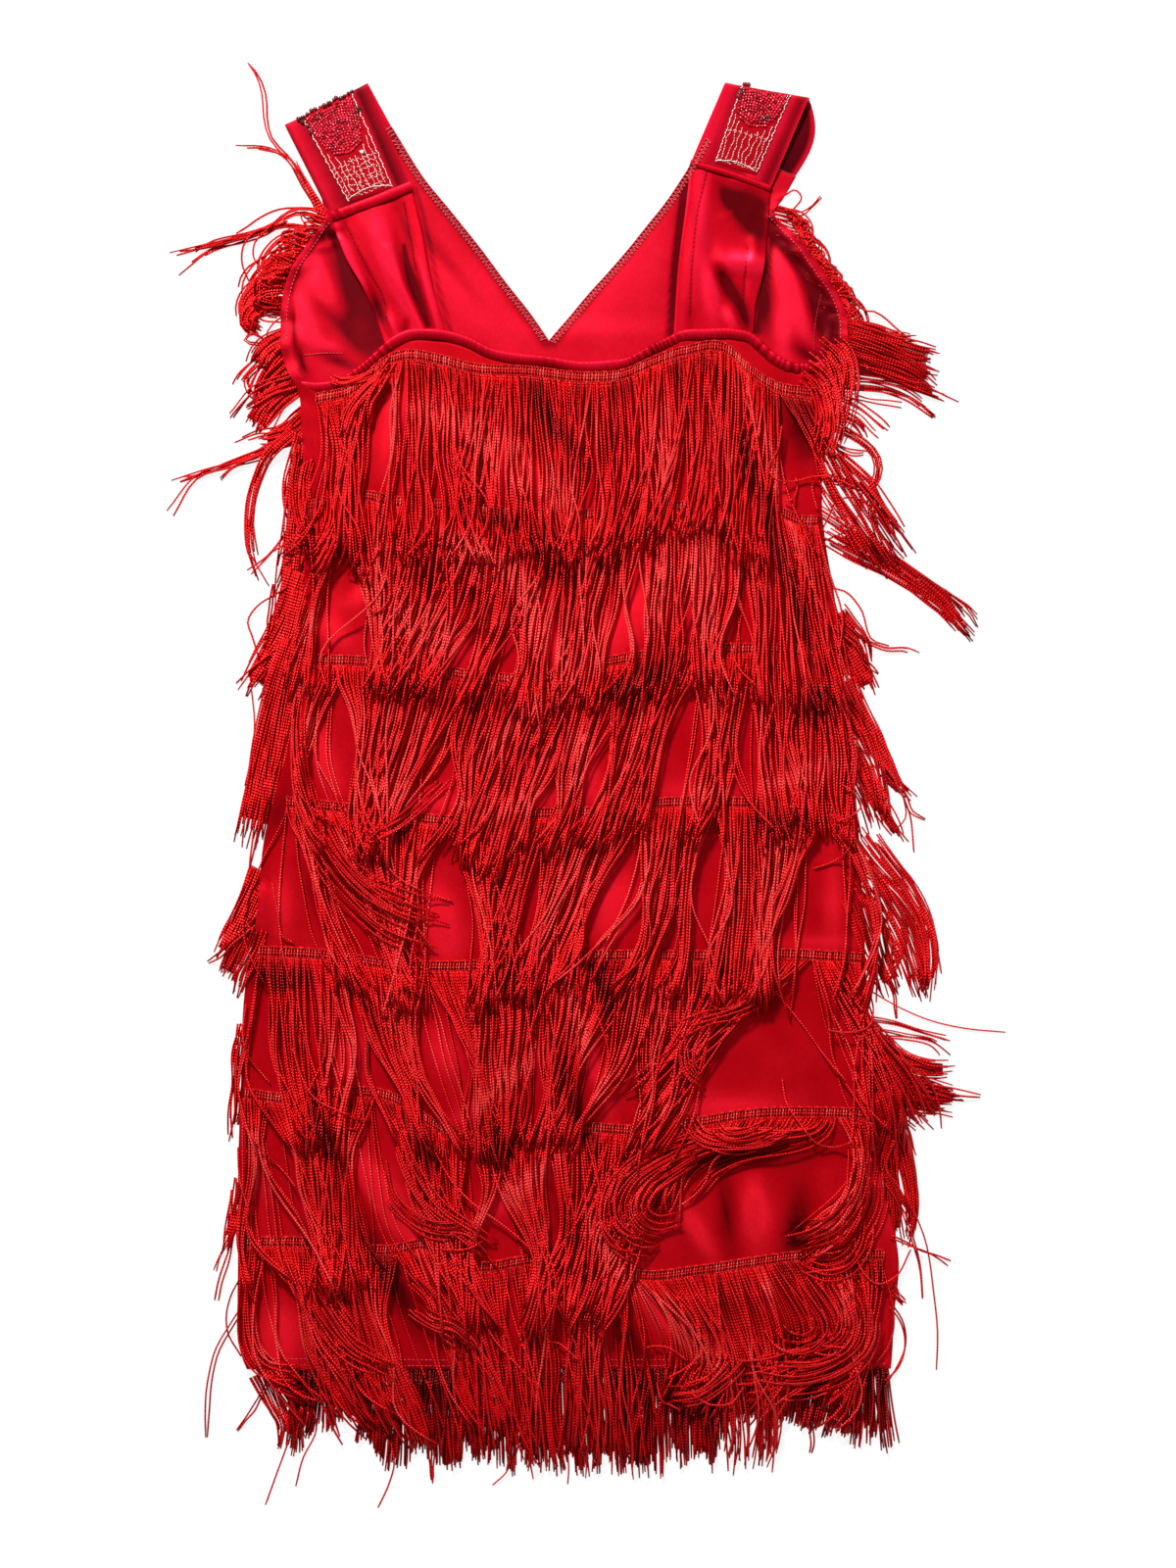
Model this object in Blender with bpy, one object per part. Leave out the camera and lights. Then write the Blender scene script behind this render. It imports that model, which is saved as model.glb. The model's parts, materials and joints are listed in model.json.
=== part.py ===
"""Flapper dress laid flat on its front, so that its back and its scooped back neck face up.

The front panel lies on the ground, right side down. The back panel, the shoulder pieces, the neck
casing and the folded straps lie on it, and seven rows of fringe hang down the back. The ends of the
front's own fringe stick out round the edges. Each sheet is a wall of real cloth thickness. What lies
on something is set down by asking for the height of what is already there, so pieces are built in
the order in which they lie.

Sizes are in millimetres. Places in the tables are steps of a drafting chart, x to the right and y
down towards the hem, and angles are degrees from straight down, towards +x.
"""

import math
from collections import namedtuple

import bmesh
import bpy
import numpy as np
from mathutils import Vector
from mathutils.bvhtree import BVHTree

# Driving sizes
DRESS_LENGTH = 952.0  # top of the shoulder fold to the hem
CHART_LENGTH = 1313  # the same length in chart steps
STEP = DRESS_LENGTH / CHART_LENGTH
CHART_ORIGIN = (595, 791)  # chart place under the middle of the dress, fringe and all
GAP = 0.35  # between two pieces that touch
LAID_GAP = 0.7  # under a lock, a tape or the casing
EDGE_GAP = 0.6  # beside the front's edge
FRONT_WALL = 1.5
BACK_WALL = 1.2
SHOULDER_WALL = 1.2
STRAP_WALL = 2.0
CASING_WIDTH = 6.0
CASING_HEIGHT = 3.2
CASING_SECTION = ((0.0, 0.0), (0.08, 0.6), (0.45, 1.0), (0.9, 0.62), (1.0, 0.0))  # across, up
PUCKER_DEPTH = 0.32  # share of the casing's height
PLAIN_STRETCH = 14.0  # chart steps from one of the casing's sections to the next
PUCKER_STRETCH = 3.6
BACK_TUCK = 0.75  # share of the casing that lies over the back panel
SHOULDER_TUCK = 0.2  # share of the casing above the shoulder pieces' ends
LATTICE_HEIGHT = 1.0  # metallic thread lattice of a bead trim
BEADS_HEIGHT = 2.4  # fan of beads above it
TAPE_WIDTH = 8.0  # header of the chainette fringe
TAPE_HEIGHT = 1.3
STEEPEST_TAPE = 1.8  # most that a tape climbs from one lock to the next
STRAND_LENGTH = 137.0  # six-inch fringe, less its header
EDGE_TAPE_WIDTH = 3.0  # strip that holds the tufts beside the front's edge
EDGE_TAPE_HEIGHT = 1.1
FLOOR_GAP = 0.4
FOLD_SPREAD = 1.6  # how fast a fold dies away from its middle
LEAST_FOLD = 0.15  # a fold's foot lower than this is left flat
MM = 0.001

Side = namedtuple("Side", "y left right")
Flap = namedtuple("Flap", "outer_x outer_y neck_x neck_y")
Fold = namedtuple("Fold", "x y turn length width height")
Band = namedtuple("Band", "left_x left_y right_x right_y")
Strap = namedtuple("Strap", "seam fold far inner_gap bulge")
Row = namedtuple("Row", "header locks guides")
Guide = namedtuple("Guide", "x root middle tip")
HemGuide = namedtuple("HemGuide", "x root middle tip length")
Tuft = namedtuple("Tuft", "mid_x mid_y tip_x tip_y")
LockShape = namedtuple("LockShape", "shares widths heights")
Tape = namedtuple("Tape", "inner outer base height")

SIDES = [
    Side(372, 291, 866),
    Side(400, 305, 859),
    Side(430, 308, 852),
    Side(460, 310, 843),
    Side(500, 310, 838),
    Side(560, 311, 843),
    Side(600, 312, 850),
    Side(640, 317, 855),
    Side(668, 317, 858),
    Side(700, 311, 862),
    Side(780, 290, 870),
    Side(850, 271, 876),
    Side(940, 262, 881),
    Side(1010, 250, 884),
    Side(1110, 246, 888),
    Side(1200, 243, 898),
    Side(1290, 243, 917),
    Side(1345, 243, 912),
    Side(1385, 247, 910),
    Side(1397, 252, 909),
]
NECK_POINT_X = 560
FLAP_LEFT = [
    Flap(287, 347, 560, 347),
    Flap(287, 320, 540, 318),
    Flap(292, 292, 517, 289),
    Flap(304, 266, 491, 254),
    Flap(318, 245, 472, 230),
    Flap(332, 225, 455, 209),
    Flap(328, 200, 430, 178),
    Flap(324, 176, 399, 128),
]
FLAP_RIGHT = [
    Flap(864, 347, 560, 347),
    Flap(863, 325, 580, 324),
    Flap(857, 306, 600, 300),
    Flap(840, 280, 620, 278),
    Flap(823, 255, 640, 255),
    Flap(806, 235, 660, 230),
    Flap(790, 218, 680, 205),
    Flap(800, 200, 700, 175),
    Flap(812, 179, 720, 141),
]
NECK_LINE = [  # x, y of the casing's upper edge
    (295, 385), (315, 390), (340, 388), (360, 378), (380, 362), (395, 348), (410, 339), (440, 336),
    (480, 345), (500, 355), (530, 361), (560, 364), (590, 369), (620, 368), (640, 365), (660, 355),
    (680, 345), (695, 338), (720, 336), (750, 336), (767, 340), (790, 360), (805, 369), (825, 371),
    (845, 369), (867, 374),
]
PUCKERED = [(344, 398), (636, 700), (774, 834)]  # stretches of the casing that the elastic draws in
SHOULDER_LEFT = [
    Band(337, 221, 419, 189),
    Band(345, 242, 426, 216),
    Band(355, 266, 432, 244),
    Band(369, 290, 437, 272),
    Band(380, 315, 444, 304),
    Band(393, 350, 455, 340),
]
SHOULDER_RIGHT = [
    Band(705, 168, 786, 193),
    Band(701, 205, 784, 222),
    Band(696, 242, 782, 250),
    Band(692, 276, 778, 280),
    Band(690, 306, 771, 309),
    Band(688, 341, 768, 341),
]
STRAP_LEFT = Strap(
    seam=((336, 218), (418, 186)),
    fold=((290, 127), (375, 84)),
    far=((323.6, 175.2), (398.6, 127.2)),
    inner_gap=2.4,
    bulge=0.0,
)
STRAP_RIGHT = Strap(
    seam=((705, 165), (787, 190)),
    fold=((740, 84), (826, 99)),
    far=((720.3, 140.2), (812.3, 178.2)),
    inner_gap=3.2,
    bulge=9.0,
)
TRIM_SPAN = {"left": (0.22, 0.79), "right": (0.24, 0.75)}  # share of the strap's width
TRIM_LENGTH = (0.05, 0.95)  # share of the way from the fold to the seam
FAN_LENGTH = (0.08, 0.58)  # where the trim's beads stand high

FRONT_FOLDS = [
    Fold(322, 300, -25, 120, 30, 4.0),
    Fold(330, 350, 80, 60, 20, 2.2),
    Fold(816, 306, 20, 115, 30, 4.5),
    Fold(846, 326, 12, 60, 18, 2.0),
]
SHOULDER_FOLDS = [
    Fold(370, 286, 22, 130, 20, 3.0),
    Fold(402, 272, 33, 150, 20, 3.5),
    Fold(432, 262, 12, 120, 16, 2.5),
    Fold(703, 250, 3, 170, 20, 2.5),
    Fold(742, 292, 28, 90, 20, 3.0),
    Fold(770, 240, 0, 140, 20, 2.5),
]
BACK_FOLDS = [
    Fold(622, 900, -5, 620, 70, 5.0),
    Fold(505, 480, 3, 260, 60, 3.5),
    Fold(655, 460, -6, 260, 60, 3.5),
    Fold(345, 640, 8, 180, 46, 4.0),
    Fold(462, 1080, -8, 200, 56, 5.0),
    Fold(400, 860, 15, 260, 50, 3.5),
    Fold(775, 1235, 0, 160, 40, 6.0),
    Fold(850, 1215, -32, 150, 38, 5.5),
    Fold(713, 1240, 18, 130, 36, 4.5),
    Fold(812, 1080, -6, 180, 38, 4.0),
    Fold(848, 930, 0, 200, 38, 3.0),
    Fold(760, 620, 0, 260, 50, 3.5),
    Fold(290, 1330, 4, 190, 40, 4.0),
    Fold(440, 1340, 12, 150, 44, 4.0),
    Fold(600, 1330, 0, 170, 46, 4.0),
    Fold(300, 1165, 30, 140, 38, 4.0),
    Fold(395, 1220, 38, 150, 40, 4.5),
    Fold(720, 800, 0, 200, 50, 3.0),
    Fold(290, 920, -6, 200, 38, 3.0),
]

FRINGE_ROWS = [
    Row(
        header=[(322, 402), (360, 392), (395, 363), (410, 358), (450, 362), (480, 370), (540, 374),
                (600, 380), (640, 376), (660, 367), (700, 353), (745, 353), (765, 372), (790, 388),
                (830, 396)],
        locks=20,
        guides=[
            Guide(322, 30, 5, -25),
            Guide(360, -10, -5, 0),
            Guide(392, -25, -10, 0),
            Guide(400, 2, 0, 0),
            Guide(520, -2, 0, 2),
            Guide(560, 2, 4, 6),
            Guide(600, 2, -2, -8),
            Guide(650, 6, -4, -20),
            Guide(700, 4, 0, -5),
            Guide(745, -2, -3, -5),
            Guide(790, 0, 0, 0),
            Guide(800, 15, 28, 34),
            Guide(830, 18, 35, 42),
        ],
    ),
    Row(
        header=[(314, 512), (380, 501), (395, 505), (430, 508), (530, 518), (595, 520), (690, 512),
                (780, 510), (820, 526), (836, 526)],
        locks=20,
        guides=[
            Guide(314, 8, -5, -20),
            Guide(345, -12, -8, -2),
            Guide(372, 4, 4, 4),
            Guide(395, -8, 0, 6),
            Guide(440, -5, -10, -18),
            Guide(500, -2, -10, -22),
            Guide(560, -5, -10, -18),
            Guide(620, -8, -12, -14),
            Guide(660, -2, -8, -16),
            Guide(700, 0, -2, -8),
            Guide(750, 0, 0, -3),
            Guide(790, 6, 5, 2),
            Guide(836, 12, 15, 20),
        ],
    ),
    Row(
        header=[(322, 668), (378, 670), (495, 685), (545, 688), (610, 672), (690, 660), (790, 657),
                (852, 661)],
        locks=20,
        guides=[
            Guide(322, -8, 5, 26),
            Guide(350, -8, 5, 26),
            Guide(378, -6, 0, 10),
            Guide(420, -8, -10, -14),
            Guide(460, -12, -18, -20),
            Guide(550, -13, -18, -20),
            Guide(610, -14, -20, -22),
            Guide(650, -12, -20, -24),
            Guide(690, -10, -14, -14),
            Guide(720, -5, -7, -10),
            Guide(760, -3, -3, -3),
            Guide(800, 2, 4, 8),
            Guide(852, 8, 4, -12),
        ],
    ),
    Row(
        header=[(292, 813), (341, 818), (415, 828), (455, 832), (545, 825), (620, 822), (665, 815),
                (740, 813), (800, 816), (868, 822)],
        locks=21,
        guides=[
            Guide(292, -5, 0, 10),
            Guide(320, 2, 15, 36),
            Guide(345, 10, 22, 32),
            Guide(380, 5, 10, 18),
            Guide(420, -2, 4, 14),
            Guide(470, 2, -3, -10),
            Guide(520, -8, -8, -6),
            Guide(570, -12, -15, -15),
            Guide(620, -12, -18, -20),
            Guide(665, -10, -18, -25),
            Guide(700, -4, -10, -20),
            Guide(740, -2, -4, -8),
            Guide(780, 6, 0, -12),
            Guide(868, 8, 0, -18),
        ],
    ),
    Row(
        header=[(264, 965), (320, 968), (413, 980), (480, 980), (600, 970), (730, 970), (790, 968),
                (879, 972)],
        locks=22,
        guides=[
            Guide(264, -2, 8, 30),
            Guide(300, 4, 8, 16),
            Guide(340, 8, 2, -12),
            Guide(365, 12, 24, 32),
            Guide(413, 8, 16, 24),
            Guide(480, 8, 4, -4),
            Guide(560, -2, -8, -18),
            Guide(600, -8, -14, -20),
            Guide(640, -12, -18, -22),
            Guide(680, -6, -16, -30),
            Guide(730, -10, -25, -40),
            Guide(790, -12, -42, -52),
            Guide(822, -10, -46, -50),
            Guide(840, 2, 12, 10),
            Guide(879, 4, 2, -8),
        ],
    ),
    Row(
        header=[(249, 1110), (282, 1115), (408, 1118), (450, 1146), (600, 1145), (655, 1148),
                (710, 1140), (760, 1132), (884, 1130)],
        locks=22,
        guides=[
            Guide(249, 0, 3, 10),
            Guide(282, 6, 14, 22),
            Guide(340, 4, 2, -2),
            Guide(380, 8, 16, 26),
            Guide(430, 10, 18, 28),
            Guide(470, 4, 8, 14),
            Guide(530, 4, 0, -6),
            Guide(590, 2, -6, -20),
            Guide(640, -8, -14, -16),
            Guide(690, -10, -26, -30),
            Guide(720, -10, -45, -45),
            Guide(780, 4, -62, -60),
            Guide(840, 8, -62, -66),
            Guide(862, 6, -12, -42),
            Guide(884, 2, -5, -28),
        ],
    ),
    Row(
        header=[(248, 1262), (305, 1262), (400, 1270), (435, 1264), (480, 1286), (548, 1280),
                (600, 1282), (655, 1296), (720, 1290), (800, 1278), (903, 1275)],
        locks=22,
        guides=[
            Guide(248, 2, 4, 10),
            Guide(310, 4, 14, 32),
            Guide(360, 10, 18, 24),
            Guide(410, 12, 16, 10),
            Guide(460, 10, 11, 12),
            Guide(520, 5, 6, 6),
            Guide(580, 2, 3, 3),
            Guide(650, 2, 4, 8),
            Guide(700, 14, 12, -8),
            Guide(760, 12, 12, -14),
            Guide(820, 14, 14, -40),
            Guide(903, 3, 4, 6),
        ],
    ),
]
HEM_LOCKS = 20
HEM_FRINGE = [
    HemGuide(258, -20, -28, -25, 48),
    HemGuide(284, 6, 0, -16, 98),
    HemGuide(304, 4, -5, -12, 56),
    HemGuide(322, 0, -5, -12, 84),
    HemGuide(346, 8, 12, 14, 44),
    HemGuide(392, 5, 0, -12, 96),
    HemGuide(420, 5, 5, 2, 66),
    HemGuide(500, 2, 2, 2, 66),
    HemGuide(650, 1, 2, 3, 70),
    HemGuide(730, 2, 2, 0, 64),
    HemGuide(755, 3, 0, -3, 38),
    HemGuide(795, 0, -5, -6, 36),
    HemGuide(860, 2, 2, 3, 50),
    HemGuide(905, 3, 5, 8, 52),
]
EDGE_FRINGE = {  # y of the roots along the front's edge, and each lock's middle and tip
    "fringe_front_left_1": ([200, 212, 224, 240, 258, 278, 302, 330], [
        Tuft(272, 150, 254, 66),
        Tuft(262, 222, 180, 258),
        Tuft(285, 238, 262, 262),
        Tuft(272, 262, 252, 292),
        Tuft(262, 288, 247, 318),
        Tuft(260, 312, 246, 342),
        Tuft(262, 340, 250, 366),
    ]),
    "fringe_front_left_2": ([345, 362, 380, 400, 422, 445, 468], [
        Tuft(262, 378, 236, 402),
        Tuft(262, 404, 224, 438),
        Tuft(276, 424, 250, 455),
        Tuft(262, 450, 206, 477),
        Tuft(250, 472, 164, 500),
        Tuft(278, 510, 267, 592),
    ]),
    "fringe_front_left_3": ([478, 492, 506, 520], [
        Tuft(290, 530, 283, 590),
        Tuft(294, 552, 289, 598),
        Tuft(298, 566, 295, 602),
    ]),
    "fringe_front_left_4": ([610, 624, 638, 652], [
        Tuft(283, 640, 254, 704),
        Tuft(290, 655, 268, 710),
        Tuft(298, 666, 284, 704),
    ]),
    "fringe_front_left_5": ([712, 726, 740, 754], [
        Tuft(272, 775, 246, 852),
        Tuft(275, 795, 258, 862),
        Tuft(279, 810, 270, 858),
    ]),
    "fringe_front_left_6": ([880, 895, 910, 925], [
        Tuft(240, 936, 214, 984),
        Tuft(243, 954, 224, 1004),
        Tuft(247, 970, 238, 1018),
    ]),
    "fringe_front_left_7": ([1030, 1040, 1050], [
        Tuft(231, 1090, 229, 1165),
        Tuft(238, 1095, 237, 1150),
    ]),
    "fringe_front_left_8": ([1205, 1215, 1225], [
        Tuft(227, 1262, 217, 1300),
        Tuft(234, 1270, 229, 1300),
    ]),
    "fringe_front_left_9": ([1300, 1316, 1332], [
        Tuft(217, 1382, 209, 1468),
        Tuft(232, 1385, 227, 1440),
    ]),
    "fringe_front_right_1": ([228, 244, 262, 281, 300, 319, 336], [
        Tuft(834, 235, 852, 260),
        Tuft(848, 256, 864, 283),
        Tuft(860, 277, 876, 304),
        Tuft(870, 297, 884, 324),
        Tuft(879, 315, 892, 338),
        Tuft(884, 331, 897, 343),
    ]),
    "fringe_front_right_2": ([345, 358, 371, 385, 400, 418, 436, 456], [
        Tuft(900, 344, 932, 350),
        Tuft(915, 362, 958, 372),
        Tuft(920, 382, 968, 402),
        Tuft(908, 400, 950, 420),
        Tuft(886, 422, 908, 444),
        Tuft(886, 456, 898, 500),
        Tuft(876, 492, 922, 545),
    ]),
    "fringe_front_right_3": ([525, 545, 565], [
        Tuft(915, 582, 992, 645),
        Tuft(893, 592, 955, 640),
    ]),
    "fringe_front_right_4": ([600, 614, 628, 642], [
        Tuft(888, 642, 925, 664),
        Tuft(880, 668, 905, 692),
        Tuft(876, 690, 892, 714),
    ]),
    "fringe_front_right_5": ([715, 732, 749, 766], [
        Tuft(902, 778, 936, 834),
        Tuft(894, 800, 930, 864),
        Tuft(885, 818, 902, 862),
    ]),
    "fringe_front_right_6": ([860, 876, 892, 908], [
        Tuft(930, 915, 950, 1005),
        Tuft(908, 940, 926, 1016),
        Tuft(894, 962, 906, 1020),
    ]),
    "fringe_front_right_7": ([1015, 1032, 1050, 1068, 1086, 1104], [
        Tuft(950, 1036, 1026, 1053),
        Tuft(938, 1062, 990, 1082),
        Tuft(945, 1090, 998, 1119),
        Tuft(930, 1112, 975, 1136),
        Tuft(914, 1130, 948, 1156),
    ]),
    "fringe_front_right_8": ([1140, 1152, 1164, 1176], [
        Tuft(938, 1250, 956, 1396),
        Tuft(924, 1228, 935, 1290),
        Tuft(914, 1244, 922, 1296),
    ]),
    "fringe_front_right_9": ([1330, 1341, 1352], [
        Tuft(926, 1380, 921, 1440),
        Tuft(918, 1396, 914, 1450),
    ]),
}

# Locks of fringe: places along their length, widths as a share of their room, and heights
BACK_LOCK = LockShape((0.15, 0.45, 0.75, 1.0), (0.80, 0.78, 0.68, 0.40), (1.6, 2.4, 2.0, 0.9))
TUFT_LOCK = LockShape((0.18, 0.55, 1.0), (0.66, 0.68, 0.34), (1.1, 2.0, 0.9))
HEM_LOCK = LockShape((0.18, 0.55, 1.0), (0.86, 0.84, 0.55), (1.1, 2.0, 0.9))
LEAST_ROOM = 0.4  # least distance between two locks, as a share of their roots' distance
LEAST_TUFT_ROOM = 0.5

# Numbers of faces across and along each sheet
FRONT_ACROSS = 8  # on each side of the neck point
FRONT_ROWS_Y = [
    347, 372, 400, 430, 460, 500, 560, 640, 700, 780, 850, 940, 1020, 1110, 1200, 1290, 1345, 1397,
]
BACK_ACROSS = 20
BACK_DOWN = 28
SHOULDER_ACROSS = 8
STRAP_ACROSS = 4
TRIM_ACROSS = 4
TRIM_DOWN = 9


def smooth(table, at):
    """Value at a place of a smooth curve through the rows (place, value) of a table."""
    places, values = np.array(table, float).T
    slopes = np.gradient(values, places)
    i = np.clip(np.searchsorted(places, at) - 1, 0, len(places) - 2)
    span = places[i + 1] - places[i]
    t = np.clip((at - places[i]) / span, 0.0, 1.0)
    rise = values[i] * (1 + 2 * t) * (1 - t) ** 2 + values[i + 1] * t * t * (3 - 2 * t)
    return rise + span * (slopes[i] * t * (1 - t) ** 2 - slopes[i + 1] * t * t * (1 - t))


def place(x, y):
    """A place of the chart in millimetres from the middle of the dress."""
    return np.array([(x - CHART_ORIGIN[0]) * STEP, (CHART_ORIGIN[1] - y) * STEP])


def side_x(side, y):
    """Chart x of the panels' side edge at a height."""
    return smooth([(row.y, getattr(row, side)) for row in SIDES], y)


def neck_y(x):
    """Chart y of the upper edge of the back's neck casing."""
    return smooth(NECK_LINE, x)


def lift(folds, x, y):
    """Height by which the folds raise the cloth at a place of the chart."""
    total = 0.0
    for fold in folds:
        turn = math.radians(fold.turn)
        along = (x - fold.x) * math.sin(turn) + (y - fold.y) * math.cos(turn)
        across = (x - fold.x) * math.cos(turn) - (y - fold.y) * math.sin(turn)
        share = (2 * along / fold.length) ** 2 + (2 * across / fold.width) ** 2
        total += fold.height * math.exp(-FOLD_SPREAD * share)
    return max(0.0, total - LEAST_FOLD)


class Ground:
    """The pieces laid down so far, which tell the height of their upper side at any place."""

    def __init__(self):
        self.pieces = []

    def add(self, points, faces):
        """Lays down a mesh in millimetres."""
        tree = BVHTree.FromPolygons([Vector(p) for p in points], [tuple(face) for face in faces])
        used = np.array([points[i][:2] for face in faces for i in face])
        self.pieces.append((used.min(axis=0), used.max(axis=0), tree))

    def near(self, places):
        """The trees of the pieces that lie near some places."""
        low, high = np.min(places, axis=0), np.max(places, axis=0)
        return [
            tree for first, last, tree in self.pieces
            if (first <= high).all() and (last >= low).all()
        ]

    def height(self, places):
        """The greatest height of what lies at any of these places."""
        found = 0.0
        for tree in self.near(places):
            for x, y in places:
                hit = tree.ray_cast(Vector((x, y, 100.0)), Vector((0, 0, -1)))[0]
                if hit is not None:
                    found = max(found, hit.z)
        return found


def above(needs, start):
    """Heights of a chain's points that clear each need (segment, share, height) on the way.

    start holds each point's least height, and whether it is fixed. The points are raised until
    nothing is in their way, and then each is let down as far as it goes.
    """
    heights = [value for value, _ in start]
    for _ in range(40):
        for i, t, need in needs:
            short = need - ((1 - t) * heights[i] + t * heights[i + 1])
            if short <= 0:
                continue
            first, second = (0.0, max(t, 0.3)) if start[i][1] else (1 - t, t)
            scale = short * 1.02 / (first * (1 - t) + second * t)
            heights[i] += first * scale
            heights[i + 1] += second * scale
    for slack in (0.5, 0.5, 0.5, 0.5, 1.0, 1.0):
        for n, (least, fixed) in enumerate(start):
            if fixed:
                continue
            for i, t, need in needs:
                if i == n and t < 1.0:
                    least = max(least, (need - t * heights[i + 1]) / (1 - t))
                elif i == n - 1 and t > 0.0:
                    least = max(least, (need - (1 - t) * heights[i]) / t)
            heights[n] -= max(0.0, heights[n] - least) * slack
    return heights


def clear_scene():
    """Empties the startup scene."""
    for obj in list(bpy.data.objects):
        bpy.data.objects.remove(obj, do_unlink=True)


def cloth(name, color, roughness):
    """A plain material of one colour."""
    material = bpy.data.materials.new(name)
    material.use_nodes = True
    shader = material.node_tree.nodes["Principled BSDF"]
    shader.inputs["Base Color"].default_value = (*color, 1.0)
    shader.inputs["Roughness"].default_value = roughness
    return material


def make(name, points, faces, material):
    """One closed solid from points in millimetres."""
    mesh = bpy.data.meshes.new(name)
    mesh.from_pydata([tuple(MM * v for v in p) for p in points], [], [tuple(f) for f in faces])
    shape = bmesh.new()
    shape.from_mesh(mesh)
    bmesh.ops.recalc_face_normals(shape, faces=shape.faces)
    if shape.calc_volume(signed=True) < 0:
        bmesh.ops.reverse_faces(shape, faces=shape.faces)
    shape.to_mesh(mesh)
    shape.free()
    mesh.materials.append(material)
    obj = bpy.data.objects.new(name, mesh)
    bpy.context.scene.collection.objects.link(obj)
    return obj


def split(faces):
    """The faces as triangles, so that a bent one is the same wherever it is read."""
    return [(face[0], b, c) for face in faces for b, c in zip(face[1:], face[2:])]


def grid_faces(down, across):
    """Faces of a grid of points, row after row."""
    wide = across + 1
    return split(
        (i * wide + j, (i + 1) * wide + j, (i + 1) * wide + j + 1, i * wide + j + 1)
        for i in range(down)
        for j in range(across)
    )


def wall(lower, upper, faces):
    """Points and faces of the closed sheet between two like surfaces."""
    count = len(upper)
    edges = {(a, b) for face in faces for a, b in zip(face, face[1:] + face[:1])}
    rim = [(b, a, a + count, b + count) for a, b in edges if (b, a) not in edges]
    under = [tuple(i + count for i in reversed(face)) for face in faces]
    return list(upper) + list(lower), split(faces + under + sorted(rim))


def welded(grids):
    """One set of points and faces from several (points, faces) that share an edge."""
    points, faces, known = [], [], {}
    for grid_points, triangles in grids:
        index = []
        for point in grid_points:
            key = tuple(np.round(point, 3))
            if key not in known:
                known[key] = len(points)
                points.append(point)
            index.append(known[key])
        faces += [tuple(index[i] for i in face) for face in triangles]
    return points, faces


def tube(rings):
    """Points and faces of a closed tube through rings of points, with flat ends."""
    size = len(rings[0])
    points = [p for ring in rings for p in ring]
    faces = []
    for i in range(len(rings) - 1):
        for j in range(size):
            k = (j + 1) % size
            faces.append((i * size + j, i * size + k, (i + 1) * size + k, (i + 1) * size + j))
    faces.append(tuple(range(size)))
    faces.append(tuple((len(rings) - 1) * size + j for j in range(size)))
    return points, split(faces)


def settled(places, down, across, ground, folds, reach=0.5):
    """Lower points of a sheet laid on what is there, raised by its own folds."""
    grid = np.array([place(x, y) for x, y in places]).reshape(down + 1, across + 1, 2)
    points = []
    for i in range(down + 1):
        for j in range(across + 1):
            here = grid[i, j]
            round_it = [here]
            for a, b in ((i - 1, j), (i + 1, j), (i, j - 1), (i, j + 1)):
                if 0 <= a <= down and 0 <= b <= across:
                    round_it.append(here + reach * (grid[a, b] - here))
            x, y = places[i * (across + 1) + j]
            points.append((*here, ground.height(round_it) + GAP + lift(folds, x, y)))
    return points


def raised(points, height):
    """The points moved up."""
    return [(x, y, z + height) for x, y, z in points]


def front_panel(ground, satin):
    """The V-necked front: a body up to the neck point and two shoulders beside the V."""
    grids = []
    wide = 2 * FRONT_ACROSS
    body = []
    for y in FRONT_ROWS_Y:
        first = FRONT_ROWS_Y[0]
        left = FLAP_LEFT[0].outer_x if y == first else side_x("left", y)
        right = FLAP_RIGHT[0].outer_x if y == first else side_x("right", y)
        for j in range(wide + 1):
            a, b = (left, NECK_POINT_X) if j < FRONT_ACROSS else (NECK_POINT_X, right)
            share = j / FRONT_ACROSS if j < FRONT_ACROSS else j / FRONT_ACROSS - 1
            body.append((a + (b - a) * share, y))
    grids.append((body, grid_faces(len(FRONT_ROWS_Y) - 1, wide)))
    for flaps, left in ((FLAP_LEFT, True), (FLAP_RIGHT, False)):
        rows = []
        for row in reversed(flaps):
            ends = [(row.outer_x, row.outer_y), (row.neck_x, row.neck_y)]
            (ax, ay), (bx, by) = ends if left else reversed(ends)
            for j in range(FRONT_ACROSS + 1):
                share = j / FRONT_ACROSS
                rows.append((ax + (bx - ax) * share, ay + (by - ay) * share))
        grids.append((rows, grid_faces(len(flaps) - 1, FRONT_ACROSS)))
    places, faces = welded(grids)
    lower = [(*place(x, y), lift(FRONT_FOLDS, x, y)) for x, y in places]
    solid = wall(lower, raised(lower, FRONT_WALL), faces)
    ground.add(*solid)
    make("front_panel", *solid, satin)


def back_panel(ground, satin):
    """The back, up to the middle of its neck casing, with its large soft folds."""
    places = []
    hem = SIDES[-1].y
    under_casing = BACK_TUCK * CASING_WIDTH / STEP
    left, right = SIDES[0].left + 4, SIDES[0].right - 1
    for i in range(BACK_DOWN + 1):
        for j in range(BACK_ACROSS + 1):
            share = j / BACK_ACROSS
            top = neck_y(left + (right - left) * share) + under_casing
            y = top + (hem - top) * i / BACK_DOWN
            x = side_x("left", y) + (side_x("right", y) - side_x("left", y)) * share
            places.append((x, y))
    lower = settled(places, BACK_DOWN, BACK_ACROSS, ground, BACK_FOLDS)
    solid = wall(lower, raised(lower, BACK_WALL), grid_faces(BACK_DOWN, BACK_ACROSS))
    ground.add(*solid)
    make("back_panel", *solid, satin)


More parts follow.
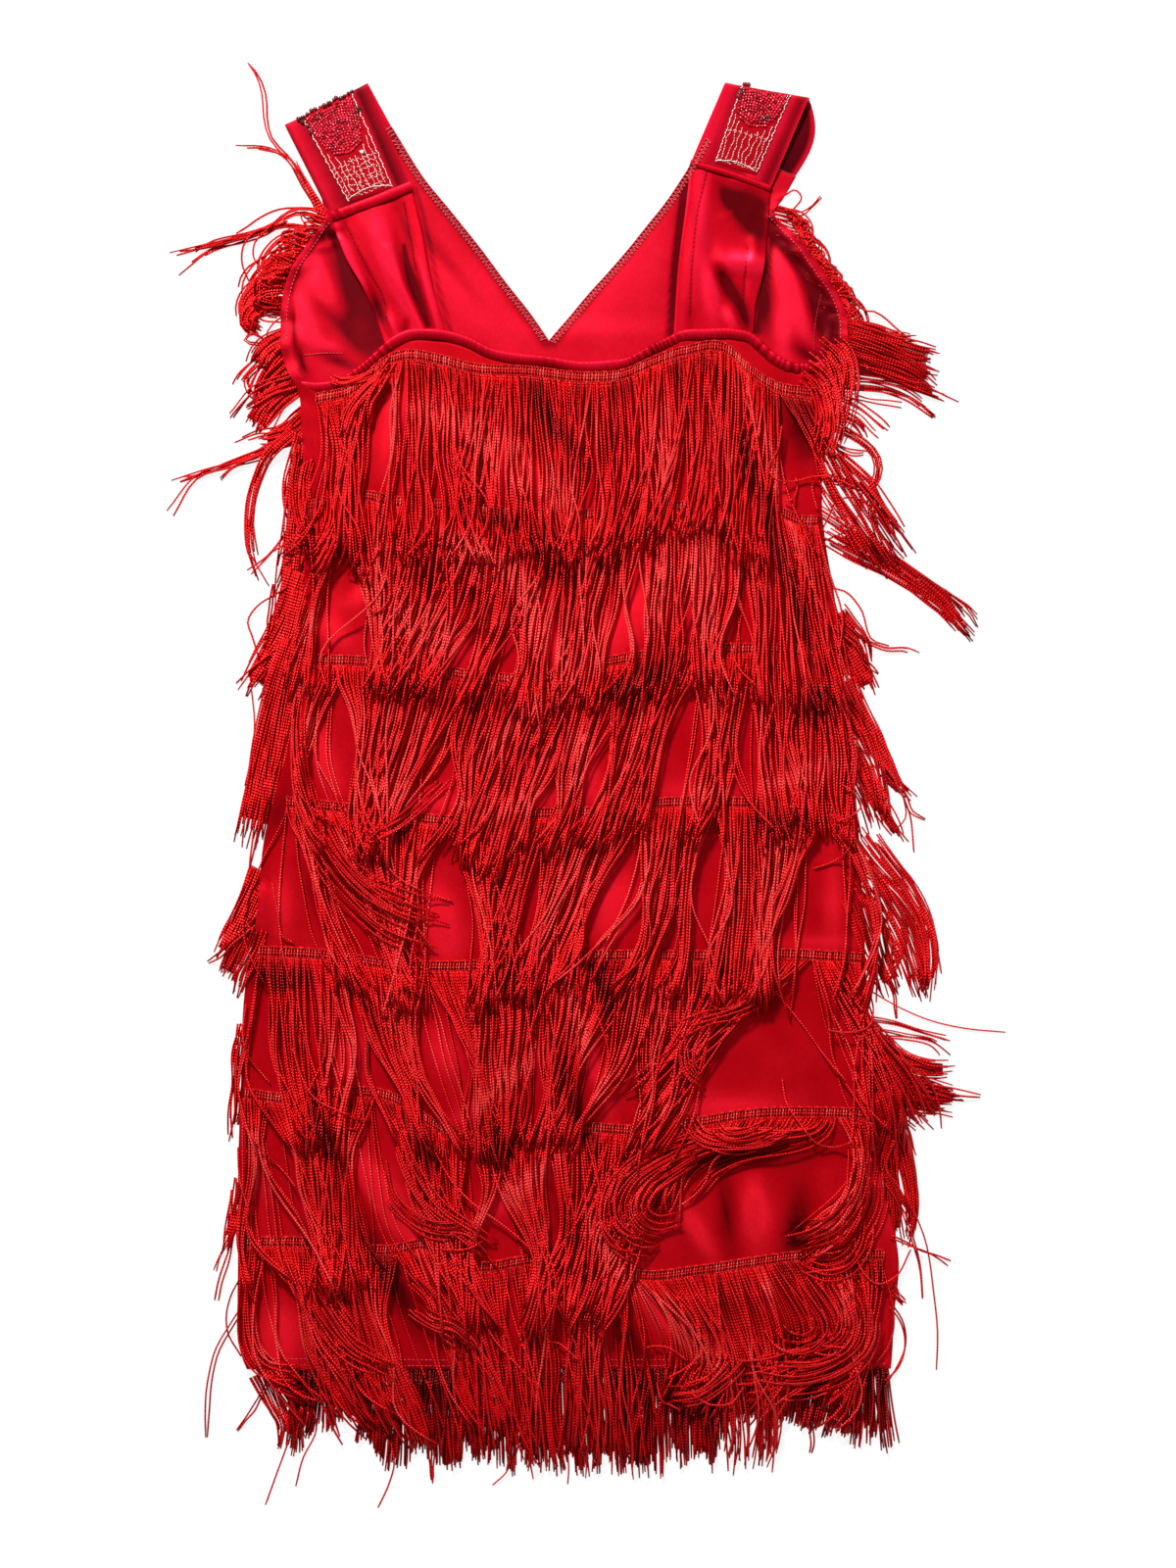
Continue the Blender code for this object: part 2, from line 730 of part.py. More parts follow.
def shoulder_piece(name, bands, ground, satin):
    """A wide band from the strap's seam down to the casing, drawn into soft lengthwise folds."""
    places = []
    for band in bands:
        for j in range(SHOULDER_ACROSS + 1):
            share = j / SHOULDER_ACROSS
            x = band.left_x + (band.right_x - band.left_x) * share
            y = band.left_y + (band.right_y - band.left_y) * share
            if band is bands[-1]:
                y = neck_y(x) + SHOULDER_TUCK * CASING_WIDTH / STEP
            places.append((x, y))
    lower = settled(places, len(bands) - 1, SHOULDER_ACROSS, ground, SHOULDER_FOLDS)
    faces = grid_faces(len(bands) - 1, SHOULDER_ACROSS)
    solid = wall(lower, raised(lower, SHOULDER_WALL), faces)
    ground.add(*solid)
    make(name, *solid, satin)


def back_neck_casing(ground, satin):
    """Narrow casing over the back's upper edge, crinkled where its elastic draws it in."""
    stations, crinkles = [], []
    x = NECK_LINE[0][0] + 1.0
    while x < NECK_LINE[-1][0]:
        puckered = any(a < x < b for a, b in PUCKERED)
        stations.append(x)
        crinkles.append((len(stations) % 2) * PUCKER_DEPTH if puckered else 0.0)
        x += PUCKER_STRETCH if puckered else PLAIN_STRETCH
    edges = []
    for x in stations:
        slope = (neck_y(x + 1) - neck_y(x - 1)) / 2
        width = CASING_WIDTH / STEP * min(math.hypot(1, slope), 1.35)
        edges.append((place(x, neck_y(x)), place(x, neck_y(x) + width)))
    needs = []
    for i in range(len(stations) - 1):
        for t in np.linspace(0.0, 1.0, 9):
            (a0, b0), (a1, b1) = edges[i], edges[i + 1]
            a, b = a0 + (a1 - a0) * t, b0 + (b1 - b0) * t
            across = [a + (b - a) * s for s in np.linspace(0.0, 1.0, 7)]
            needs.append((i, t, ground.height(across) + LAID_GAP))
    base = above(needs, [(FRONT_WALL + GAP, False)] * len(stations))
    rings = []
    for (a, b), low, crinkle in zip(edges, base, crinkles):
        tall = CASING_HEIGHT * (1 - crinkle)
        rings.append([(*(a + (b - a) * s), low + tall * h) for s, h in CASING_SECTION])
    solid = tube(rings)
    ground.add(*solid)
    make("back_neck_casing", *solid, satin)


def strap_sheet(strap):
    """Outer and inner points of a folded strap: near leg, round fold, and far leg underneath."""
    outer_radius = strap.inner_gap / 2 + STRAP_WALL
    middle_radius = strap.inner_gap / 2 + STRAP_WALL / 2
    seam, fold, far = (np.array([place(*p) for p in ends]) for ends in (strap.seam, strap.fold, strap.far))
    near_length = np.linalg.norm(seam.mean(axis=0) - fold.mean(axis=0))
    far_length = np.linalg.norm(far.mean(axis=0) - fold.mean(axis=0))
    seam_height = FRONT_WALL + GAP + STRAP_WALL / 2
    fold_height = STRAP_WALL * 1.5 + strap.inner_gap
    stations = []  # distance from the fold, height, outward normal, share of the far leg
    for share in (1.0, 0.75, 0.5, 0.25, outer_radius / near_length):
        height = fold_height + (seam_height - fold_height) * share ** 1.5
        stations.append((near_length * share, height, (0.0, 1.0), 0.0))
    for angle in np.radians([30, 60, 90, 120, 150]):
        distance = outer_radius - middle_radius * math.sin(angle)
        height = outer_radius + middle_radius * math.cos(angle)
        stations.append((distance, height, (-math.sin(angle), math.cos(angle)), angle / math.pi))
    for distance in (outer_radius, far_length / 2, far_length):
        stations.append((distance, STRAP_WALL / 2, (0.0, -1.0), 1.0))
    outer, inner = [], []
    for distance, height, normal, leg in stations:
        for j in range(STRAP_ACROSS + 1):
            u = j / STRAP_ACROSS
            start = fold[0] + (fold[1] - fold[0]) * u
            near_way = (seam[0] + (seam[1] - seam[0]) * u - start) / near_length
            far_way = (far[0] + (far[1] - far[0]) * u - start) / far_length
            way = near_way * (1 - leg) + far_way * leg
            bulge = strap.bulge * u * leg * math.sin(math.pi * min(distance / far_length, 1.0))
            for points, half in ((outer, 0.5), (inner, -0.5)):
                d = distance + normal[0] * STRAP_WALL * half
                spot = start + way * d + np.array([bulge, 0.0])
                points.append((*spot, height + normal[1] * STRAP_WALL * half))
    return outer, inner, len(stations) - 1


def strap(name, shape, ground, satin):
    """A doubled strap, folded at the shoulder."""
    outer, inner, down = strap_sheet(shape)
    solid = wall(inner, outer, grid_faces(down, STRAP_ACROSS))
    ground.add(*solid)
    make(name, *solid, satin)


def bead_trim(name, shape, span, ground, beads):
    """Beaded patch on a strap's near leg: a lattice, and above it a raised fan of beads."""
    places, heights = [], []
    for i in range(TRIM_DOWN + 1):
        down = TRIM_LENGTH[0] + (TRIM_LENGTH[1] - TRIM_LENGTH[0]) * i / TRIM_DOWN
        for j in range(TRIM_ACROSS + 1):
            u = span[0] + (span[1] - span[0]) * j / TRIM_ACROSS
            top = np.array(shape.fold[0]) * (1 - u) + np.array(shape.fold[1]) * u
            end = np.array(shape.seam[0]) * (1 - u) + np.array(shape.seam[1]) * u
            places.append(tuple(top * (1 - down) + end * down))
            fan = 0 < j < TRIM_ACROSS and FAN_LENGTH[0] < down < FAN_LENGTH[1]
            heights.append(BEADS_HEIGHT if fan else LATTICE_HEIGHT)
    lower = settled(places, TRIM_DOWN, TRIM_ACROSS, ground, [])
    upper = [(x, y, z + height) for (x, y, z), height in zip(lower, heights)]
    solid = wall(lower, upper, grid_faces(TRIM_DOWN, TRIM_ACROSS))
    ground.add(*solid)
    make(name, *solid, beads)


def directions(spots):
    """Unit vectors across a path, at its points after the first."""
    found = []
    for i in range(1, len(spots)):
        ahead = spots[min(i + 1, len(spots) - 1)] - spots[i - 1]
        ahead = ahead / np.linalg.norm(ahead)
        found.append(np.array([-ahead[1], ahead[0]]))
    return found


def fringe(name, tape, paths, widths, shape, ground, material):
    """A tape with a lock hanging from each of its lengths, as one closed solid.

    Each path starts in the middle of a lock's root, on the tape's outer edge. A lock settles on
    what is below it, and that includes the locks laid before it.
    """
    count = len(paths)
    inner, outer, base, height = tape
    points = [(*p, z) for p, z in zip(outer, base)]
    points += [(*p, z) for p, z in zip(inner, base)]
    points += [(*p, z + height) for p, z in zip(inner, base)]
    top = [len(points) + i for i in range(count + 2)]
    points.append((*outer[0], base[0] + height))
    for k in range(count):
        points.append((*((outer[k] + outer[k + 1]) / 2), (base[k] + base[k + 1]) / 2 + height))
    points.append((*outer[count], base[count] + height))
    b = list(range(count + 1))
    u = [count + 1 + i for i in range(count + 1)]
    v = [2 * count + 2 + i for i in range(count + 1)]
    faces = [(top[0], b[0], u[0], v[0]), (top[count + 1], v[count], u[count], b[count])]
    for k in range(count):
        faces.append((b[k], b[k + 1], u[k + 1], u[k]))
        faces.append((u[k], u[k + 1], v[k + 1], v[k]))
        faces.append((v[k], v[k + 1], top[k + 1]))
    for k in range(count + 1):
        faces.append((v[k], top[k + 1], top[k]))
        faces.append((top[k], top[k + 1], b[k]))
    faces = split(faces)
    so_far = Ground()
    so_far.pieces = list(ground.pieces)
    for k in reversed(range(count)):
        path = paths[k]
        across = directions(path)
        if np.dot(across[0], outer[k + 1] - outer[k]) < 0:
            across = [-way for way in across]
        root_height = (base[k] + base[k + 1]) / 2
        lows = lock_heights(path, across, widths[k], root_height, so_far)
        corners = [(b[k], b[k + 1], top[k + 1])]
        for spot, way, width, tall, low in zip(path[1:], across, widths[k], shape.heights, lows[1:]):
            corners.append(tuple(range(len(points), len(points) + 3)))
            left, right = spot - way * width / 2, spot + way * width / 2
            points += [(*left, low), (*right, low), (*spot, low + tall)]
        own = [corners[-1]]
        for one, two in zip(corners, corners[1:]):
            own += [(one[i], one[(i + 1) % 3], two[(i + 1) % 3], two[i]) for i in range(3)]
        own = split(own)
        faces += own
        so_far.add(points, own)
    ground.add(points, faces)
    make(name, points, faces, material)


def lock_heights(path, across, widths, root_height, ground):
    """Heights at which a lock lies on what is below it."""
    full = [widths[0]] + list(widths)
    ways = [across[0]] + list(across)
    needs = []
    for i in range(len(path) - 1):
        for t in np.linspace(0.4 if i == 0 else 0.0, 1.0, 13):
            spot = path[i] + (path[i + 1] - path[i]) * t
            way = ways[i] + (ways[i + 1] - ways[i]) * t
            half = (full[i] + (full[i + 1] - full[i]) * t) / 2
            places = [spot + way * half * s for s in np.linspace(-1.0, 1.0, 7)]
            needs.append((i, t, ground.height(places) + LAID_GAP))
    start = [(root_height, True)] + [(FLOOR_GAP, False)] * (len(path) - 1)
    return above(needs, start)


def parted(paths, least, turn):
    """The paths moved so that none crosses or comes too near the one before it.

    turn is +1 where each path lies to the left of the one before it, seen along it, or -1.
    """
    done = [paths[0]]
    for path in paths[1:]:
        path = list(path)
        before = done[-1]
        for _ in range(12):
            for i in range(len(path) - 1):
                for t in (0.35, 0.7, 1.0):
                    spot = path[i] + (path[i + 1] - path[i]) * t
                    short = crowding(spot, before, least, turn)
                    path[i + 1] = path[i + 1] + short
                    if i > 0:
                        path[i] = path[i] + short * (1 - t)
        done.append(path)
    return done


def crowding(spot, path, least, turn):
    """How far, and which way, a place must move to keep its distance on its side of a path."""
    best = None
    for a, b in zip(path, path[1:]):
        ahead = b - a
        along = np.dot(spot - a, ahead) / np.dot(ahead, ahead)
        t = np.clip(along, 0.0, 1.0)
        distance = np.linalg.norm(spot - a - ahead * t)
        if best is None or distance < best[0]:
            side = turn * np.array([-ahead[1], ahead[0]]) / np.linalg.norm(ahead)
            inside = 0.0 <= along <= 1.0 or a is not path[0] and b is not path[-1]
            best = (distance, np.dot(spot - a - ahead * t, side), side, inside)
    _, found, side, inside = best
    if found >= least or not inside:
        return np.zeros(2)
    return side * (least - found)


def leaning_path(root, guide, length, shares):
    """Places along a lock whose lean goes from its root's through its middle's to its tip's."""
    steps = 24
    s = (np.arange(steps) + 0.5) / steps
    root_part, middle_part = 2 * (s - 0.5) * (s - 1), -4 * s * (s - 1)
    tip_part = 2 * s * (s - 0.5)
    lean = np.radians(guide[0] * root_part + guide[1] * middle_part + guide[2] * tip_part)
    xs = np.concatenate([[0.0], np.cumsum(np.sin(lean))]) * length / steps
    ys = np.concatenate([[0.0], np.cumsum(-np.cos(lean))]) * length / steps
    at = np.arange(steps + 1) / steps
    places = [root] + [root + np.array([np.interp(t, at, xs), np.interp(t, at, ys)]) for t in shares]
    return places


def room(paths, number, station):
    """Distance from one lock's point to the nearest of its neighbours' paths."""
    spot = paths[number][station]
    nearest = math.inf
    for other in (number - 1, number + 1):
        if not 0 <= other < len(paths):
            continue
        for a, b in zip(paths[other], paths[other][1:]):
            t = np.clip(np.dot(spot - a, b - a) / max(np.dot(b - a, b - a), 1e-9), 0, 1)
            nearest = min(nearest, np.linalg.norm(spot - a - (b - a) * t))
    return nearest


def lock_widths(paths, pitch, shape):
    """Width of each lock at each of its points, as its neighbours leave room."""
    least = 0.8 * LEAST_ROOM * pitch
    return [
        [share * min(pitch, max(room(paths, number, station), least))
         for station, share in enumerate(shape.widths, 1)]
        for number in range(len(paths))
    ]


def guide_at(guides, x):
    """The guides' values at a place along the tape."""
    at = [guide[0] for guide in guides]
    return [np.interp(x, at, [guide[i] for guide in guides]) for i in range(1, len(guides[0]))]


def tape_heights(inner, outer, ground):
    """Heights at which a tape lies on what is below it, and just ahead of its lower edge."""
    needs = []
    for i in range(len(inner) - 1):
        for t in np.linspace(0.0, 1.0, 9):
            a = inner[i] + (inner[i + 1] - inner[i]) * t
            b = outer[i] + (outer[i + 1] - outer[i]) * t
            places = [a + (b - a) * s for s in (0.0, 0.25, 0.5, 0.75, 1.0, 1.5, 2.0)]
            needs.append((i, t, ground.height(places) + LAID_GAP))
    heights = above(needs, [(FLOOR_GAP, False)] * len(inner))
    for i in list(range(1, len(heights))) + list(range(len(heights) - 2, -1, -1)):
        beside_it = heights[max(i - 1, 0):i + 2]
        heights[i] = max(heights[i], max(beside_it) - STEEPEST_TAPE)
    return heights


def back_fringe(name, row, ground, thread):
    """One row of the back's fringe, laid on the panel and on the row below."""
    xs = np.linspace(row.header[0][0], row.header[-1][0], row.locks + 1)
    inner = [place(x, smooth(row.header, x)) for x in xs]
    outer = [p - np.array([0.0, TAPE_WIDTH]) for p in inner]
    base = tape_heights(inner, outer, ground)
    paths = []
    for k in range(row.locks):
        guide = guide_at(row.guides, (xs[k] + xs[k + 1]) / 2)
        root = (outer[k] + outer[k + 1]) / 2
        paths.append(leaning_path(root, guide, STRAND_LENGTH, BACK_LOCK.shares))
    pitch = (xs[1] - xs[0]) * STEP
    paths = parted(paths, LEAST_ROOM * pitch, 1)
    widths = lock_widths(paths, pitch, BACK_LOCK)
    tape = Tape(inner, outer, base, TAPE_HEIGHT)
    fringe(name, tape, paths, widths, BACK_LOCK, ground, thread)


def hem_fringe(name, ground, thread):
    """The front's last row, which shows past the hem. Its strip lies outside the front's wall."""
    xs = np.linspace(HEM_FRINGE[0].x, HEM_FRINGE[-1].x, HEM_LOCKS + 1)
    hem = SIDES[-1].y
    inner = [place(x, hem) - np.array([0.0, EDGE_GAP]) for x in xs]
    outer = [p - np.array([0.0, EDGE_TAPE_WIDTH]) for p in inner]
    paths = []
    for k in range(HEM_LOCKS):
        *lean, length = guide_at(HEM_FRINGE, (xs[k] + xs[k + 1]) / 2)
        root = (outer[k] + outer[k + 1]) / 2
        paths.append(leaning_path(root, lean, length - EDGE_TAPE_WIDTH, HEM_LOCK.shares))
    pitch = (xs[1] - xs[0]) * STEP
    paths = parted(paths, LEAST_ROOM * pitch, 1)
    widths = lock_widths(paths, pitch, HEM_LOCK)
    tape = Tape(inner, outer, [FLOOR_GAP] * len(xs), EDGE_TAPE_HEIGHT)
    fringe(name, tape, paths, widths, HEM_LOCK, ground, thread)


def front_edge(side):
    """The front's outline on one side, from the hem up to the strap, as places in millimetres."""
    flaps = FLAP_LEFT if side == "left" else FLAP_RIGHT
    edge = [place(side_x(side, y), y) for y in reversed(FRONT_ROWS_Y[1:])]
    return edge + [place(flap.outer_x, flap.outer_y) for flap in flaps]


def beside(side, heights):
    """Places beside the front's edge at these heights, just clear of it between them too."""
    edge = front_edge(side)
    edge_y = [p[1] for p in edge]
    out = -1.0 if side == "left" else 1.0
    edge_out = [p[0] * out for p in edge]
    needs = []
    for i in range(len(heights) - 1):
        for t in np.linspace(0, 1, 9):
            y = heights[i] + (heights[i + 1] - heights[i]) * t
            needs.append((i, t, np.interp(y, edge_y, edge_out) + EDGE_GAP))
    nearest = min(need for _, _, need in needs)
    reach = above(needs, [(nearest, False)] * len(heights))
    return [np.array([out * value, y]) for value, y in zip(reach, heights)]


def kept_outside(path, widths, side):
    """The path moved outward where its lock would run into the front's edge."""
    edge = front_edge(side)
    edge_y = [p[1] for p in edge]
    out = -1.0 if side == "left" else 1.0
    edge_out = [p[0] * out for p in edge]
    full = [widths[0]] + list(widths)
    needs = []
    for i in range(len(path) - 1):
        for t in np.linspace(0.4 if i == 0 else 0.0, 1.0, 6):
            y = path[i][1] + (path[i + 1][1] - path[i][1]) * t
            half = 0.55 * (full[i] + (full[i + 1] - full[i]) * t)
            needs.append((i, t, np.interp(y, edge_y, edge_out) + GAP + half))
    start = [(p[0] * out, number == 0) for number, p in enumerate(path)]
    return [np.array([out * value, p[1]]) for value, p in zip(above(needs, start), path)]


def edge_fringe(name, roots, tufts, ground, thread):
    """Tufts of the front's fringe on a narrow strip beside the front's edge."""
    side = "left" if "left" in name else "right"
    heights = [place(0, y)[1] for y in roots]
    inner = beside(side, heights)
    out = np.array([-1.0 if side == "left" else 1.0, 0.0])
    outer = [p + out * EDGE_TAPE_WIDTH for p in inner]
    paths = []
    for k, tuft in enumerate(tufts):
        root = (outer[k] + outer[k + 1]) / 2
        middle, tip = place(tuft.mid_x, tuft.mid_y), place(tuft.tip_x, tuft.tip_y)
        bend = 2 * middle - (root + tip) / 2
        shares = TUFT_LOCK.shares
        curve = [root * (1 - t) ** 2 + 2 * bend * t * (1 - t) + tip * t * t for t in shares]
        reach = max(abs(heights[k] - heights[k + 1]) * 0.9, abs(curve[0][0] - root[0]))
        curve[0][0] = root[0] + out[0] * reach
        curve[0][1] = root[1] + np.clip(curve[0][1] - root[1], -0.5 * reach, 0.8 * reach)
        paths.append([root] + curve)
    pitch = abs(heights[0] - heights[-1]) / len(tufts)
    thin = [share * 1.3 * LEAST_TUFT_ROOM * pitch for share in TUFT_LOCK.widths]
    paths = [kept_outside(path, thin, side) for path in paths]
    paths = parted(paths[::-1], LEAST_TUFT_ROOM * pitch, out[0])[::-1]
    widths = lock_widths(paths, pitch, TUFT_LOCK)
    tape = Tape(inner, outer, [FLOOR_GAP] * len(roots), EDGE_TAPE_HEIGHT)
    fringe(name, tape, paths, widths, TUFT_LOCK, ground, thread)


def build():
    clear_scene()
    satin = cloth("red_satin", (0.62, 0.005, 0.02), 0.35)
    thread = cloth("red_chainette", (0.50, 0.008, 0.012), 0.45)
    beads = cloth("red_beads", (0.40, 0.01, 0.02), 0.25)
    ground = Ground()
    front_panel(ground, satin)
    back_panel(ground, satin)
    shoulder_piece("shoulder_piece_left", SHOULDER_LEFT, ground, satin)
    shoulder_piece("shoulder_piece_right", SHOULDER_RIGHT, ground, satin)
    back_neck_casing(ground, satin)
    for side, shape in (("left", STRAP_LEFT), ("right", STRAP_RIGHT)):
        strap(f"strap_{side}", shape, ground, satin)
        bead_trim(f"bead_trim_{side}", shape, TRIM_SPAN[side], ground, beads)
    hem_fringe("fringe_front_hem", ground, thread)
    for name, (roots, tufts) in EDGE_FRINGE.items():
        edge_fringe(name, roots, tufts, ground, thread)
    for number in range(len(FRINGE_ROWS), 0, -1):
        back_fringe(f"fringe_back_{number}", FRINGE_ROWS[number - 1], ground, thread)


build()
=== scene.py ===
"""Looks of a flapper dress that lies flat, front down, so that its back faces up.

Satin sheets, folded straps, beaded trims and seven rows of chainette fringe stand for the plain
solids of the frame. Sheets take their heights from those solids, and what lies on something asks
a relief map for the height of what is already there, so pieces are made in the order in which
they lie.

Sizes are in millimetres. Places in the tables are steps of a drafting chart, x to the right and y
down towards the hem, and angles are degrees from straight down, towards +x.
"""

import json
import math
from collections import namedtuple

import bmesh
import bpy
import numpy as np
from mathutils import Vector
from mathutils.bvhtree import BVHTree
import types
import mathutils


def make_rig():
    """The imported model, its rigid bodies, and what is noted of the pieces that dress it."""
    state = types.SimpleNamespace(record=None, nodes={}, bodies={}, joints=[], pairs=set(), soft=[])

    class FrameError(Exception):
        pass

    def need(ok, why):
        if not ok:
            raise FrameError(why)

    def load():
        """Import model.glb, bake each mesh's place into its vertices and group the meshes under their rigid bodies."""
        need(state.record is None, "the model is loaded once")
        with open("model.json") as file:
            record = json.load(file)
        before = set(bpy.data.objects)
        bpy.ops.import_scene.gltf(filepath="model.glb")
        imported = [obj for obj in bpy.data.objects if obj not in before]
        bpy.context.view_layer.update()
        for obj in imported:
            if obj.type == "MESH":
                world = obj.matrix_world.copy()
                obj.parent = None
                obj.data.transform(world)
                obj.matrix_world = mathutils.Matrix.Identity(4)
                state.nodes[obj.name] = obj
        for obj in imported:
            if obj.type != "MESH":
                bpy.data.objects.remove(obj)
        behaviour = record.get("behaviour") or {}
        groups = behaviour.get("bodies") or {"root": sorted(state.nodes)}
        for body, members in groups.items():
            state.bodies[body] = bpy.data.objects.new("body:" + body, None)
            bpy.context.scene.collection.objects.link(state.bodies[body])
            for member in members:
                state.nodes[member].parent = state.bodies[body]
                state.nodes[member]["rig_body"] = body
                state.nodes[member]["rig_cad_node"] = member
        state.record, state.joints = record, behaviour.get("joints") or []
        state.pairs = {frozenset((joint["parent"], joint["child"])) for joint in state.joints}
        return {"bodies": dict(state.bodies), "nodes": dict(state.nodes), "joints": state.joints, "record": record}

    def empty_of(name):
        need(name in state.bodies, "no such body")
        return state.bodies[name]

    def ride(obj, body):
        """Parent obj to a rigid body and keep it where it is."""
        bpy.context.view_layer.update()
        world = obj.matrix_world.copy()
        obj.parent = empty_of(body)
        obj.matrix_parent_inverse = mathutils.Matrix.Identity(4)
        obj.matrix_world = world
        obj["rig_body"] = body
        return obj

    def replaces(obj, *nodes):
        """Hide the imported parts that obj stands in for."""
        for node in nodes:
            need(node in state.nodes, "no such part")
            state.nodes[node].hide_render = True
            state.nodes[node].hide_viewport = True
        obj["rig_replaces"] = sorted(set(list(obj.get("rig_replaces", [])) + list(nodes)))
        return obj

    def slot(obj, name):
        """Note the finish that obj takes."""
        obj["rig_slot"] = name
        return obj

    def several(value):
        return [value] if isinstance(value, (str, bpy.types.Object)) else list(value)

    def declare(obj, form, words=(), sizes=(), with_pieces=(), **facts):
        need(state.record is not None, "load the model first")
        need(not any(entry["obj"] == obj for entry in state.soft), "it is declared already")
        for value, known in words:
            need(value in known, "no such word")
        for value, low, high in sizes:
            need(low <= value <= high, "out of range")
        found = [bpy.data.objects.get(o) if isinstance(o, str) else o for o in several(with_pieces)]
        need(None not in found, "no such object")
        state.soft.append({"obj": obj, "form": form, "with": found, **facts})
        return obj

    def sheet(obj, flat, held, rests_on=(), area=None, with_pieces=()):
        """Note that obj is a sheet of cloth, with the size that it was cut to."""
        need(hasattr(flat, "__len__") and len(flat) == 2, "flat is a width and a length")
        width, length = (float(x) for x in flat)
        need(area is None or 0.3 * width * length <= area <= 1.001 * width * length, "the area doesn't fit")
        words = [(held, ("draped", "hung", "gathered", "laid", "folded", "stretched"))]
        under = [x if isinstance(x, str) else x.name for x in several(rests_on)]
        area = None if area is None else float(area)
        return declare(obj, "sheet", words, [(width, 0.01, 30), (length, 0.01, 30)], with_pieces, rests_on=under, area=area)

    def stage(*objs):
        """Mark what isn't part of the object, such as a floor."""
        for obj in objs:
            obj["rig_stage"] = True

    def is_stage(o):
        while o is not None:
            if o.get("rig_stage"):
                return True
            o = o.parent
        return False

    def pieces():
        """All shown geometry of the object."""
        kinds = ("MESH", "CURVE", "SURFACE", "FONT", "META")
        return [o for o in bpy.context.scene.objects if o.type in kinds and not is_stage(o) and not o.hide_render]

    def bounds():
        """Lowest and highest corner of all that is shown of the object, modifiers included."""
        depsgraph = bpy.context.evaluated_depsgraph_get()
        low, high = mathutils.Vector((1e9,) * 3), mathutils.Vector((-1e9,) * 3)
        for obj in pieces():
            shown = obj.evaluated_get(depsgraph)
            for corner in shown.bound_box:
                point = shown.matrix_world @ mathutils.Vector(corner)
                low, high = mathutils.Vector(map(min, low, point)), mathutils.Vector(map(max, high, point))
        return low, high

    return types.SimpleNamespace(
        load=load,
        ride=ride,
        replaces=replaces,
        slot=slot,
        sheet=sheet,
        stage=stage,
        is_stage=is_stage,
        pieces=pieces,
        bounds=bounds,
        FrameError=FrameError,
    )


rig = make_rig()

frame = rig.load()
cad_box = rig.bounds()

# Driving sizes
DRESS_LENGTH = 952.0  # top of the shoulder fold to the hem
CHART_LENGTH = 1313  # the same length in chart steps
STEP = DRESS_LENGTH / CHART_LENGTH
CHART_ORIGIN = (595, 791)  # chart place under the middle of the dress, fringe and all
MM = 0.001
STRAND_LENGTH = 137.0  # six-inch fringe, less its header
STRAND_RADIUS = 0.9
STRAND_STEPS = 19  # places along a hanging thread
WISP_STEPS = 16  # along a thread of a loose bunch
HEM_STEPS = 11  # along a thread past the hem
LOOSE_END = 0.75  # share of its radius that a hanging thread keeps at its end
TUCK = 14  # chart steps that a bunch reaches back under the body
TWIST = 2.2  # length of one turn of a thread
TAPE_WIDTH = 8.0
TAPE_STITCH = 2.15  # from one bar of a tape to the next
FULL_BUNCH = 12  # threads from which a bunch has a mat beneath it
STRAP_WALL = 1.5
STRAP_HALF = 1.0  # half of the room that a strap takes in height
STRAP_SEAM_HEIGHT = 2.85  # of its middle
STRAP_TURN = (12, 168)  # degrees of its fold
STRAP_FLOOR = 0.05  # lowest place of a strap
STRAP_WAVE = 0.12
BINDING_AT = 0.035  # place of the bound edge, as a share of the strap's width
BINDING_HALF = 0.03
BINDING_RISE = 0.25
SHADED_STATIONS = 27  # last stations of a strap, beneath its fold
CASING_WIDTH = 7.2
CASING_HEIGHT = 3.4
CASING_STEPS = 520  # places along it
CASING_DRAW = 0.12  # share of its width that a pucker takes
PUCKER_FADE = 8  # chart steps
PUCKER_PITCH = 5.0  # chart steps
PUCKER_LEAST = 0.12  # depth outside the puckered stretches
PUCKER_MORE = 0.6  # and what is added inside them
CASING_SOLID = 3.2  # height of the solid that the casing stands for
BEAD_LOWEST = 3.6  # middle of the lowest drop bead
BEAD_PITCH = 2.05  # from one seed bead to the next
RING_PITCH = 2.0
FAN_HALF = math.radians(70)  # half of the fan's turn
FAN_WIDTH = 0.48  # its half width, as a share of the trim's width
FAN_FOOT = 0.04  # how far it reaches below its apex, as a share of the trim's length
SEED_RADIUS = 1.0
SEED_SPREAD = 0.2
SEED_JITTER = 0.12
DARK_SEEDS = 0.15  # share of the seed beads
DROP_RADII = (1.4, 2.1)
DROP_JITTER = 0.2
METAL_SHARE = 0.8  # share of a metal thread that shows
METAL_JITTER = 0.14
METAL_SIZES = (0.75, 1.25)  # shares of its radius
LOOP_STARTS = (0, 0.88)  # shares of the armhole's edge
LOOP_SPANS = (0.04, 0.16)
LOOP_RETURNS = (-0.2, 0.6)  # how far out a loop ends, as a share of its reach
LOOP_LOFT = 2.5
LOOP_SIZES = (0.8, 1.0)  # shares of a strand's radius
LAYER_LIFT = 0.7  # how much higher each layer of a row lies
LOFT = 0.4  # loose height of a row's threads
STRAY_LIFT = 1.0
BESIDE = 1.3  # a thread also clears what lies this far beside it
BESIDE_DROP = 0.5  # less this height
SINK = 0.4  # how far a thread may sink into what it lies on
SHEET_SINK = 0.1  # and a sheet
ROW_SLACK = 3  # how often a row's threads bridge hollows
LOOSE_SLACK = 2
LOCK_WIDTHS = (9, 26)  # narrowest and widest lock
LOCK_GATHER = (0.15, 0.62)  # share of its width that it loses
LOCK_SWAY = 3.0  # degrees
LOCK_WAVE = 2.2  # size of its waves
CLUMP_WIDTHS = (0.3, 1.0)  # shares of the widest
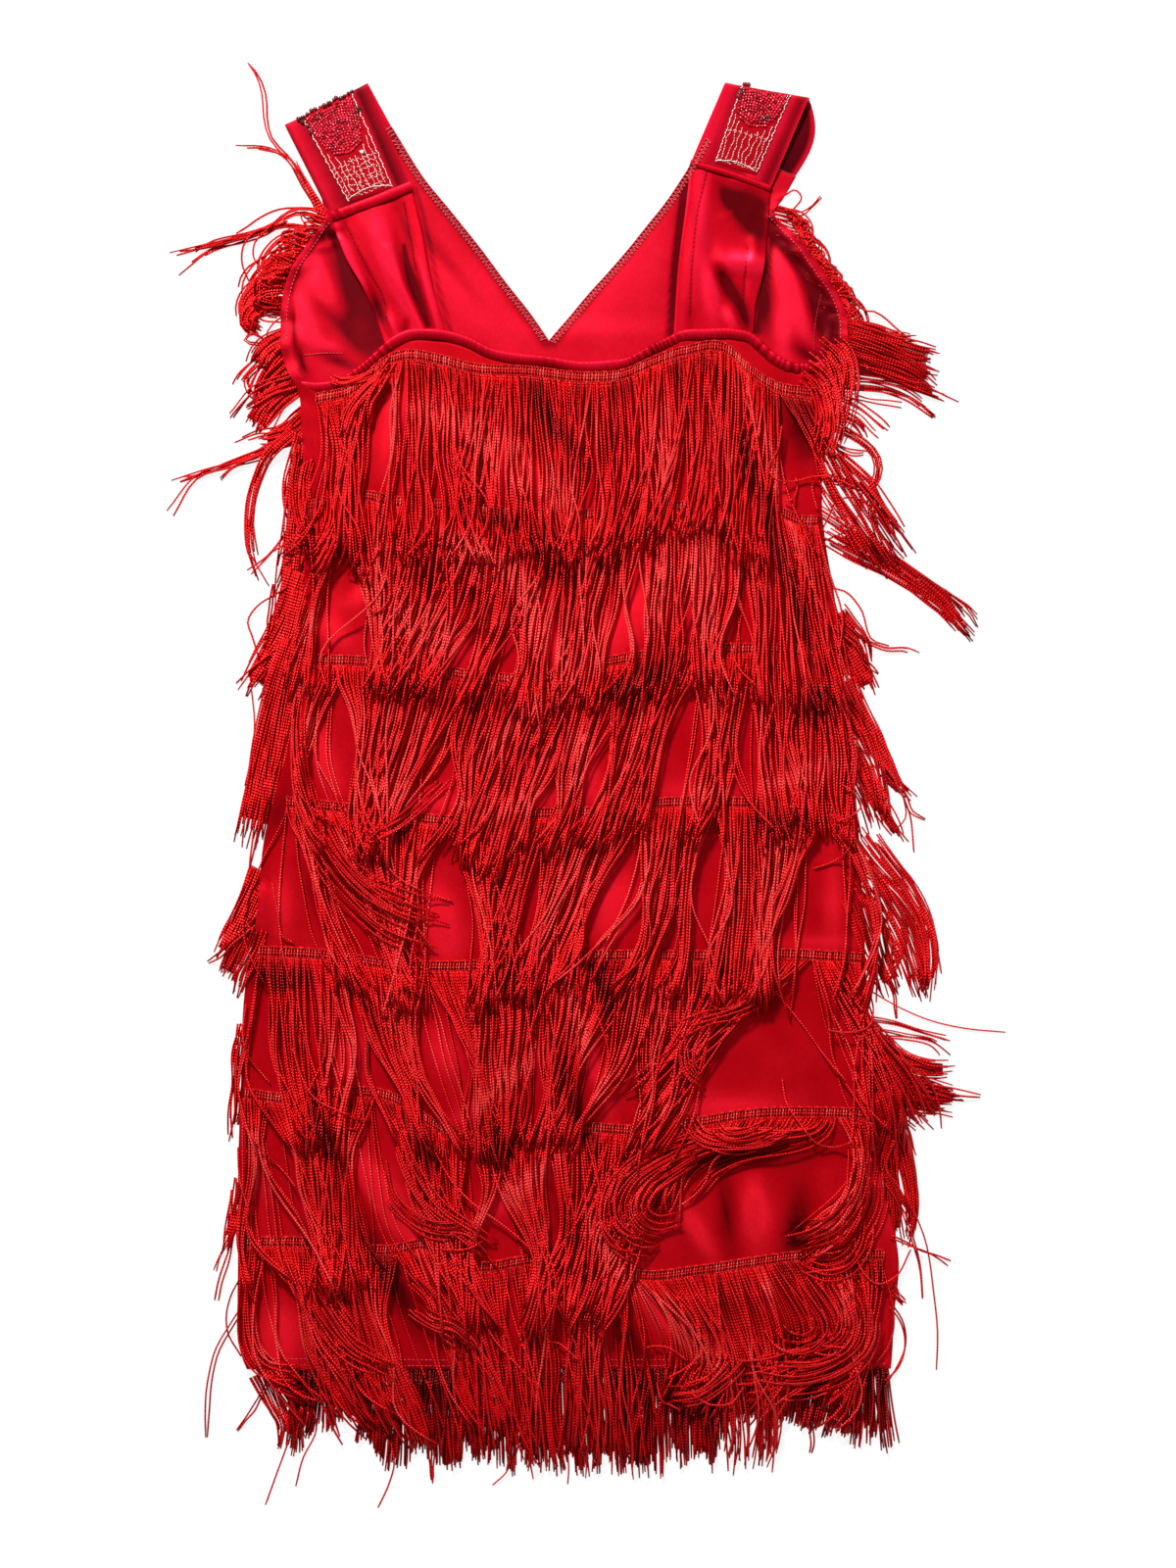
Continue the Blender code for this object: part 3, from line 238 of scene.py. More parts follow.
REACH_SPREAD = 0.035  # share of a thread's length
CLUMP_REACH = 0.02  # the same for a clump
POINTED = 0.05  # how much shorter a clump's outer threads are
STRAY_WAVE = 4  # times the waves of other threads
GATHERED_FROM = 0.55  # share of a thread from which its clump is gathered
FLARE = 0.35  # share of it that opens again at the end
FLARE_FROM = 0.7
UNPARTED = 0.08  # share of the threads that cross a parting
HELD_SHARE = 0.2  # share of a thread that the tape holds in place
ROOT_JITTER = 0.3  # share of the pitch
BUNCH_LOFT = 1.8  # loose height of a bunch
MAT_LOFT = 0.2  # and of the mat beneath it
MAT_PITCH = 1.6
MAT_SHARE = 0.8  # of the bunch's width
MAT_REACH = 0.9  # of its length
BUNCH_REACH = (0.78, 1.05)  # shares of its length that its threads have
BUNCH_SIZES = (0.8, 1.05)  # shares of a strand's radius
TIP_SPREAD = 0.10  # share of its width by which tips stray
LOOSEST = 1.5  # widest waves of a bunch
HEM_CLUMP = 13.0  # widest clump at the hem
HEM_JITTER = 0.6  # chart steps by which a root strays
HEM_POINTED = 0.2  # how much shorter a clump's outer threads are
HEM_CLUMP_REACH = (0.82, 1.08)  # shares of the guides' length, by clump
HEM_REACH = (0.95, 1.04)  # and by thread
HEM_GATHER = (0.4, 0.95)  # share of its width that a clump loses
HEM_LOFT = 0.8
HEM_TUCK = 9.0  # chart steps that its threads start above the hem
BAR_RADIUS = 0.62  # of a tape's bars
CHAIN_STEP = 0.86  # between the places of a tape's chains
BAND_STEPS = 90  # places along a turned seam
BAND_RISE = 1.1  # its height
BAND_PUCKER = 0.32  # share of it that a pucker takes
FLOOR = 0.02  # lowest place of a sheet's underside
SHEET_SHARP = 50  # edges that turn by more degrees look sharp
ROLL_SHARP = 70
SENSOR_WIDTH = 36.0
CAMERA_HEIGHT = 1.9  # metres
VIEW_CENTRE = (600, 800)  # chart place in the middle of the view
VIEW_LONG = 1600 * STEP * MM  # longer side of the view, metres
SEED = 1925

# Tones, from 0 for the darkest to 1 for the palest. Besides random differences, they carry painted shade and painted
# light
ROW_TONE = 0.46
ROW_TONES = (0.12, 0.86)  # darkest and palest thread of a row
LAYER_SHADE_STEP = 0.03  # for each layer of a row: painted shade, so that lower layers are darker
OWN_TONE = 0.07  # spread from thread to thread
# Painted light on the raised middle of each clump of threads
HUMP_LIGHT = 0.12
ROOT_SHADE = 0.18
ROOT_SHARE = 0.12  # share of a thread that is its root
TIP_SHADE = 0.08
FOLD_SHADING = 0.34  # for a millimetre of crease: painted light over the ridges and painted shade over the troughs of the satin beneath
TROUGH_SHARE = 0.6  # how much of it a trough takes
STRAY_TONE = 0.2
HEM_TONE = 0.17
HEM_ROOT_SHADE = 0.2
# Painted light towards the hem threads' tips, away from the hem's painted shade
HEM_TIP_LIGHT = 0.12
LOCK_TONE = 0.07  # spreads of locks, clumps and loose bunches
CLUMP_TONE = 0.05
BUNCH_TONE = 0.14
CASING_SHADE = 0.9  # of a pucker
BAND_SHADE = 0.5
MAT_SHADE = -0.14  # painted shade added for a mat, which lies beneath its bunch
ARCH_LIGHT = 0.08  # painted light added along a bunch's middle, where it arches highest
LOOP_TONE = 0.5
LOOP_TONE_SPREAD = 0.12
SHADED_TONE = 0.04  # of a strap beneath its fold
# Painted light on the strap's rim where it turns beneath its fold
LIT_RIM_TONE = 0.6
BAR_TONES = (0.66, 0.96)
DARKEST_THREAD = 0.02  # of a loose bunch
PALEST_THREAD = 0.82

UP = np.array([0.0, 0.0, 1.0])

Side = namedtuple("Side", "y left right")
Flap = namedtuple("Flap", "outer_x outer_y neck_x neck_y")
Crease = namedtuple("Crease", "x y turn length width height")
Fold = namedtuple("Fold", "height width points")
Band = namedtuple("Band", "left_x left_y right_x right_y")
Strap = namedtuple("Strap", "seam fold far inner_gap bulge tones")
Station = namedtuple("Station", "distance height run rise leg")
Lean = namedtuple("Lean", "x root middle tip")
Way = namedtuple("Way", "x points")
Row = namedtuple("Row", "tone header guides")
HemGuide = namedtuple("HemGuide", "x root middle tip length")
Wisp = namedtuple("Wisp", "count root_spread tip_spread points")
Loops = namedtuple("Loops", "count near far edge")
Parting = namedtuple("Parting", "x y turn length width")
Locks = namedtuple("Locks", "bounds middles gather sway wave reach tone")
Layer = namedtuple("Layer", "pitch widest gather sway wave own strays hump sides")
HemLayer = namedtuple("HemLayer", "pitch lift clump_sway own_sway gather")
Chain = namedtuple("Chain", "share swing radius tone")
Cloth = namedtuple("Cloth", "wall rounds depth clear tone stamps")
Stitch = namedtuple("Stitch", "pitch length radius tone points")
Trim = namedtuple("Trim", "corners middle apex bars courses drops gold")
SeamBand = namedtuple("SeamBand", "ends width pucker fall least")
Satin = namedtuple("Satin", "shade middle lit roughness specular weave sheen")

SIDES = [Side(*row) for row in (  # y, left, right
    (372, 291, 866), (400, 305, 859), (430, 308, 852), (460, 310, 843), (500, 310, 838),
    (560, 311, 843), (600, 312, 850), (640, 317, 855), (668, 317, 858), (700, 311, 862),
    (780, 290, 870), (850, 271, 876), (940, 262, 881), (1010, 250, 884), (1110, 246, 888),
    (1200, 243, 898), (1290, 243, 917), (1345, 243, 912), (1385, 247, 910), (1397, 252, 909),
)]
NECK_POINT_X = 560
FLAP_LEFT = [Flap(*row) for row in (  # outer x, outer y, neck x, neck y
    (287, 347, 560, 347), (287, 320, 540, 318), (292, 292, 517, 289), (304, 266, 491, 254),
    (318, 245, 472, 230), (332, 225, 455, 209), (328, 200, 430, 178), (324, 176, 399, 128),
)]
FLAP_RIGHT = [Flap(*row) for row in (  # outer x, outer y, neck x, neck y
    (864, 347, 560, 347), (863, 325, 580, 324), (857, 306, 600, 300), (840, 280, 620, 278),
    (823, 255, 640, 255), (806, 235, 660, 230), (790, 218, 680, 205), (800, 200, 700, 175),
    (812, 179, 720, 141),
)]
NECK_LINE = [  # x, y of the casing's upper edge
    (295, 385), (315, 390), (340, 388), (360, 378), (380, 362), (395, 348), (410, 339), (440, 336),
    (480, 345), (500, 355), (530, 361), (560, 364), (590, 369), (620, 368), (640, 365), (660, 355),
    (680, 345), (695, 338), (720, 336), (750, 336), (767, 340), (790, 360), (805, 369), (825, 371),
    (845, 369), (867, 374),
]
PUCKERED = [(344, 398), (636, 700), (774, 834)]  # stretches of the casing, by x
SHOULDER_LEFT = [Band(*row) for row in (  # left x, left y, right x, right y
    (337, 221, 419, 189), (345, 242, 426, 216), (355, 266, 432, 244), (369, 290, 437, 272),
    (380, 315, 444, 304), (393, 350, 455, 340),
)]
SHOULDER_RIGHT = [Band(*row) for row in (  # left x, left y, right x, right y
    (705, 168, 786, 193), (701, 205, 784, 222), (696, 242, 782, 250), (692, 276, 778, 280),
    (690, 306, 771, 309), (688, 341, 768, 341),
)]
STRAP_LEFT = Strap(  # painted light and shade lie across the strap as tones, from left to right
    seam=((336, 218), (418, 186)),
    fold=((290, 127), (375, 84)),
    far=((323.6, 175.2), (398.6, 127.2)),
    inner_gap=2.4,
    bulge=0.0,
    tones=[(0.0, 0.2), (0.05, 0.7), (0.16, 0.5), (0.24, 0.3), (0.72, 0.4), (0.76, 0.75),
           (0.82, 0.55), (0.87, 0.05), (0.93, 0.3), (1.0, 0.6)],
)
STRAP_RIGHT = Strap(
    seam=((705, 165), (787, 190)),
    fold=((740, 84), (826, 99)),
    far=((720.3, 140.2), (812.3, 178.2)),
    inner_gap=3.2,
    bulge=9.0,
    tones=[(0.0, 0.85), (0.1, 0.75), (0.18, 0.5), (0.62, 0.5), (0.7, 0.8), (0.84, 0.65),
           (0.93, 0.2), (1.0, 0.8)],
)

# Crease heights also set tone: painted light on ridges and painted shade in troughs
FRONT_CREASES = [Crease(*row) for row in (  # x, y, turn, length, width, height
    (326, 286, 26, 80, 26, 2.4), (306, 318, 8, 80, 22, 1.6), (364, 298, 22, 120, 40, -2.4),
    (366, 340, 30, 60, 34, -2.2), (340, 324, 46, 60, 18, -1.2), (318, 340, 20, 50, 18, 1.8),
    (334, 352, 78, 30, 12, 1.4), (345, 368, 70, 50, 14, -1.6), (306, 372, 10, 30, 14, -1.0),
    (298, 330, 4, 120, 8, -1.2), (452, 262, 40, 150, 16, -0.9), (806, 296, 20, 120, 22, 2.8),
    (800, 340, 6, 60, 20, 1.6), (780, 300, 4, 90, 20, -2.2), (790, 236, 30, 60, 14, -1.6),
    (842, 330, 24, 96, 30, -2.6), (828, 362, 60, 50, 20, -2.0), (862, 350, 20, 50, 10, 1.4),
    (696, 262, -4, 170, 16, -2.6), (480, 300, 50, 180, 60, 0.7), (640, 290, -45, 170, 60, 0.6),
    (600, 334, 90, 160, 26, 0.8), (420, 340, -70, 60, 12, -1.0),
)]
FRONT_CREASES += [  # height, width, places; the troughs beside the shoulder pieces' edges paint the shadow that the pieces cast
    Fold(1.2, 9, [(327, 228), (312, 248), (299, 270), (292, 294), (292, 320), (295, 350), (304, 384)]),
    Fold(-1.3, 5, [(334, 234), (319, 252), (306, 272), (299, 296), (299, 320), (302, 348), (311, 378)]),
    Fold(-2.4, 9, [(334, 232), (342, 246), (352, 270), (366, 294), (377, 318), (388, 348)]),
    Fold(-1.2, 6, [(423, 190), (431, 216), (438, 246), (443, 274), (450, 306), (460, 338)]),
    Fold(-2.6, 10, [(701, 170), (697, 205), (692, 242), (688, 276), (686, 306), (684, 341)]),
    Fold(-2.6, 9, [(790, 222), (787, 250), (783, 280), (775, 309), (772, 338)]),
    Fold(1.2, 5, [(786, 216), (803, 238), (820, 258), (837, 283), (854, 308), (861, 328), (861, 347)]),
    Fold(-2.6, 20, [(780, 222), (795, 243), (812, 264), (828, 288), (843, 312), (850, 332), (850, 350)]),
    Fold(-1.2, 14, [(399, 134), (430, 184), (455, 215), (472, 236), (491, 260), (517, 295), (556, 350)]),
    Fold(-1.2, 14, [(716, 146), (698, 180), (678, 210), (658, 235), (638, 260), (600, 306), (564, 350)]),
]
SHOULDER_CREASES = [Crease(*row) for row in (  # x, y, turn, length, width, height
    (356, 262, 24, 90, 16, 1.2), (384, 316, 22, 56, 18, -2.4), (403, 292, 28, 110, 16, 1.8),
    (423, 292, 20, 110, 13, -2.2), (438, 300, 16, 84, 10, 1.8), (414, 232, 20, 70, 12, -1.0),
    (392, 238, 26, 80, 24, 1.0), (400, 330, 20, 34, 10, 1.2), (414, 334, -10, 22, 8, -1.4),
    (348, 236, 60, 30, 8, -0.8), (713, 232, -6, 180, 20, 1.3), (762, 206, 74, 58, 30, -2.4),
    (768, 226, 34, 56, 30, -2.4), (742, 200, 30, 50, 16, -1.2), (752, 212, -58, 44, 6, 0.7),
    (760, 268, 84, 62, 20, 2.4), (743, 292, 30, 60, 17, -2.8), (725, 296, 8, 66, 18, 1.9),
    (745, 326, 24, 26, 12, 1.8), (760, 322, 14, 38, 12, -1.6), (706, 326, 0, 34, 14, -0.8),
)]
SHOULDER_CREASES += [  # height, width, places
    Fold(0.9, 7, [(340, 222), (348, 242), (358, 266), (372, 290), (383, 315), (396, 350)]),
    Fold(-0.7, 4, [(352, 226), (362, 247), (375, 272), (390, 300), (398, 324)]),
    Fold(1.2, 6, [(397, 250), (411, 294), (430, 334)]),
    Fold(-1.6, 6, [(412, 250), (419, 290), (437, 332)]),
    Fold(-0.8, 3, [(412, 206), (419, 245), (424, 275)]),
    Fold(-0.8, 4, [(722, 172), (712, 215), (706, 270), (704, 322)]),
    Fold(-0.8, 4, [(763, 252), (760, 280), (758, 310)]),
    Fold(1.0, 6, [(748, 182), (766, 186), (782, 192)]),
]
# Besides the back's folds, these creases paint light on ridges and shade in troughs, on its satin and on the threads
# over it
BACK_CREASES = [Crease(*row) for row in (  # x, y, turn, length, width, height
    (570, 440, 34, 118, 24, -2.6), (620, 462, -27, 60, 18, -1.4), (510, 530, 75, 96, 30, -2.0),
    (566, 586, 40, 78, 32, -2.6), (462, 604, 72, 124, 26, -2.2), (764, 470, 19, 190, 24, -2.6),
    (815, 620, 17, 180, 26, -2.4), (815, 438, 20, 110, 40, -1.8), (318, 560, 5, 120, 16, -1.4),
    (368, 560, -15, 112, 16, -1.4), (652, 696, -58, 120, 42, -2.2), (478, 730, -42, 86, 20, -1.6),
    (550, 758, -49, 106, 18, -1.8), (828, 722, 30, 76, 50, -2.0), (410, 706, 82, 120, 28, -1.4),
    (800, 838, 94, 136, 32, -1.6), (404, 850, 80, 70, 26, -1.4), (282, 832, -20, 70, 30, -1.4),
    (286, 1000, 88, 84, 32, -2.0), (328, 930, 22, 96, 13, -1.8), (380, 1036, 28, 124, 16, -2.2),
    (436, 1172, 25, 104, 28, -2.4), (334, 1160, 24, 150, 26, -2.6), (402, 1310, 28, 150, 28, -2.6),
    (512, 1168, 0, 60, 52, -1.8), (617, 1014, 20, 104, 20, -2.2), (586, 1125, 18, 160, 18, -2.2),
    (580, 1252, 22, 84, 22, -2.2), (755, 1178, 95, 190, 30, -2.2), (812, 1255, -8, 96, 32, -2.6),
    (741, 1236, 4, 100, 18, -2.0), (756, 1330, 0, 60, 40, -1.8), (778, 1022, 90, 56, 26, -1.6),
    (530, 992, 90, 66, 32, -1.6), (648, 1374, 20, 78, 24, -2.0), (806, 1364, 60, 80, 32, -1.8),
    (262, 1134, 60, 60, 24, -1.4), (445, 425, 70, 84, 40, 1.8), (400, 436, -10, 110, 18, 2.0),
    (536, 482, 52, 150, 44, 2.2), (492, 566, 60, 124, 26, 2.2), (554, 642, 30, 104, 32, 2.4),
    (440, 648, 62, 94, 40, 2.2), (338, 645, 50, 70, 34, 2.0), (374, 604, -60, 64, 18, 1.8),
    (642, 636, -40, 144, 48, 2.2), (680, 470, -2, 150, 22, 1.8), (716, 604, 5, 160, 32, 2.0),
    (792, 490, 18, 230, 15, 2.4), (598, 780, 15, 88, 28, 2.2), (432, 815, 80, 112, 32, 2.0),
    (546, 818, -70, 84, 32, 1.8), (520, 746, -45, 120, 14, 1.8), (712, 810, 90, 84, 26, 1.6),
    (822, 790, -70, 104, 30, 1.8), (326, 764, 20, 106, 26, 2.2), (450, 942, 10, 94, 40, 2.4),
    (628, 924, -20, 84, 40, 2.2), (356, 1080, 0, 66, 40, 2.0), (455, 1076, 20, 66, 30, 1.8),
    (510, 1108, -50, 144, 26, 2.2), (602, 1074, 18, 144, 18, 2.6), (392, 1222, 35, 154, 34, 2.8),
    (526, 1214, -50, 124, 28, 2.2), (740, 1132, 90, 160, 28, 1.8), (622, 1276, 32, 80, 22, 2.2),
    (688, 1350, 44, 150, 32, 2.8), (770, 1234, 0, 70, 26, 3.2), (782, 1310, 14, 60, 22, 1.8),
    (712, 1256, 30, 74, 20, 2.2), (862, 1234, -38, 96, 24, 2.6), (896, 1222, 20, 90, 18, 1.8),
    (868, 1344, 10, 94, 26, 2.2), (286, 1364, 0, 70, 52, 2.2), (840, 962, 90, 116, 16, 1.4),
    (850, 920, 0, 110, 24, 1.4), (288, 925, 0, 80, 24, 1.6), (262, 1180, 10, 110, 18, 1.6),
)]

FRINGE_ROWS = [  # two guides a tenth of a step apart part a row: its threads turn two ways there
    Row(
        tone=-0.02,
        header=[(322, 402), (360, 392), (395, 363), (410, 358), (450, 362), (480, 370), (540, 374),
                (600, 380), (640, 376), (660, 367), (700, 353), (745, 353), (765, 372), (790, 388),
                (830, 396)],
        guides=[
            Lean(322, 30, 5, -25), Lean(360, -10, -5, 0), Lean(374, -25, -10, 0), Lean(376, -30, -12, -4),
            Lean(394, -25, -10, 0), Lean(400, 2, 0, 0), Lean(450, 0, 0, 0), Lean(520, -2, 0, 2),
            Lean(560, 2, 4, 6), Lean(600, 2, -2, -8), Lean(650, 6, -4, -22), Lean(700, 4, 0, -5),
            Lean(745, -2, -3, -5), Lean(775, 2, -2, -4), Lean(790, 0, 0, 0), Lean(796, 15, 28, 36),
            Lean(830, 15, 35, 45),
        ],
    ),
    Row(
        tone=0.05,
        header=[(314, 512), (380, 501), (395, 505), (430, 508), (530, 518), (595, 520), (690, 512),
                (780, 510), (820, 526), (836, 526)],
        guides=[
            Lean(314, 10, -5, -25), Lean(345, -15, -8, -2), Lean(372, 4, 4, 4), Lean(395, -10, 0, 8),
            Lean(440, -5, -10, -18), Lean(500, -2, -10, -22), Lean(560, -5, -10, -18),
            Lean(620, -8, -12, -14), Lean(660, -2, -8, -16), Lean(700, 0, -2, -8), Lean(750, 0, 0, -3),
            Lean(790, 8, 5, 2), Lean(820, 6, 12, 18), Lean(836, 12, 16, 20),
        ],
    ),
    Row(
        tone=0.05,
        header=[(322, 668), (378, 670), (495, 685), (545, 688), (610, 672), (690, 660), (790, 657),
                (852, 661)],
        guides=[
            Lean(322, -10, 5, 30), Lean(350, -10, 5, 28), Lean(378, -6, 0, 10), Lean(420, -8, -10, -14),
            Lean(460, -15, -20, -20), Lean(500, -15, -19, -20), Lean(550, -14, -18, -19),
            Lean(610, -18, -20, -22), Lean(650, -12, -20, -25), Lean(690, -12, -14, -14),
            Lean(720, -5, -7, -10), Lean(760, -3, -3, -3), Lean(800, 2, 4, 8), Lean(852, 10, 5, -15),
        ],
    ),
    Row(
        tone=0.05,
        header=[(292, 813), (341, 818), (415, 828), (455, 832), (545, 825), (620, 822), (665, 815),
                (740, 813), (800, 816), (868, 822)],
        guides=[
            Lean(292, -5, 0, 10), Lean(318, 0, 12, 36), Lean(341, 15, 24, 32), Lean(380, 5, 10, 18),
            Lean(420, -2, 4, 16), Lean(470, 2, -3, -10), Lean(520, -8, -8, -5), Lean(570, -12, -15, -15),
            Lean(620, -15, -18, -20), Lean(665, -10, -18, -26), Lean(700, -4, -10, -22),
            Lean(740, -2, -4, -8), Lean(780, 8, 0, -14), Lean(815, 0, -6, -16), Lean(868, 10, 0, -20),
        ],
    ),
    Row(
        tone=0.00,
        header=[(264, 965), (320, 968), (413, 980), (480, 980), (600, 970), (730, 970), (790, 968),
                (879, 972)],
        guides=[
            Lean(264, -4, 8, 35), Lean(300, 4, 8, 16), Lean(340, 10, 2, -12), Lean(365, 15, 24, 32),
            Lean(413, 8, 16, 26), Lean(500, 8, 2, -8), Lean(560, -2, -8, -18), Lean(600, -8, -14, -20),
            Lean(640, -15, -18, -22), Lean(680, 0, -15, -32), Lean(730, -10, -25, -42),
            Way(780, [(780, 980), (768, 1002), (738, 1032), (704, 1064), (676, 1098), (655, 1128)]),
            Way(828, [(828, 985), (806, 1002), (768, 1030), (730, 1062), (700, 1096), (680, 1126)]),
            Lean(828.1, 6, 16, 20), Lean(846, 22, 40, 30), Lean(862, 16, 14, 2), Lean(879, 8, 4, -4),
        ],
    ),
    Row(
        tone=0.00,
        header=[(249, 1110), (282, 1115), (408, 1118), (450, 1146), (600, 1145), (655, 1148),
                (710, 1140), (760, 1132), (884, 1130)],
        guides=[
            Lean(249, 0, 3, 10), Lean(282, 8, 14, 22), Lean(340, 4, 2, -2), Lean(380, 8, 16, 28),
            Lean(430, 10, 18, 30), Lean(470, 4, 8, 14), Lean(530, 4, 0, -6), Lean(590, 2, -6, -22),
            Lean(640, -8, -14, -16), Lean(684, -15, -24, -24),
            Way(700, [(700, 1152), (690, 1164), (668, 1178), (640, 1192), (612, 1214), (594, 1244),
                      (588, 1270)]),
            Way(730, [(730, 1149), (724, 1160), (702, 1170), (670, 1182), (642, 1200), (622, 1228),
                      (614, 1256)]),
            Way(765, [(765, 1143), (760, 1156), (730, 1165), (694, 1176), (668, 1196), (654, 1224),
                      (662, 1252)]),
            Way(808, [(808, 1142), (800, 1156), (765, 1165), (722, 1172), (692, 1190), (682, 1216),
                      (664, 1242)]),
            Way(853, [(853, 1142), (852, 1153), (834, 1162), (794, 1169), (750, 1173), (712, 1182),
                      (684, 1200)]),
            Way(853.1, [(853.1, 1142), (864, 1168), (862, 1200), (850, 1228), (832, 1250), (806, 1268)]),
            Way(884, [(884, 1142), (888, 1170), (884, 1205), (872, 1236), (850, 1262), (826, 1286)]),
        ],
    ),
    Row(
        tone=-0.06,
        header=[(248, 1262), (305, 1262), (400, 1270), (435, 1264), (480, 1286), (548, 1280),
                (600, 1282), (655, 1296), (720, 1290), (800, 1278), (903, 1275)],
        guides=[
            Way(248, [(248, 1272), (245, 1310), (245, 1352), (252, 1386), (270, 1408), (302, 1420)]),
            Lean(300, 4, 14, 35), Lean(360, 12, 18, 24), Lean(410, 14, 16, 10), Lean(460, 10, 11, 12),
            Lean(520, 5, 6, 6), Lean(580, 2, 3, 3), Lean(636, 2, 4, 8),
            Way(650, [(650, 1307), (668, 1324), (690, 1350), (704, 1378), (708, 1404), (700, 1436)]),
            Way(700, [(700, 1304), (716, 1330), (732, 1358), (738, 1384), (726, 1402), (706, 1424)]),
            Lean(716, 12, 10, -10), Lean(760, 15, 14, -12),
            Way(790, [(790, 1291), (806, 1320), (822, 1350), (818, 1380), (790, 1394), (756, 1402)]),
            Way(846, [(846, 1288), (862, 1318), (872, 1350), (862, 1382), (830, 1400), (790, 1412)]),
            Lean(846.1, 12, 6, -16),
            Way(903, [(903, 1288), (900, 1320), (892, 1350), (878, 1376), (856, 1394), (830, 1406)]),
        ],
    ),
]
# Where the threads part and show the satin or the tape beneath.
PARTINGS = [Parting(*row) for row in (  # x, y, turn, length, width
    (388, 455, -12, 130, 24), (382, 512, 0, 40, 22), (446, 510, -4, 44, 14), (494, 516, -8, 40, 12),
    (604, 516, -4, 60, 20), (694, 510, 0, 60, 12), (815, 480, 18, 110, 34), (350, 632, 14, 90, 46),
    (352, 668, 0, 40, 48), (470, 640, 14, 60, 12), (512, 684, 10, 34, 34), (566, 640, 18, 70, 14),
    (632, 668, 4, 50, 32), (648, 612, 6, 80, 18), (702, 640, 0, 70, 12), (752, 662, 0, 60, 34),
    (340, 768, 14, 100, 48), (326, 812, 0, 36, 38), (440, 800, -14, 60, 18), (440, 828, 0, 32, 56),
    (556, 824, -10, 30, 28), (608, 790, -16, 80, 22), (696, 760, -10, 100, 40),
    (686, 820, 0, 40, 36), (762, 764, 0, 80, 22), (752, 816, 0, 30, 24), (290, 915, 8, 110, 54),
    (292, 966, 0, 36, 66), (338, 856, 20, 90, 16), (452, 925, 4, 120, 48), (450, 981, 0, 40, 68),
    (540, 930, -14, 70, 14), (626, 926, -14, 90, 44), (624, 972, 0, 34, 46),
    (722, 908, -4, 110, 34), (682, 970, 0, 30, 24), (846, 916, 0, 110, 50), (838, 970, 0, 36, 90),
    (266, 1060, 8, 100, 22), (266, 1114, 0, 34, 32), (384, 1116, 0, 34, 48), (352, 1086, 6, 60, 26),
    (456, 1084, 6, 110, 46), (442, 1146, 0, 30, 26), (552, 1090, -12, 80, 14),
    (604, 1100, 0, 80, 30), (624, 1146, 0, 34, 52), (678, 1100, -20, 60, 16),
    (282, 1176, 16, 110, 32), (284, 1262, 0, 34, 58), (384, 1186, 24, 150, 54),
    (412, 1268, 0, 34, 42), (486, 1216, 4, 60, 26), (514, 1284, 0, 36, 62),
    (564, 1226, -12, 80, 16), (284, 1345, 8, 110, 44), (326, 1310, 14, 70, 14),
    (420, 1350, 20, 110, 48), (524, 1350, 8, 80, 14), (570, 1366, 4, 70, 14),
    (626, 1362, 4, 90, 18), (898, 1368, 4, 80, 24),
)]
STRAYS = {  # single threads that lie across the back, by row
    1: [
        [(797, 436), (792, 462), (783, 480), (790, 490), (806, 492), (830, 487), (852, 490), (874, 500)],
        [(812, 486), (813, 500), (808, 510), (800, 512)],
        [(829, 486), (829, 500), (834, 520)],
    ],
    2: [
        [(388, 560), (376, 585), (372, 606), (384, 626), (398, 612), (396, 588)],
        [(745, 655), (752, 680), (770, 700)],
    ],
    3: [
        [(742, 752), (748, 785), (762, 815), (790, 846)],
        [(858, 800), (872, 812), (878, 822), (868, 832), (852, 838)],
    ],
    4: [
        [(388, 862), (400, 888), (426, 906), (462, 920)],
        [(856, 838), (868, 852), (862, 870), (848, 880), (830, 886)],
        [(278, 900), (284, 930), (290, 956), (300, 962)],
    ],
    5: [
        [(798, 1100), (802, 1124), (816, 1146), (838, 1168), (852, 1170), (868, 1163)],
        [(790, 1010), (822, 1050), (842, 1078), (864, 1104)],
        [(884, 1000), (890, 1030), (886, 1044), (866, 1052), (842, 1050)],
        [(251, 1024), (249, 1058), (256, 1080), (276, 1106)],
        [(300, 1068), (308, 1094), (320, 1116), (344, 1130), (360, 1136)],
    ],
    6: [
        [(246, 1122), (248, 1140), (268, 1170), (302, 1208)],
        [(244, 1170), (246, 1200), (256, 1234)],
        [(872, 1262), (876, 1290), (894, 1308), (914, 1302), (930, 1276)],
        [(884, 1284), (858, 1292), (822, 1297)],
        [(432, 1232), (452, 1252), (478, 1258), (498, 1278)],
        [(496, 1264), (476, 1272), (450, 1272)],
    ],
    7: [
        [(866, 1378), (846, 1380), (812, 1374), (786, 1382), (752, 1386)],
        [(862, 1372), (832, 1371), (806, 1378), (790, 1372)],
        [(700, 1386), (684, 1374), (660, 1373)],
        [(758, 1412), (746, 1428), (726, 1431), (704, 1418)],
        [(843, 1418), (820, 1427), (796, 1424)],
        [(670, 1410), (676, 1428), (692, 1436)],
        [(560, 1366), (576, 1372), (590, 1384)],
    ],
}
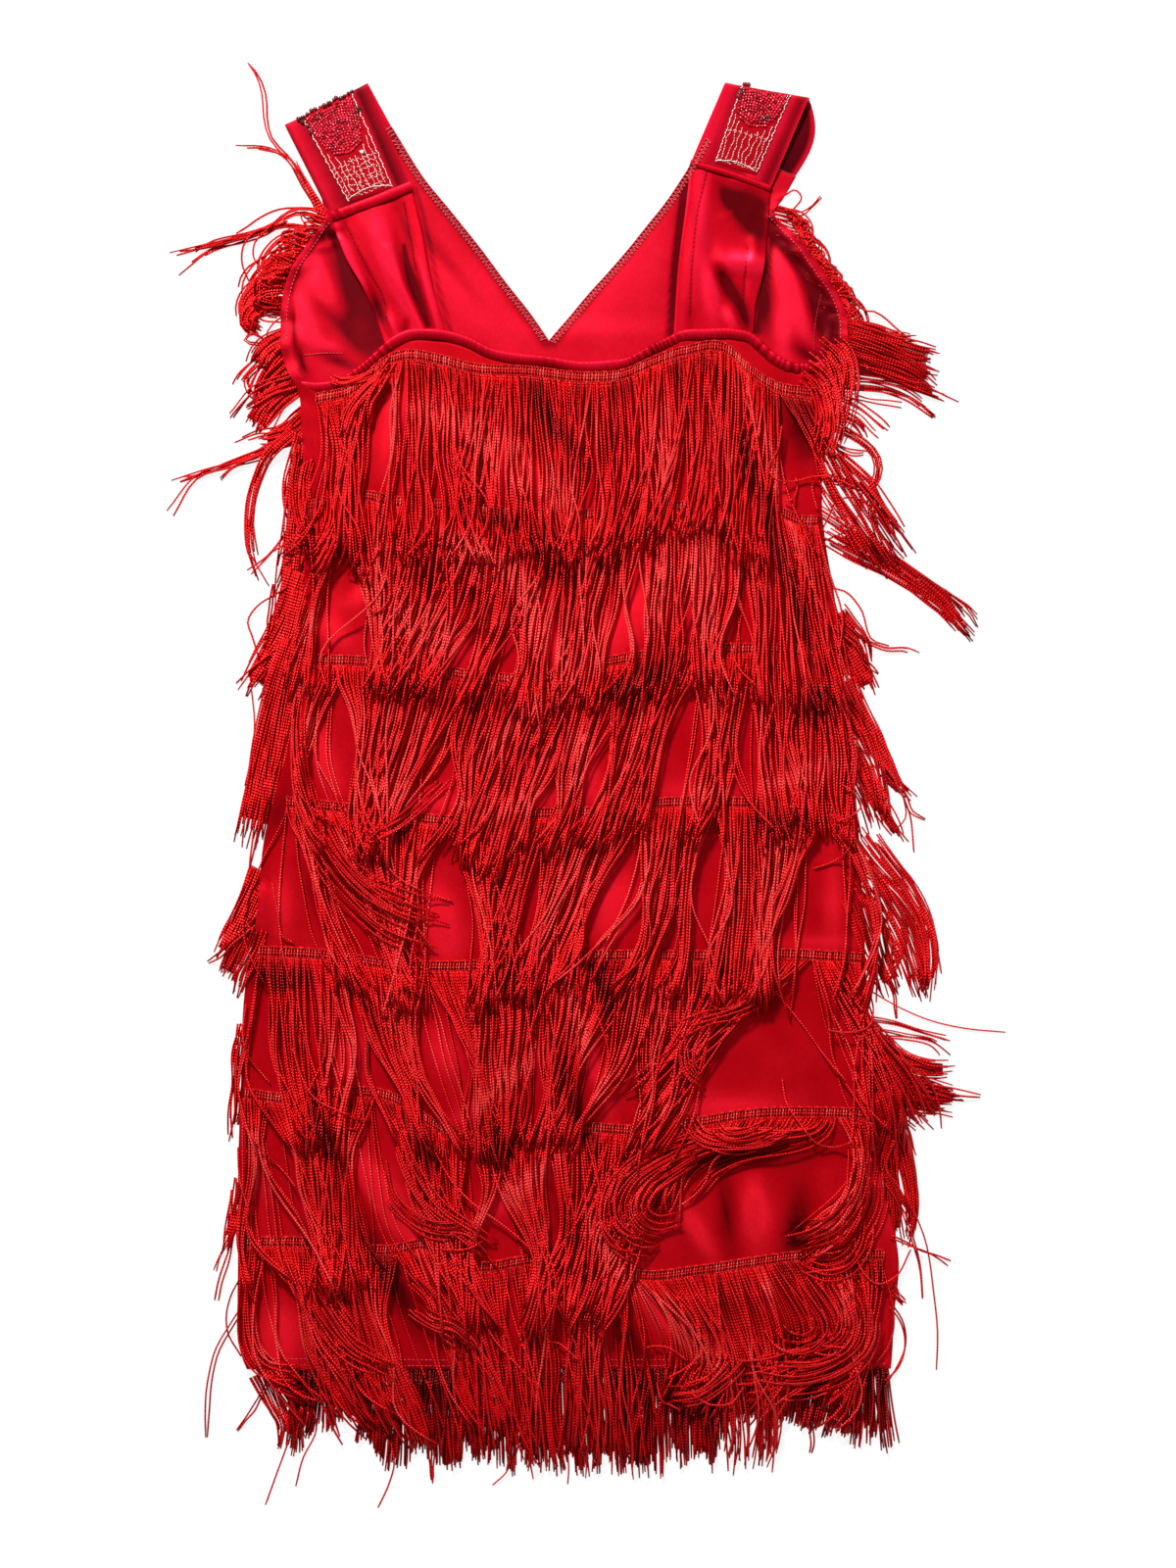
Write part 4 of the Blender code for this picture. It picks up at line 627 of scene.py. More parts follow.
CURLS = {  # bunches that curl over the rows, by row
    1: [
        Wisp(7, 9, 5, [(400, 372), (384, 380), (364, 388), (344, 390), (334, 384)]),
        Wisp(8, 12, 10, [(404, 366), (392, 384), (372, 402), (356, 424), (352, 446)]),
        Wisp(6, 10, 10, [(396, 376), (386, 396), (376, 420), (372, 446)]),
        Wisp(24, 28, 28, [(830, 350), (848, 368), (858, 392), (856, 420), (846, 446)]),
        Wisp(18, 26, 22, [(818, 374), (836, 388), (846, 412), (846, 440), (838, 464)]),
        Wisp(12, 14, 14, [(846, 346), (862, 362), (868, 386), (864, 412)]),
    ],
    3: [
        Wisp(8, 14, 12, [(312, 684), (304, 745), (312, 805), (332, 852)]),
        Wisp(4, 10, 12, [(462, 790), (430, 820), (400, 845), (372, 862)]),
    ],
    4: [
        Wisp(10, 12, 34, [(308, 818), (322, 862), (352, 906), (396, 942), (440, 958)]),
        Wisp(7, 12, 26, [(322, 820), (340, 864), (372, 900), (420, 925), (452, 938)]),
    ],
    5: [
        Wisp(7, 20, 12, [(740, 1010), (716, 1042), (700, 1070), (704, 1092), (716, 1104)]),
        Wisp(4, 12, 16, [(812, 990), (784, 1012), (752, 1030), (716, 1040), (690, 1052)]),
    ],
    6: [
        Wisp(6, 12, 14, [(298, 1108), (306, 1124), (330, 1138), (364, 1146)]),
        Wisp(8, 14, 26, [(400, 1140), (418, 1190), (448, 1236), (484, 1262), (500, 1276)]),
        Wisp(6, 12, 22, [(392, 1180), (404, 1226), (440, 1250), (486, 1250)]),
        Wisp(9, 26, 18, [(742, 1158), (700, 1166), (660, 1182), (630, 1208), (620, 1240), (634, 1268),
                         (668, 1280)]),
        Wisp(9, 20, 22, [(720, 1166), (682, 1184), (650, 1206), (638, 1232), (650, 1256), (682, 1264)]),
        Wisp(8, 16, 18, [(712, 1176), (684, 1194), (662, 1212), (654, 1232), (668, 1246), (690, 1244)]),
        Wisp(6, 16, 20, [(640, 1180), (622, 1212), (622, 1244), (640, 1262), (660, 1262)]),
        Wisp(9, 20, 14, [(806, 1150), (776, 1162), (738, 1164), (712, 1156), (702, 1142)]),
        Wisp(7, 14, 12, [(786, 1148), (760, 1156), (738, 1156), (726, 1144)]),
        Wisp(9, 26, 34, [(878, 1156), (880, 1190), (872, 1224), (852, 1248), (822, 1262)]),
        Wisp(9, 22, 30, [(892, 1190), (892, 1226), (880, 1256), (858, 1278), (836, 1280)]),
        Wisp(5, 16, 20, [(884, 1240), (880, 1270), (862, 1292), (840, 1296), (824, 1290)]),
    ],
    7: [
        Wisp(9, 26, 20, [(868, 1300), (884, 1336), (882, 1368), (856, 1392), (812, 1404), (772, 1400)]),
        Wisp(8, 22, 24, [(850, 1310), (866, 1338), (862, 1364), (834, 1380), (792, 1380)]),
        Wisp(5, 16, 20, [(830, 1330), (838, 1352), (822, 1368), (796, 1366), (786, 1350)]),
        Wisp(8, 22, 16, [(760, 1376), (740, 1400), (712, 1420), (684, 1424)]),
        Wisp(7, 14, 18, [(418, 1300), (440, 1322), (452, 1352), (476, 1372)]),
        Wisp(6, 12, 14, [(330, 1296), (346, 1330), (360, 1352), (372, 1386)]),
        Wisp(6, 20, 14, [(410, 1324), (436, 1342), (462, 1350), (484, 1370)]),
        Wisp(7, 26, 18, [(312, 1300), (336, 1346), (362, 1376), (400, 1396)]),
    ],
}
HEM_FRINGE = [HemGuide(*row) for row in (  # x, root, middle, tip, length
    (258, 35, 58, 60, 60), (284, 20, 10, -10, 84), (304, 4, -5, -12, 56), (322, 0, -5, -12, 70),
    (346, 8, 12, 14, 48), (392, 5, 0, -8, 92), (420, 5, 5, 2, 88), (500, 2, 2, 2, 94),
    (650, 1, 2, 3, 98), (730, 2, 2, 0, 90), (755, 3, 0, -3, 54), (795, 0, -5, -6, 50),
    (858, -10, -14, -16, 66), (884, 0, 0, 0, 74), (906, 2, 6, 10, 76),
)]
HEM_WISPS = [  # bunches and single threads at the hem
    Wisp(14, 26, 9, [(266, 1402), (278, 1430), (288, 1455), (286, 1476)]),
    Wisp(2, 4, 2, [(272, 1412), (256, 1440), (241, 1461)]),
    Wisp(1, 0, 0, [(296, 1466), (284, 1498), (270, 1537)]),
    Wisp(1, 0, 0, [(318, 1428), (322, 1460), (308, 1490), (301, 1518)]),
    Wisp(3, 6, 6, [(306, 1420), (312, 1440), (306, 1460), (304, 1478)]),
    Wisp(1, 0, 0, [(398, 1470), (402, 1492), (396, 1516), (385, 1540)]),
    Wisp(3, 8, 1, [(440, 1470), (440, 1500), (440, 1520)]),
    Wisp(3, 8, 3, [(336, 1420), (342, 1438), (352, 1452)]),
    Wisp(1, 0, 0, [(520, 1480), (518, 1500), (502, 1517)]),
    Wisp(1, 0, 0, [(562, 1480), (567, 1495), (568, 1508)]),
    Wisp(1, 0, 0, [(579, 1485), (580, 1500), (579, 1516)]),
    Wisp(2, 6, 4, [(752, 1440), (756, 1468), (758, 1492)]),
    Wisp(1, 0, 0, [(800, 1448), (792, 1462), (786, 1472)]),
    Wisp(2, 4, 4, [(826, 1450), (829, 1470), (828, 1484)]),
]
WISPS = {  # bunches of the front's fringe past the edges, by node
    "fringe_front_left_1": [
        Wisp(2, 5, 2, [(322, 206), (308, 185), (296, 163), (284, 150), (275, 138), (270, 120),
                       (268, 95), (262, 75), (253, 62)]),
        Wisp(3, 8, 2, [(324, 208), (308, 180), (292, 160), (272, 152), (243, 149)]),
        Wisp(9, 8, 5, [(332, 222), (322, 204), (312, 186), (302, 168)]),
        Wisp(1, 0, 0, [(330, 214), (305, 211), (285, 212), (264, 221), (250, 231), (240, 237)]),
        Wisp(5, 8, 3, [(334, 222), (310, 214), (295, 216), (280, 228), (262, 236), (240, 244),
                       (215, 252), (184, 275)]),
        Wisp(4, 5, 2, [(332, 232), (312, 231), (290, 228), (262, 238), (240, 243), (210, 250),
                       (176, 257)]),
        Wisp(1, 0, 0, [(280, 230), (258, 238), (247, 252), (246, 268), (253, 286)]),
        Wisp(1, 0, 0, [(270, 237), (259, 248), (258, 262), (268, 275)]),
        Wisp(11, 18, 14, [(324, 243), (302, 242), (286, 246), (276, 256), (270, 268), (274, 280)]),
        Wisp(11, 20, 16, [(312, 262), (288, 262), (270, 272), (258, 285), (254, 298), (262, 308)]),
        Wisp(26, 22, 14, [(300, 284), (276, 287), (260, 296), (250, 310), (251, 325), (262, 333)]),
        Wisp(22, 22, 12, [(292, 312), (274, 311), (258, 317), (252, 328), (262, 338)]),
        Wisp(12, 16, 12, [(300, 268), (280, 274), (268, 290), (266, 308)]),
    ],
    "fringe_front_left_2": [
        Wisp(2, 3, 3, [(290, 352), (264, 350), (251, 346), (256, 341), (268, 343)]),
        Wisp(4, 8, 6, [(290, 356), (268, 362), (254, 374), (246, 384), (234, 403)]),
        Wisp(3, 6, 4, [(290, 366), (262, 374), (251, 388), (257, 402), (270, 412)]),
        Wisp(18, 34, 26, [(292, 370), (278, 384), (269, 400), (268, 418)]),
        Wisp(16, 20, 20, [(290, 345), (276, 352), (266, 362), (262, 376)]),
        Wisp(24, 26, 24, [(300, 390), (284, 404), (268, 422), (258, 438)]),
        Wisp(5, 10, 5, [(300, 392), (270, 405), (246, 418)]),
        Wisp(3, 6, 8, [(296, 384), (258, 398), (240, 418), (223, 441)]),
        Wisp(3, 6, 4, [(300, 425), (284, 438), (262, 441), (238, 450)]),
        Wisp(14, 24, 14, [(306, 430), (294, 440), (280, 446), (266, 448)]),
        Wisp(5, 8, 2, [(305, 448), (275, 456), (245, 468), (215, 478), (178, 489)]),
        Wisp(2, 4, 2, [(300, 452), (270, 462), (240, 472), (205, 484), (171, 522)]),
        Wisp(3, 5, 3, [(290, 454), (262, 468), (236, 478), (222, 492)]),
        Wisp(9, 12, 4, [(292, 448), (272, 466), (259, 496), (254, 528), (254, 558), (261, 580),
                        (267, 598)]),
        Wisp(7, 12, 6, [(303, 456), (292, 488), (293, 520), (304, 550), (312, 570)]),
        Wisp(16, 22, 14, [(314, 460), (307, 492), (308, 520), (315, 545), (320, 565)]),
        Wisp(2, 3, 2, [(308, 520), (290, 545), (270, 570), (255, 585)]),
    ],
    "fringe_front_left_3": [
        Wisp(22, 28, 18, [(311, 470), (303, 520), (297, 568), (290, 608)]),
        Wisp(14, 18, 14, [(312, 540), (308, 572), (302, 604), (296, 632)]),
    ],
    "fringe_front_left_4": [
        Wisp(30, 36, 22, [(304, 598), (292, 633), (276, 664), (262, 689), (253, 706)]),
        Wisp(18, 26, 14, [(308, 618), (298, 652), (282, 684), (268, 713)]),
        Wisp(1, 0, 0, [(282, 606), (262, 618), (252, 634), (257, 650), (264, 672)]),
        Wisp(3, 6, 3, [(278, 610), (274, 640), (268, 668)]),
        Wisp(1, 0, 0, [(272, 670), (254, 684), (240, 697)]),
        Wisp(1, 0, 0, [(256, 704), (259, 740), (256, 770), (249, 802)]),
    ],
    "fringe_front_left_5": [
        Wisp(30, 36, 24, [(300, 668), (284, 716), (271, 764), (260, 812), (250, 856)]),
        Wisp(20, 24, 16, [(302, 690), (290, 750), (278, 810), (268, 860)]),
        Wisp(1, 0, 0, [(262, 852), (254, 885), (248, 905), (246, 930)]),
        Wisp(1, 0, 0, [(258, 850), (254, 890), (256, 914)]),
    ],
    "fringe_front_left_6": [
        Wisp(20, 36, 14, [(264, 903), (250, 930), (236, 955), (222, 978)]),
        Wisp(14, 26, 14, [(264, 925), (252, 950), (240, 975), (227, 1000)]),
        Wisp(12, 20, 14, [(266, 945), (257, 968), (247, 990), (240, 1015)]),
        Wisp(2, 4, 4, [(252, 948), (230, 968), (212, 983)]),
    ],
    "fringe_front_left_7": [
        Wisp(4, 8, 3, [(250, 1045), (240, 1072), (238, 1110), (235, 1142), (233, 1162)]),
        Wisp(8, 16, 8, [(248, 1060), (244, 1090), (241, 1120), (239, 1150)]),
    ],
    "fringe_front_left_8": [
        Wisp(12, 20, 6, [(246, 1198), (241, 1230), (235, 1260), (231, 1278)]),
        Wisp(2, 3, 3, [(238, 1250), (228, 1275), (217, 1297)]),
        Wisp(2, 3, 4, [(236, 1262), (231, 1288), (223, 1310), (220, 1328)]),
    ],
    "fringe_front_left_9": [
        Wisp(1, 0, 0, [(246, 1302), (234, 1325), (230, 1345), (232, 1362), (246, 1384)]),
        Wisp(2, 3, 1, [(246, 1336), (232, 1360), (218, 1385), (210, 1415), (209, 1445), (211, 1468)]),
    ],
    "fringe_front_right_1": [
        Wisp(2, 3, 2, [(804, 215), (818, 218), (828, 210), (839, 200)]),
        Wisp(1, 0, 0, [(802, 198), (812, 193), (818, 200), (812, 210), (804, 218)]),
        Wisp(7, 14, 10, [(802, 219), (815, 222), (823, 232), (820, 246), (812, 255)]),
        Wisp(6, 20, 10, [(808, 234), (822, 238), (822, 250), (814, 260)]),
        Wisp(8, 22, 12, [(816, 248), (833, 253), (841, 266), (838, 282), (832, 293)]),
        Wisp(6, 20, 10, [(828, 262), (842, 275), (848, 290), (842, 303)]),
        Wisp(6, 22, 10, [(838, 280), (852, 290), (866, 302), (862, 315), (851, 312)]),
        Wisp(8, 24, 12, [(846, 300), (864, 308), (876, 318), (880, 334), (872, 348)]),
        Wisp(9, 26, 12, [(854, 318), (870, 330), (881, 345), (876, 359), (864, 363)]),
        Wisp(1, 0, 0, [(842, 272), (860, 292), (872, 308), (880, 316), (894, 318), (906, 326),
                       (918, 337), (926, 343)]),
    ],
    "fringe_front_right_2": [
        Wisp(20, 20, 16, [(866, 336), (890, 340), (912, 346), (932, 349)]),
        Wisp(26, 26, 26, [(864, 344), (895, 352), (925, 362), (957, 370)]),
        Wisp(18, 22, 14, [(864, 354), (898, 365), (928, 376), (954, 392)]),
        Wisp(14, 14, 10, [(864, 366), (898, 378), (928, 388), (950, 399)]),
        Wisp(8, 12, 6, [(868, 378), (905, 386), (940, 396), (973, 408)]),
        Wisp(8, 12, 8, [(868, 392), (900, 395), (930, 405), (953, 421)]),
        Wisp(2, 4, 4, [(864, 402), (890, 409), (921, 412)]),
        Wisp(5, 12, 14, [(860, 410), (880, 420), (898, 436), (910, 446)]),
        Wisp(5, 10, 5, [(858, 422), (874, 432), (886, 448)]),
        Wisp(5, 8, 4, [(854, 436), (876, 448), (893, 464), (896, 482), (887, 502), (890, 534),
                       (904, 560)]),
        Wisp(3, 6, 3, [(844, 450), (866, 460), (886, 463)]),
        Wisp(8, 12, 8, [(840, 456), (866, 474), (890, 496), (906, 520), (924, 543)]),
        Wisp(8, 10, 6, [(836, 486), (862, 492), (886, 502), (904, 532), (917, 552)]),
        Wisp(1, 0, 0, [(880, 500), (878, 520), (868, 538), (842, 551)]),
        Wisp(1, 0, 0, [(845, 530), (856, 510), (872, 508), (884, 514)]),
        Wisp(4, 8, 8, [(838, 496), (846, 510), (856, 524), (866, 534)]),
    ],
    "fringe_front_right_3": [
        Wisp(38, 30, 13, [(838, 538), (868, 556), (900, 573), (935, 596), (965, 620), (988, 646)]),
        Wisp(6, 10, 4, [(846, 528), (888, 556), (930, 582), (970, 606), (990, 622), (1000, 640)]),
    ],
    "fringe_front_right_4": [
        Wisp(1, 0, 0, [(848, 600), (862, 603), (878, 620), (892, 654), (908, 659)]),
        Wisp(12, 26, 10, [(850, 622), (866, 640), (880, 655), (887, 674)]),
        Wisp(3, 4, 4, [(866, 638), (886, 654), (905, 662), (925, 662), (941, 670)]),
        Wisp(22, 36, 20, [(854, 643), (867, 665), (878, 685), (888, 707)]),
        Wisp(2, 4, 2, [(872, 660), (882, 676), (897, 687)]),
    ],
    "fringe_front_right_5": [
        Wisp(20, 42, 8, [(862, 712), (883, 745), (901, 775), (914, 798), (927, 813)]),
        Wisp(26, 50, 22, [(864, 738), (880, 775), (891, 810), (900, 846)]),
        Wisp(12, 26, 8, [(870, 775), (889, 805), (906, 835), (921, 859)]),
        Wisp(2, 3, 3, [(903, 785), (922, 812), (930, 830), (944, 838)]),
        Wisp(1, 0, 0, [(903, 782), (922, 815), (924, 835), (912, 848)]),
        Wisp(1, 0, 0, [(913, 798), (928, 830), (933, 870)]),
    ],
    "fringe_front_right_6": [
        Wisp(36, 42, 12, [(870, 846), (896, 880), (925, 914), (942, 945), (948, 985), (945, 1013)]),
        Wisp(22, 36, 16, [(872, 880), (894, 915), (915, 950), (929, 985), (938, 1016)]),
        Wisp(26, 40, 20, [(876, 908), (890, 950), (900, 985), (912, 1012)]),
        Wisp(6, 10, 4, [(904, 912), (922, 945), (920, 975), (905, 1000)]),
        Wisp(1, 0, 0, [(942, 938), (955, 965), (961, 994)]),
        Wisp(2, 4, 3, [(904, 998), (914, 1018), (916, 1040)]),
    ],
    "fringe_front_right_7": [
        Wisp(1, 0, 0, [(886, 1010), (915, 1027), (950, 1042), (985, 1050), (1027, 1054)]),
        Wisp(3, 6, 4, [(888, 1040), (915, 1045), (940, 1053), (975, 1061)]),
        Wisp(4, 8, 6, [(892, 1054), (925, 1059), (955, 1066), (967, 1076)]),
        Wisp(18, 30, 14, [(886, 1058), (918, 1082), (950, 1092), (974, 1092)]),
        Wisp(26, 40, 12, [(886, 1073), (914, 1100), (945, 1112), (980, 1118)]),
        Wisp(22, 36, 18, [(886, 1088), (909, 1115), (940, 1125), (971, 1129)]),
        Wisp(10, 18, 16, [(890, 1104), (909, 1125), (930, 1140), (947, 1154)]),
        Wisp(2, 4, 5, [(918, 1104), (960, 1110), (1001, 1120)]),
        Wisp(6, 14, 8, [(896, 1108), (909, 1130), (922, 1150), (932, 1176)]),
        Wisp(8, 12, 6, [(886, 1095), (891, 1115), (900, 1135), (906, 1152)]),
    ],
    "fringe_front_right_8": [
        Wisp(22, 26, 9, [(902, 1128), (917, 1160), (927, 1195), (932, 1235), (930, 1266)]),
        Wisp(16, 24, 14, [(892, 1128), (904, 1165), (908, 1200), (912, 1240), (915, 1270)]),
        Wisp(8, 14, 8, [(906, 1158), (899, 1190), (912, 1215), (926, 1240)]),
        Wisp(1, 0, 0, [(928, 1226), (944, 1265), (953, 1320), (957, 1360), (956, 1399)]),
        Wisp(2, 3, 2, [(926, 1250), (938, 1290), (942, 1326)]),
        Wisp(2, 3, 3, [(908, 1262), (930, 1271), (950, 1280), (969, 1291)]),
    ],
    "fringe_front_right_9": [
        Wisp(6, 10, 4, [(908, 1312), (917, 1324), (924, 1331)]),
        Wisp(2, 4, 2, [(908, 1332), (920, 1350), (924, 1375), (916, 1395), (902, 1414)]),
    ],
}
LOOPS = {  # near and far are how far the loops hang out, to the left of the way down the edge
    "fringe_front_left_1": Loops(
        count=70,
        near=-4,
        far=-22,
        edge=[(334, 224), (318, 245), (304, 266), (292, 292), (287, 320), (288, 345)],
    ),
    "fringe_front_right_1": Loops(
        count=120,
        near=2,
        far=12,
        edge=[(800, 214), (823, 255), (840, 280), (857, 306), (866, 336)],
    ),
}
LAYERS = [
    Layer(pitch=2.0, widest=12.0, gather=(0.0, 0.3), sway=0.8, wave=0.8, own=0.6, strays=0.02,
          hump=0.3, sides=3),
    Layer(pitch=2.1, widest=9.0, gather=(0.2, 0.6), sway=2.2, wave=1.6, own=0.9, strays=0.06,
          hump=0.9, sides=3),
    Layer(pitch=4.0, widest=7.0, gather=(0.4, 0.95), sway=4.2, wave=2.8, own=1.6, strays=0.14,
          hump=1.2, sides=4),
]
HEM_LAYERS = [
    HemLayer(pitch=1.4, lift=0.0, clump_sway=0.0, own_sway=0.4, gather=0.0),
    HemLayer(pitch=2.5, lift=1.2, clump_sway=2.5, own_sway=1.6, gather=0.5),
    HemLayer(pitch=3.0, lift=2.4, clump_sway=5.0, own_sway=2.8, gather=1.0),
]
TAPE_CHAINS = [
    Chain(share=0.02, swing=0.55, radius=0.6, tone=0.74),
    Chain(share=0.55, swing=0.35, radius=0.36, tone=0.66),
    Chain(share=0.92, swing=0.4, radius=0.44, tone=0.66),
]
# tone: how much painted light and shade each millimetre of crease gives a sheet
CLOTHS = {
    "front": Cloth(wall=1.0, rounds=4, depth=1.2, clear=0.05, tone=0.30, stamps=7),
    "back": Cloth(wall=1.0, rounds=14, depth=1.35, clear=0.25, tone=0.22, stamps=6),
    "shoulder": Cloth(wall=0.9, rounds=5, depth=1.2, clear=0.25, tone=0.30, stamps=5),
}
CASING_PROFILE = [  # across, up
    (0.0, -0.2), (-0.06, 0.45), (0.03, 0.85), (0.16, 1.0), (0.34, 0.9), (0.6, 0.66), (0.85, 0.42),
    (1.02, 0.2), (1.0, -0.2),
]
CASING_SHADING = [(0.0, 0.6), (0.2, 1.0), (0.45, 0.7), (1.0, 0.22)]  # across, tone: painted light on the upper rim and painted shade on the face below
SEAM_PROFILE = [
    (0.0, -0.3), (-0.05, 0.5), (0.05, 0.95), (0.25, 1.15), (0.5, 0.9), (0.8, 0.6), (1.0, 0.3),
    (1.02, -0.3),
]
# Across, tone: painted light on the seam's ridge and painted shade on its far side
SEAM_SHADING = [(0.0, 0.3), (0.25, 0.7), (0.6, 0.5), (1.0, 0.1)]
TAPE_BAR = [  # down as a share of the tape, aside, rise
    (0.05, 0.3, 0.0), (0.28, 0.2, 0.35), (0.5, 0.0, 0.45), (0.75, -0.2, 0.35), (1.05, 0.0, 0.1),
]
ARMPITS = {"left": (347, 287), "right": (347, 864)}  # y, x
FRONT_ROWS = [*np.linspace(347, 420, 19), *np.linspace(430, 1397, 32)]
TRIMS = {  # corners are upper left, upper right, lower left and lower right
    "left": Trim(
        corners=((309, 121), (359, 96), (356, 206), (401, 192)),
        middle=0.5,
        apex=0.52,
        bars=8,
        courses=7,
        drops=[(305, 122), (309, 120), (314, 117), (318, 113), (322, 111), (327, 108), (331, 108),
               (336, 106), (341, 102), (343, 100), (348, 101), (352, 99), (356, 96), (359, 94),
               (315, 129), (318, 135), (366, 111), (364, 114), (324, 121), (309, 125)],
        gold=[(369.5, 155.5)],
    ),
    "right": Trim(
        corners=((757, 88), (806, 98), (730, 166), (771, 178)),
        middle=0.45,
        apex=0.46,
        bars=8,
        courses=2,
        drops=[(757, 92), (754, 96), (760, 86), (764, 86), (753, 99), (783, 120), (779, 122)],
        gold=[],
    ),
}
SATINS = {
    "satin_face": Satin((84, 0, 4), (194, 2, 23), (246, 22, 54), 0.36, 0.8, 0.25, 0.4),
    "satin_wrong_side": Satin((80, 0, 5), (186, 5, 26), (232, 22, 50), 0.5, 0.4, 0.4, 0.12),
    "back_satin_face": Satin((76, 0, 2), (190, 2, 15), (248, 22, 42), 0.36, 0.8, 0.25, 0.4),
    "strap_satin": Satin((50, 0, 3), (156, 4, 22), (226, 16, 48), 0.42, 0.5, 0.5, 0.2),
    "trim_ground": Satin((110, 0, 8), (160, 4, 18), (186, 8, 28), 0.6, 0.3, 0.6, 0.1),
}
# Thread ramp by tone: from painted shade at the dark end, through the thread's red, to painted highlight at the pale
# end
THREAD_COLORS = [(96, 0, 0), (250, 2, 14), (255, 38, 42), (255, 104, 98)]
SEWING_COLORS = [(96, 0, 6), (206, 12, 40), (250, 90, 100), (255, 150, 150)]
SEED_BEAD_COLORS = [(120, 0, 10), (255, 44, 74)]
DARK_BEAD_COLORS = [(60, 0, 4), (120, 2, 14)]
GOLD_COLORS = [(240, 218, 200), (255, 255, 250)]
SATIN_TINT = (1.0, 0.05, 0.09, 1.0)
THREAD_TINT = (1.0, 0.2, 0.2, 1.0)
SEAM_BANDS = [  # pucker, fall and least: how deep the puckers are at the start, and how they fade
    SeamBand([(336, 217), (376, 202), (418, 185)], width=7.4, pucker=1.5, fall=2.2, least=0.1),
    SeamBand([(705, 163), (745, 174), (787, 189)], width=4.6, pucker=0.15, fall=0.0, least=0.1),
]
HEM_LINE = [(252, 1386), (400, 1388), (600, 1388), (800, 1388), (907, 1386)]
STITCHING = [
    Stitch(2.9, 1.8, 0.4, 0.75, [(row.outer_x + 6, row.outer_y) for row in FLAP_LEFT[:6]]),
    Stitch(2.9, 1.8, 0.4, 0.75, [(row.outer_x - 7, row.outer_y) for row in FLAP_RIGHT[:7]]),
    Stitch(3.4, 2.2, 0.42, 0.05, [(352, 228), (375, 275), (390, 302), (395, 328)]),
    Stitch(3.4, 2.2, 0.42, 0.05, [(412, 206), (419, 245), (424, 275)]),
    Stitch(3.4, 2.2, 0.42, 0.05, [(722, 172), (712, 215), (706, 270), (704, 322)]),
    Stitch(3.4, 2.2, 0.42, 0.05, [(763, 252), (760, 280), (758, 310)]),
    Stitch(3.2, 2.3, 0.42, 0.6, HEM_LINE),
    Stitch(3.2, 2.3, 0.42, 0.6, [(x, y + 6) for x, y in HEM_LINE]),
    Stitch(3.0, 2.4, 0.42, 0.55, [(838, 300), (833, 325), (831, 345), (831, 360)]),
    Stitch(2.6, 2.2, 0.45, 0.6, [(310, 362), (330, 360), (352, 360)]),
]
OVERLOCK_WIDTH = 5.2
OVERLOCK_PITCH = 3.0
OVERLOCK_REACH = (0.05, 0.75, 1.0, 0.45)  # how far in each of a zigzag's four places lies


# ---------------------------------------------------------------- places and paths


def smooth(table, at):
    """Value at a place of a smooth curve through the rows (place, value) of a table."""
    places, values = np.array(table, float).T
    slopes = np.gradient(values, places)
    i = np.clip(np.searchsorted(places, at) - 1, 0, len(places) - 2)
    span = places[i + 1] - places[i]
    t = np.clip((at - places[i]) / span, 0.0, 1.0)
    rise = values[i] * (1 + 2 * t) * (1 - t) ** 2 + values[i + 1] * t * t * (3 - 2 * t)
    return rise + span * (slopes[i] * t * (1 - t) ** 2 - slopes[i + 1] * t * t * (1 - t))


def lerp(start, end, share):
    return start * (1 - share) + end * share


def unit(vectors):
    """Vectors made one long."""
    return vectors / np.maximum(np.linalg.norm(vectors, axis=-1, keepdims=True), 1e-9)


def place(x, y):
    """Places of the chart in millimetres from the middle of the dress."""
    return np.stack([
        (np.asarray(x, float) - CHART_ORIGIN[0]) * STEP,
        (CHART_ORIGIN[1] - np.asarray(y, float)) * STEP,
    ], axis=-1)


def chart_of(places):
    """Places in millimetres as places of the chart."""
    return places / STEP * np.array([1, -1]) + np.array(CHART_ORIGIN)


def run_along(path):
    """How far along a path each of its points lies."""
    gaps = np.linalg.norm(np.diff(path, axis=0), axis=1)
    return np.concatenate([[0.0], np.cumsum(gaps)])


def along(path, run, at):
    """Places at distances along a path."""
    return np.stack([np.interp(at, run, values) for values in path.T], axis=-1)


def line(points, count):
    """A smooth path through places of the chart, as evenly spaced places, and its length."""
    points = place(*np.array(points, float).T)
    at = run_along(points)
    fine = np.linspace(0.0, at[-1], 12 * count)
    curve = np.stack([smooth(list(zip(at, values)), fine) for values in points.T], axis=1)
    run = run_along(curve)
    return along(curve, run, np.linspace(0.0, run[-1], count)), run[-1]


def across(paths):
    """Unit vectors across paths (n, m, 2), to their left."""
    ahead = unit(np.gradient(paths, axis=1))
    return np.stack([-ahead[..., 1], ahead[..., 0]], axis=-1)


def evened(paths):
    """Paths whose inner points are drawn towards their neighbours."""
    inner = (paths[:, :-2] + 2 * paths[:, 1:-1] + paths[:, 2:]) / 4
    return np.concatenate([paths[:, :1], inner, paths[:, -1:]], axis=1)


def raised(flat, heights):
    """Places with heights, as points."""
    heights = np.broadcast_to(heights, flat.shape[:-1])
    return np.concatenate([flat, heights[..., None]], axis=-1)


def running_mean(values, half):
    wide = 2 * half + 1
    return np.convolve(np.pad(values, half, "edge"), np.ones(wide) / wide, "valid")


def edge_x(side, y, above=()):
    """Chart x of the body's left or right edge at chart heights y."""
    return smooth([*above, *((row.y, getattr(row, side)) for row in SIDES)], y)


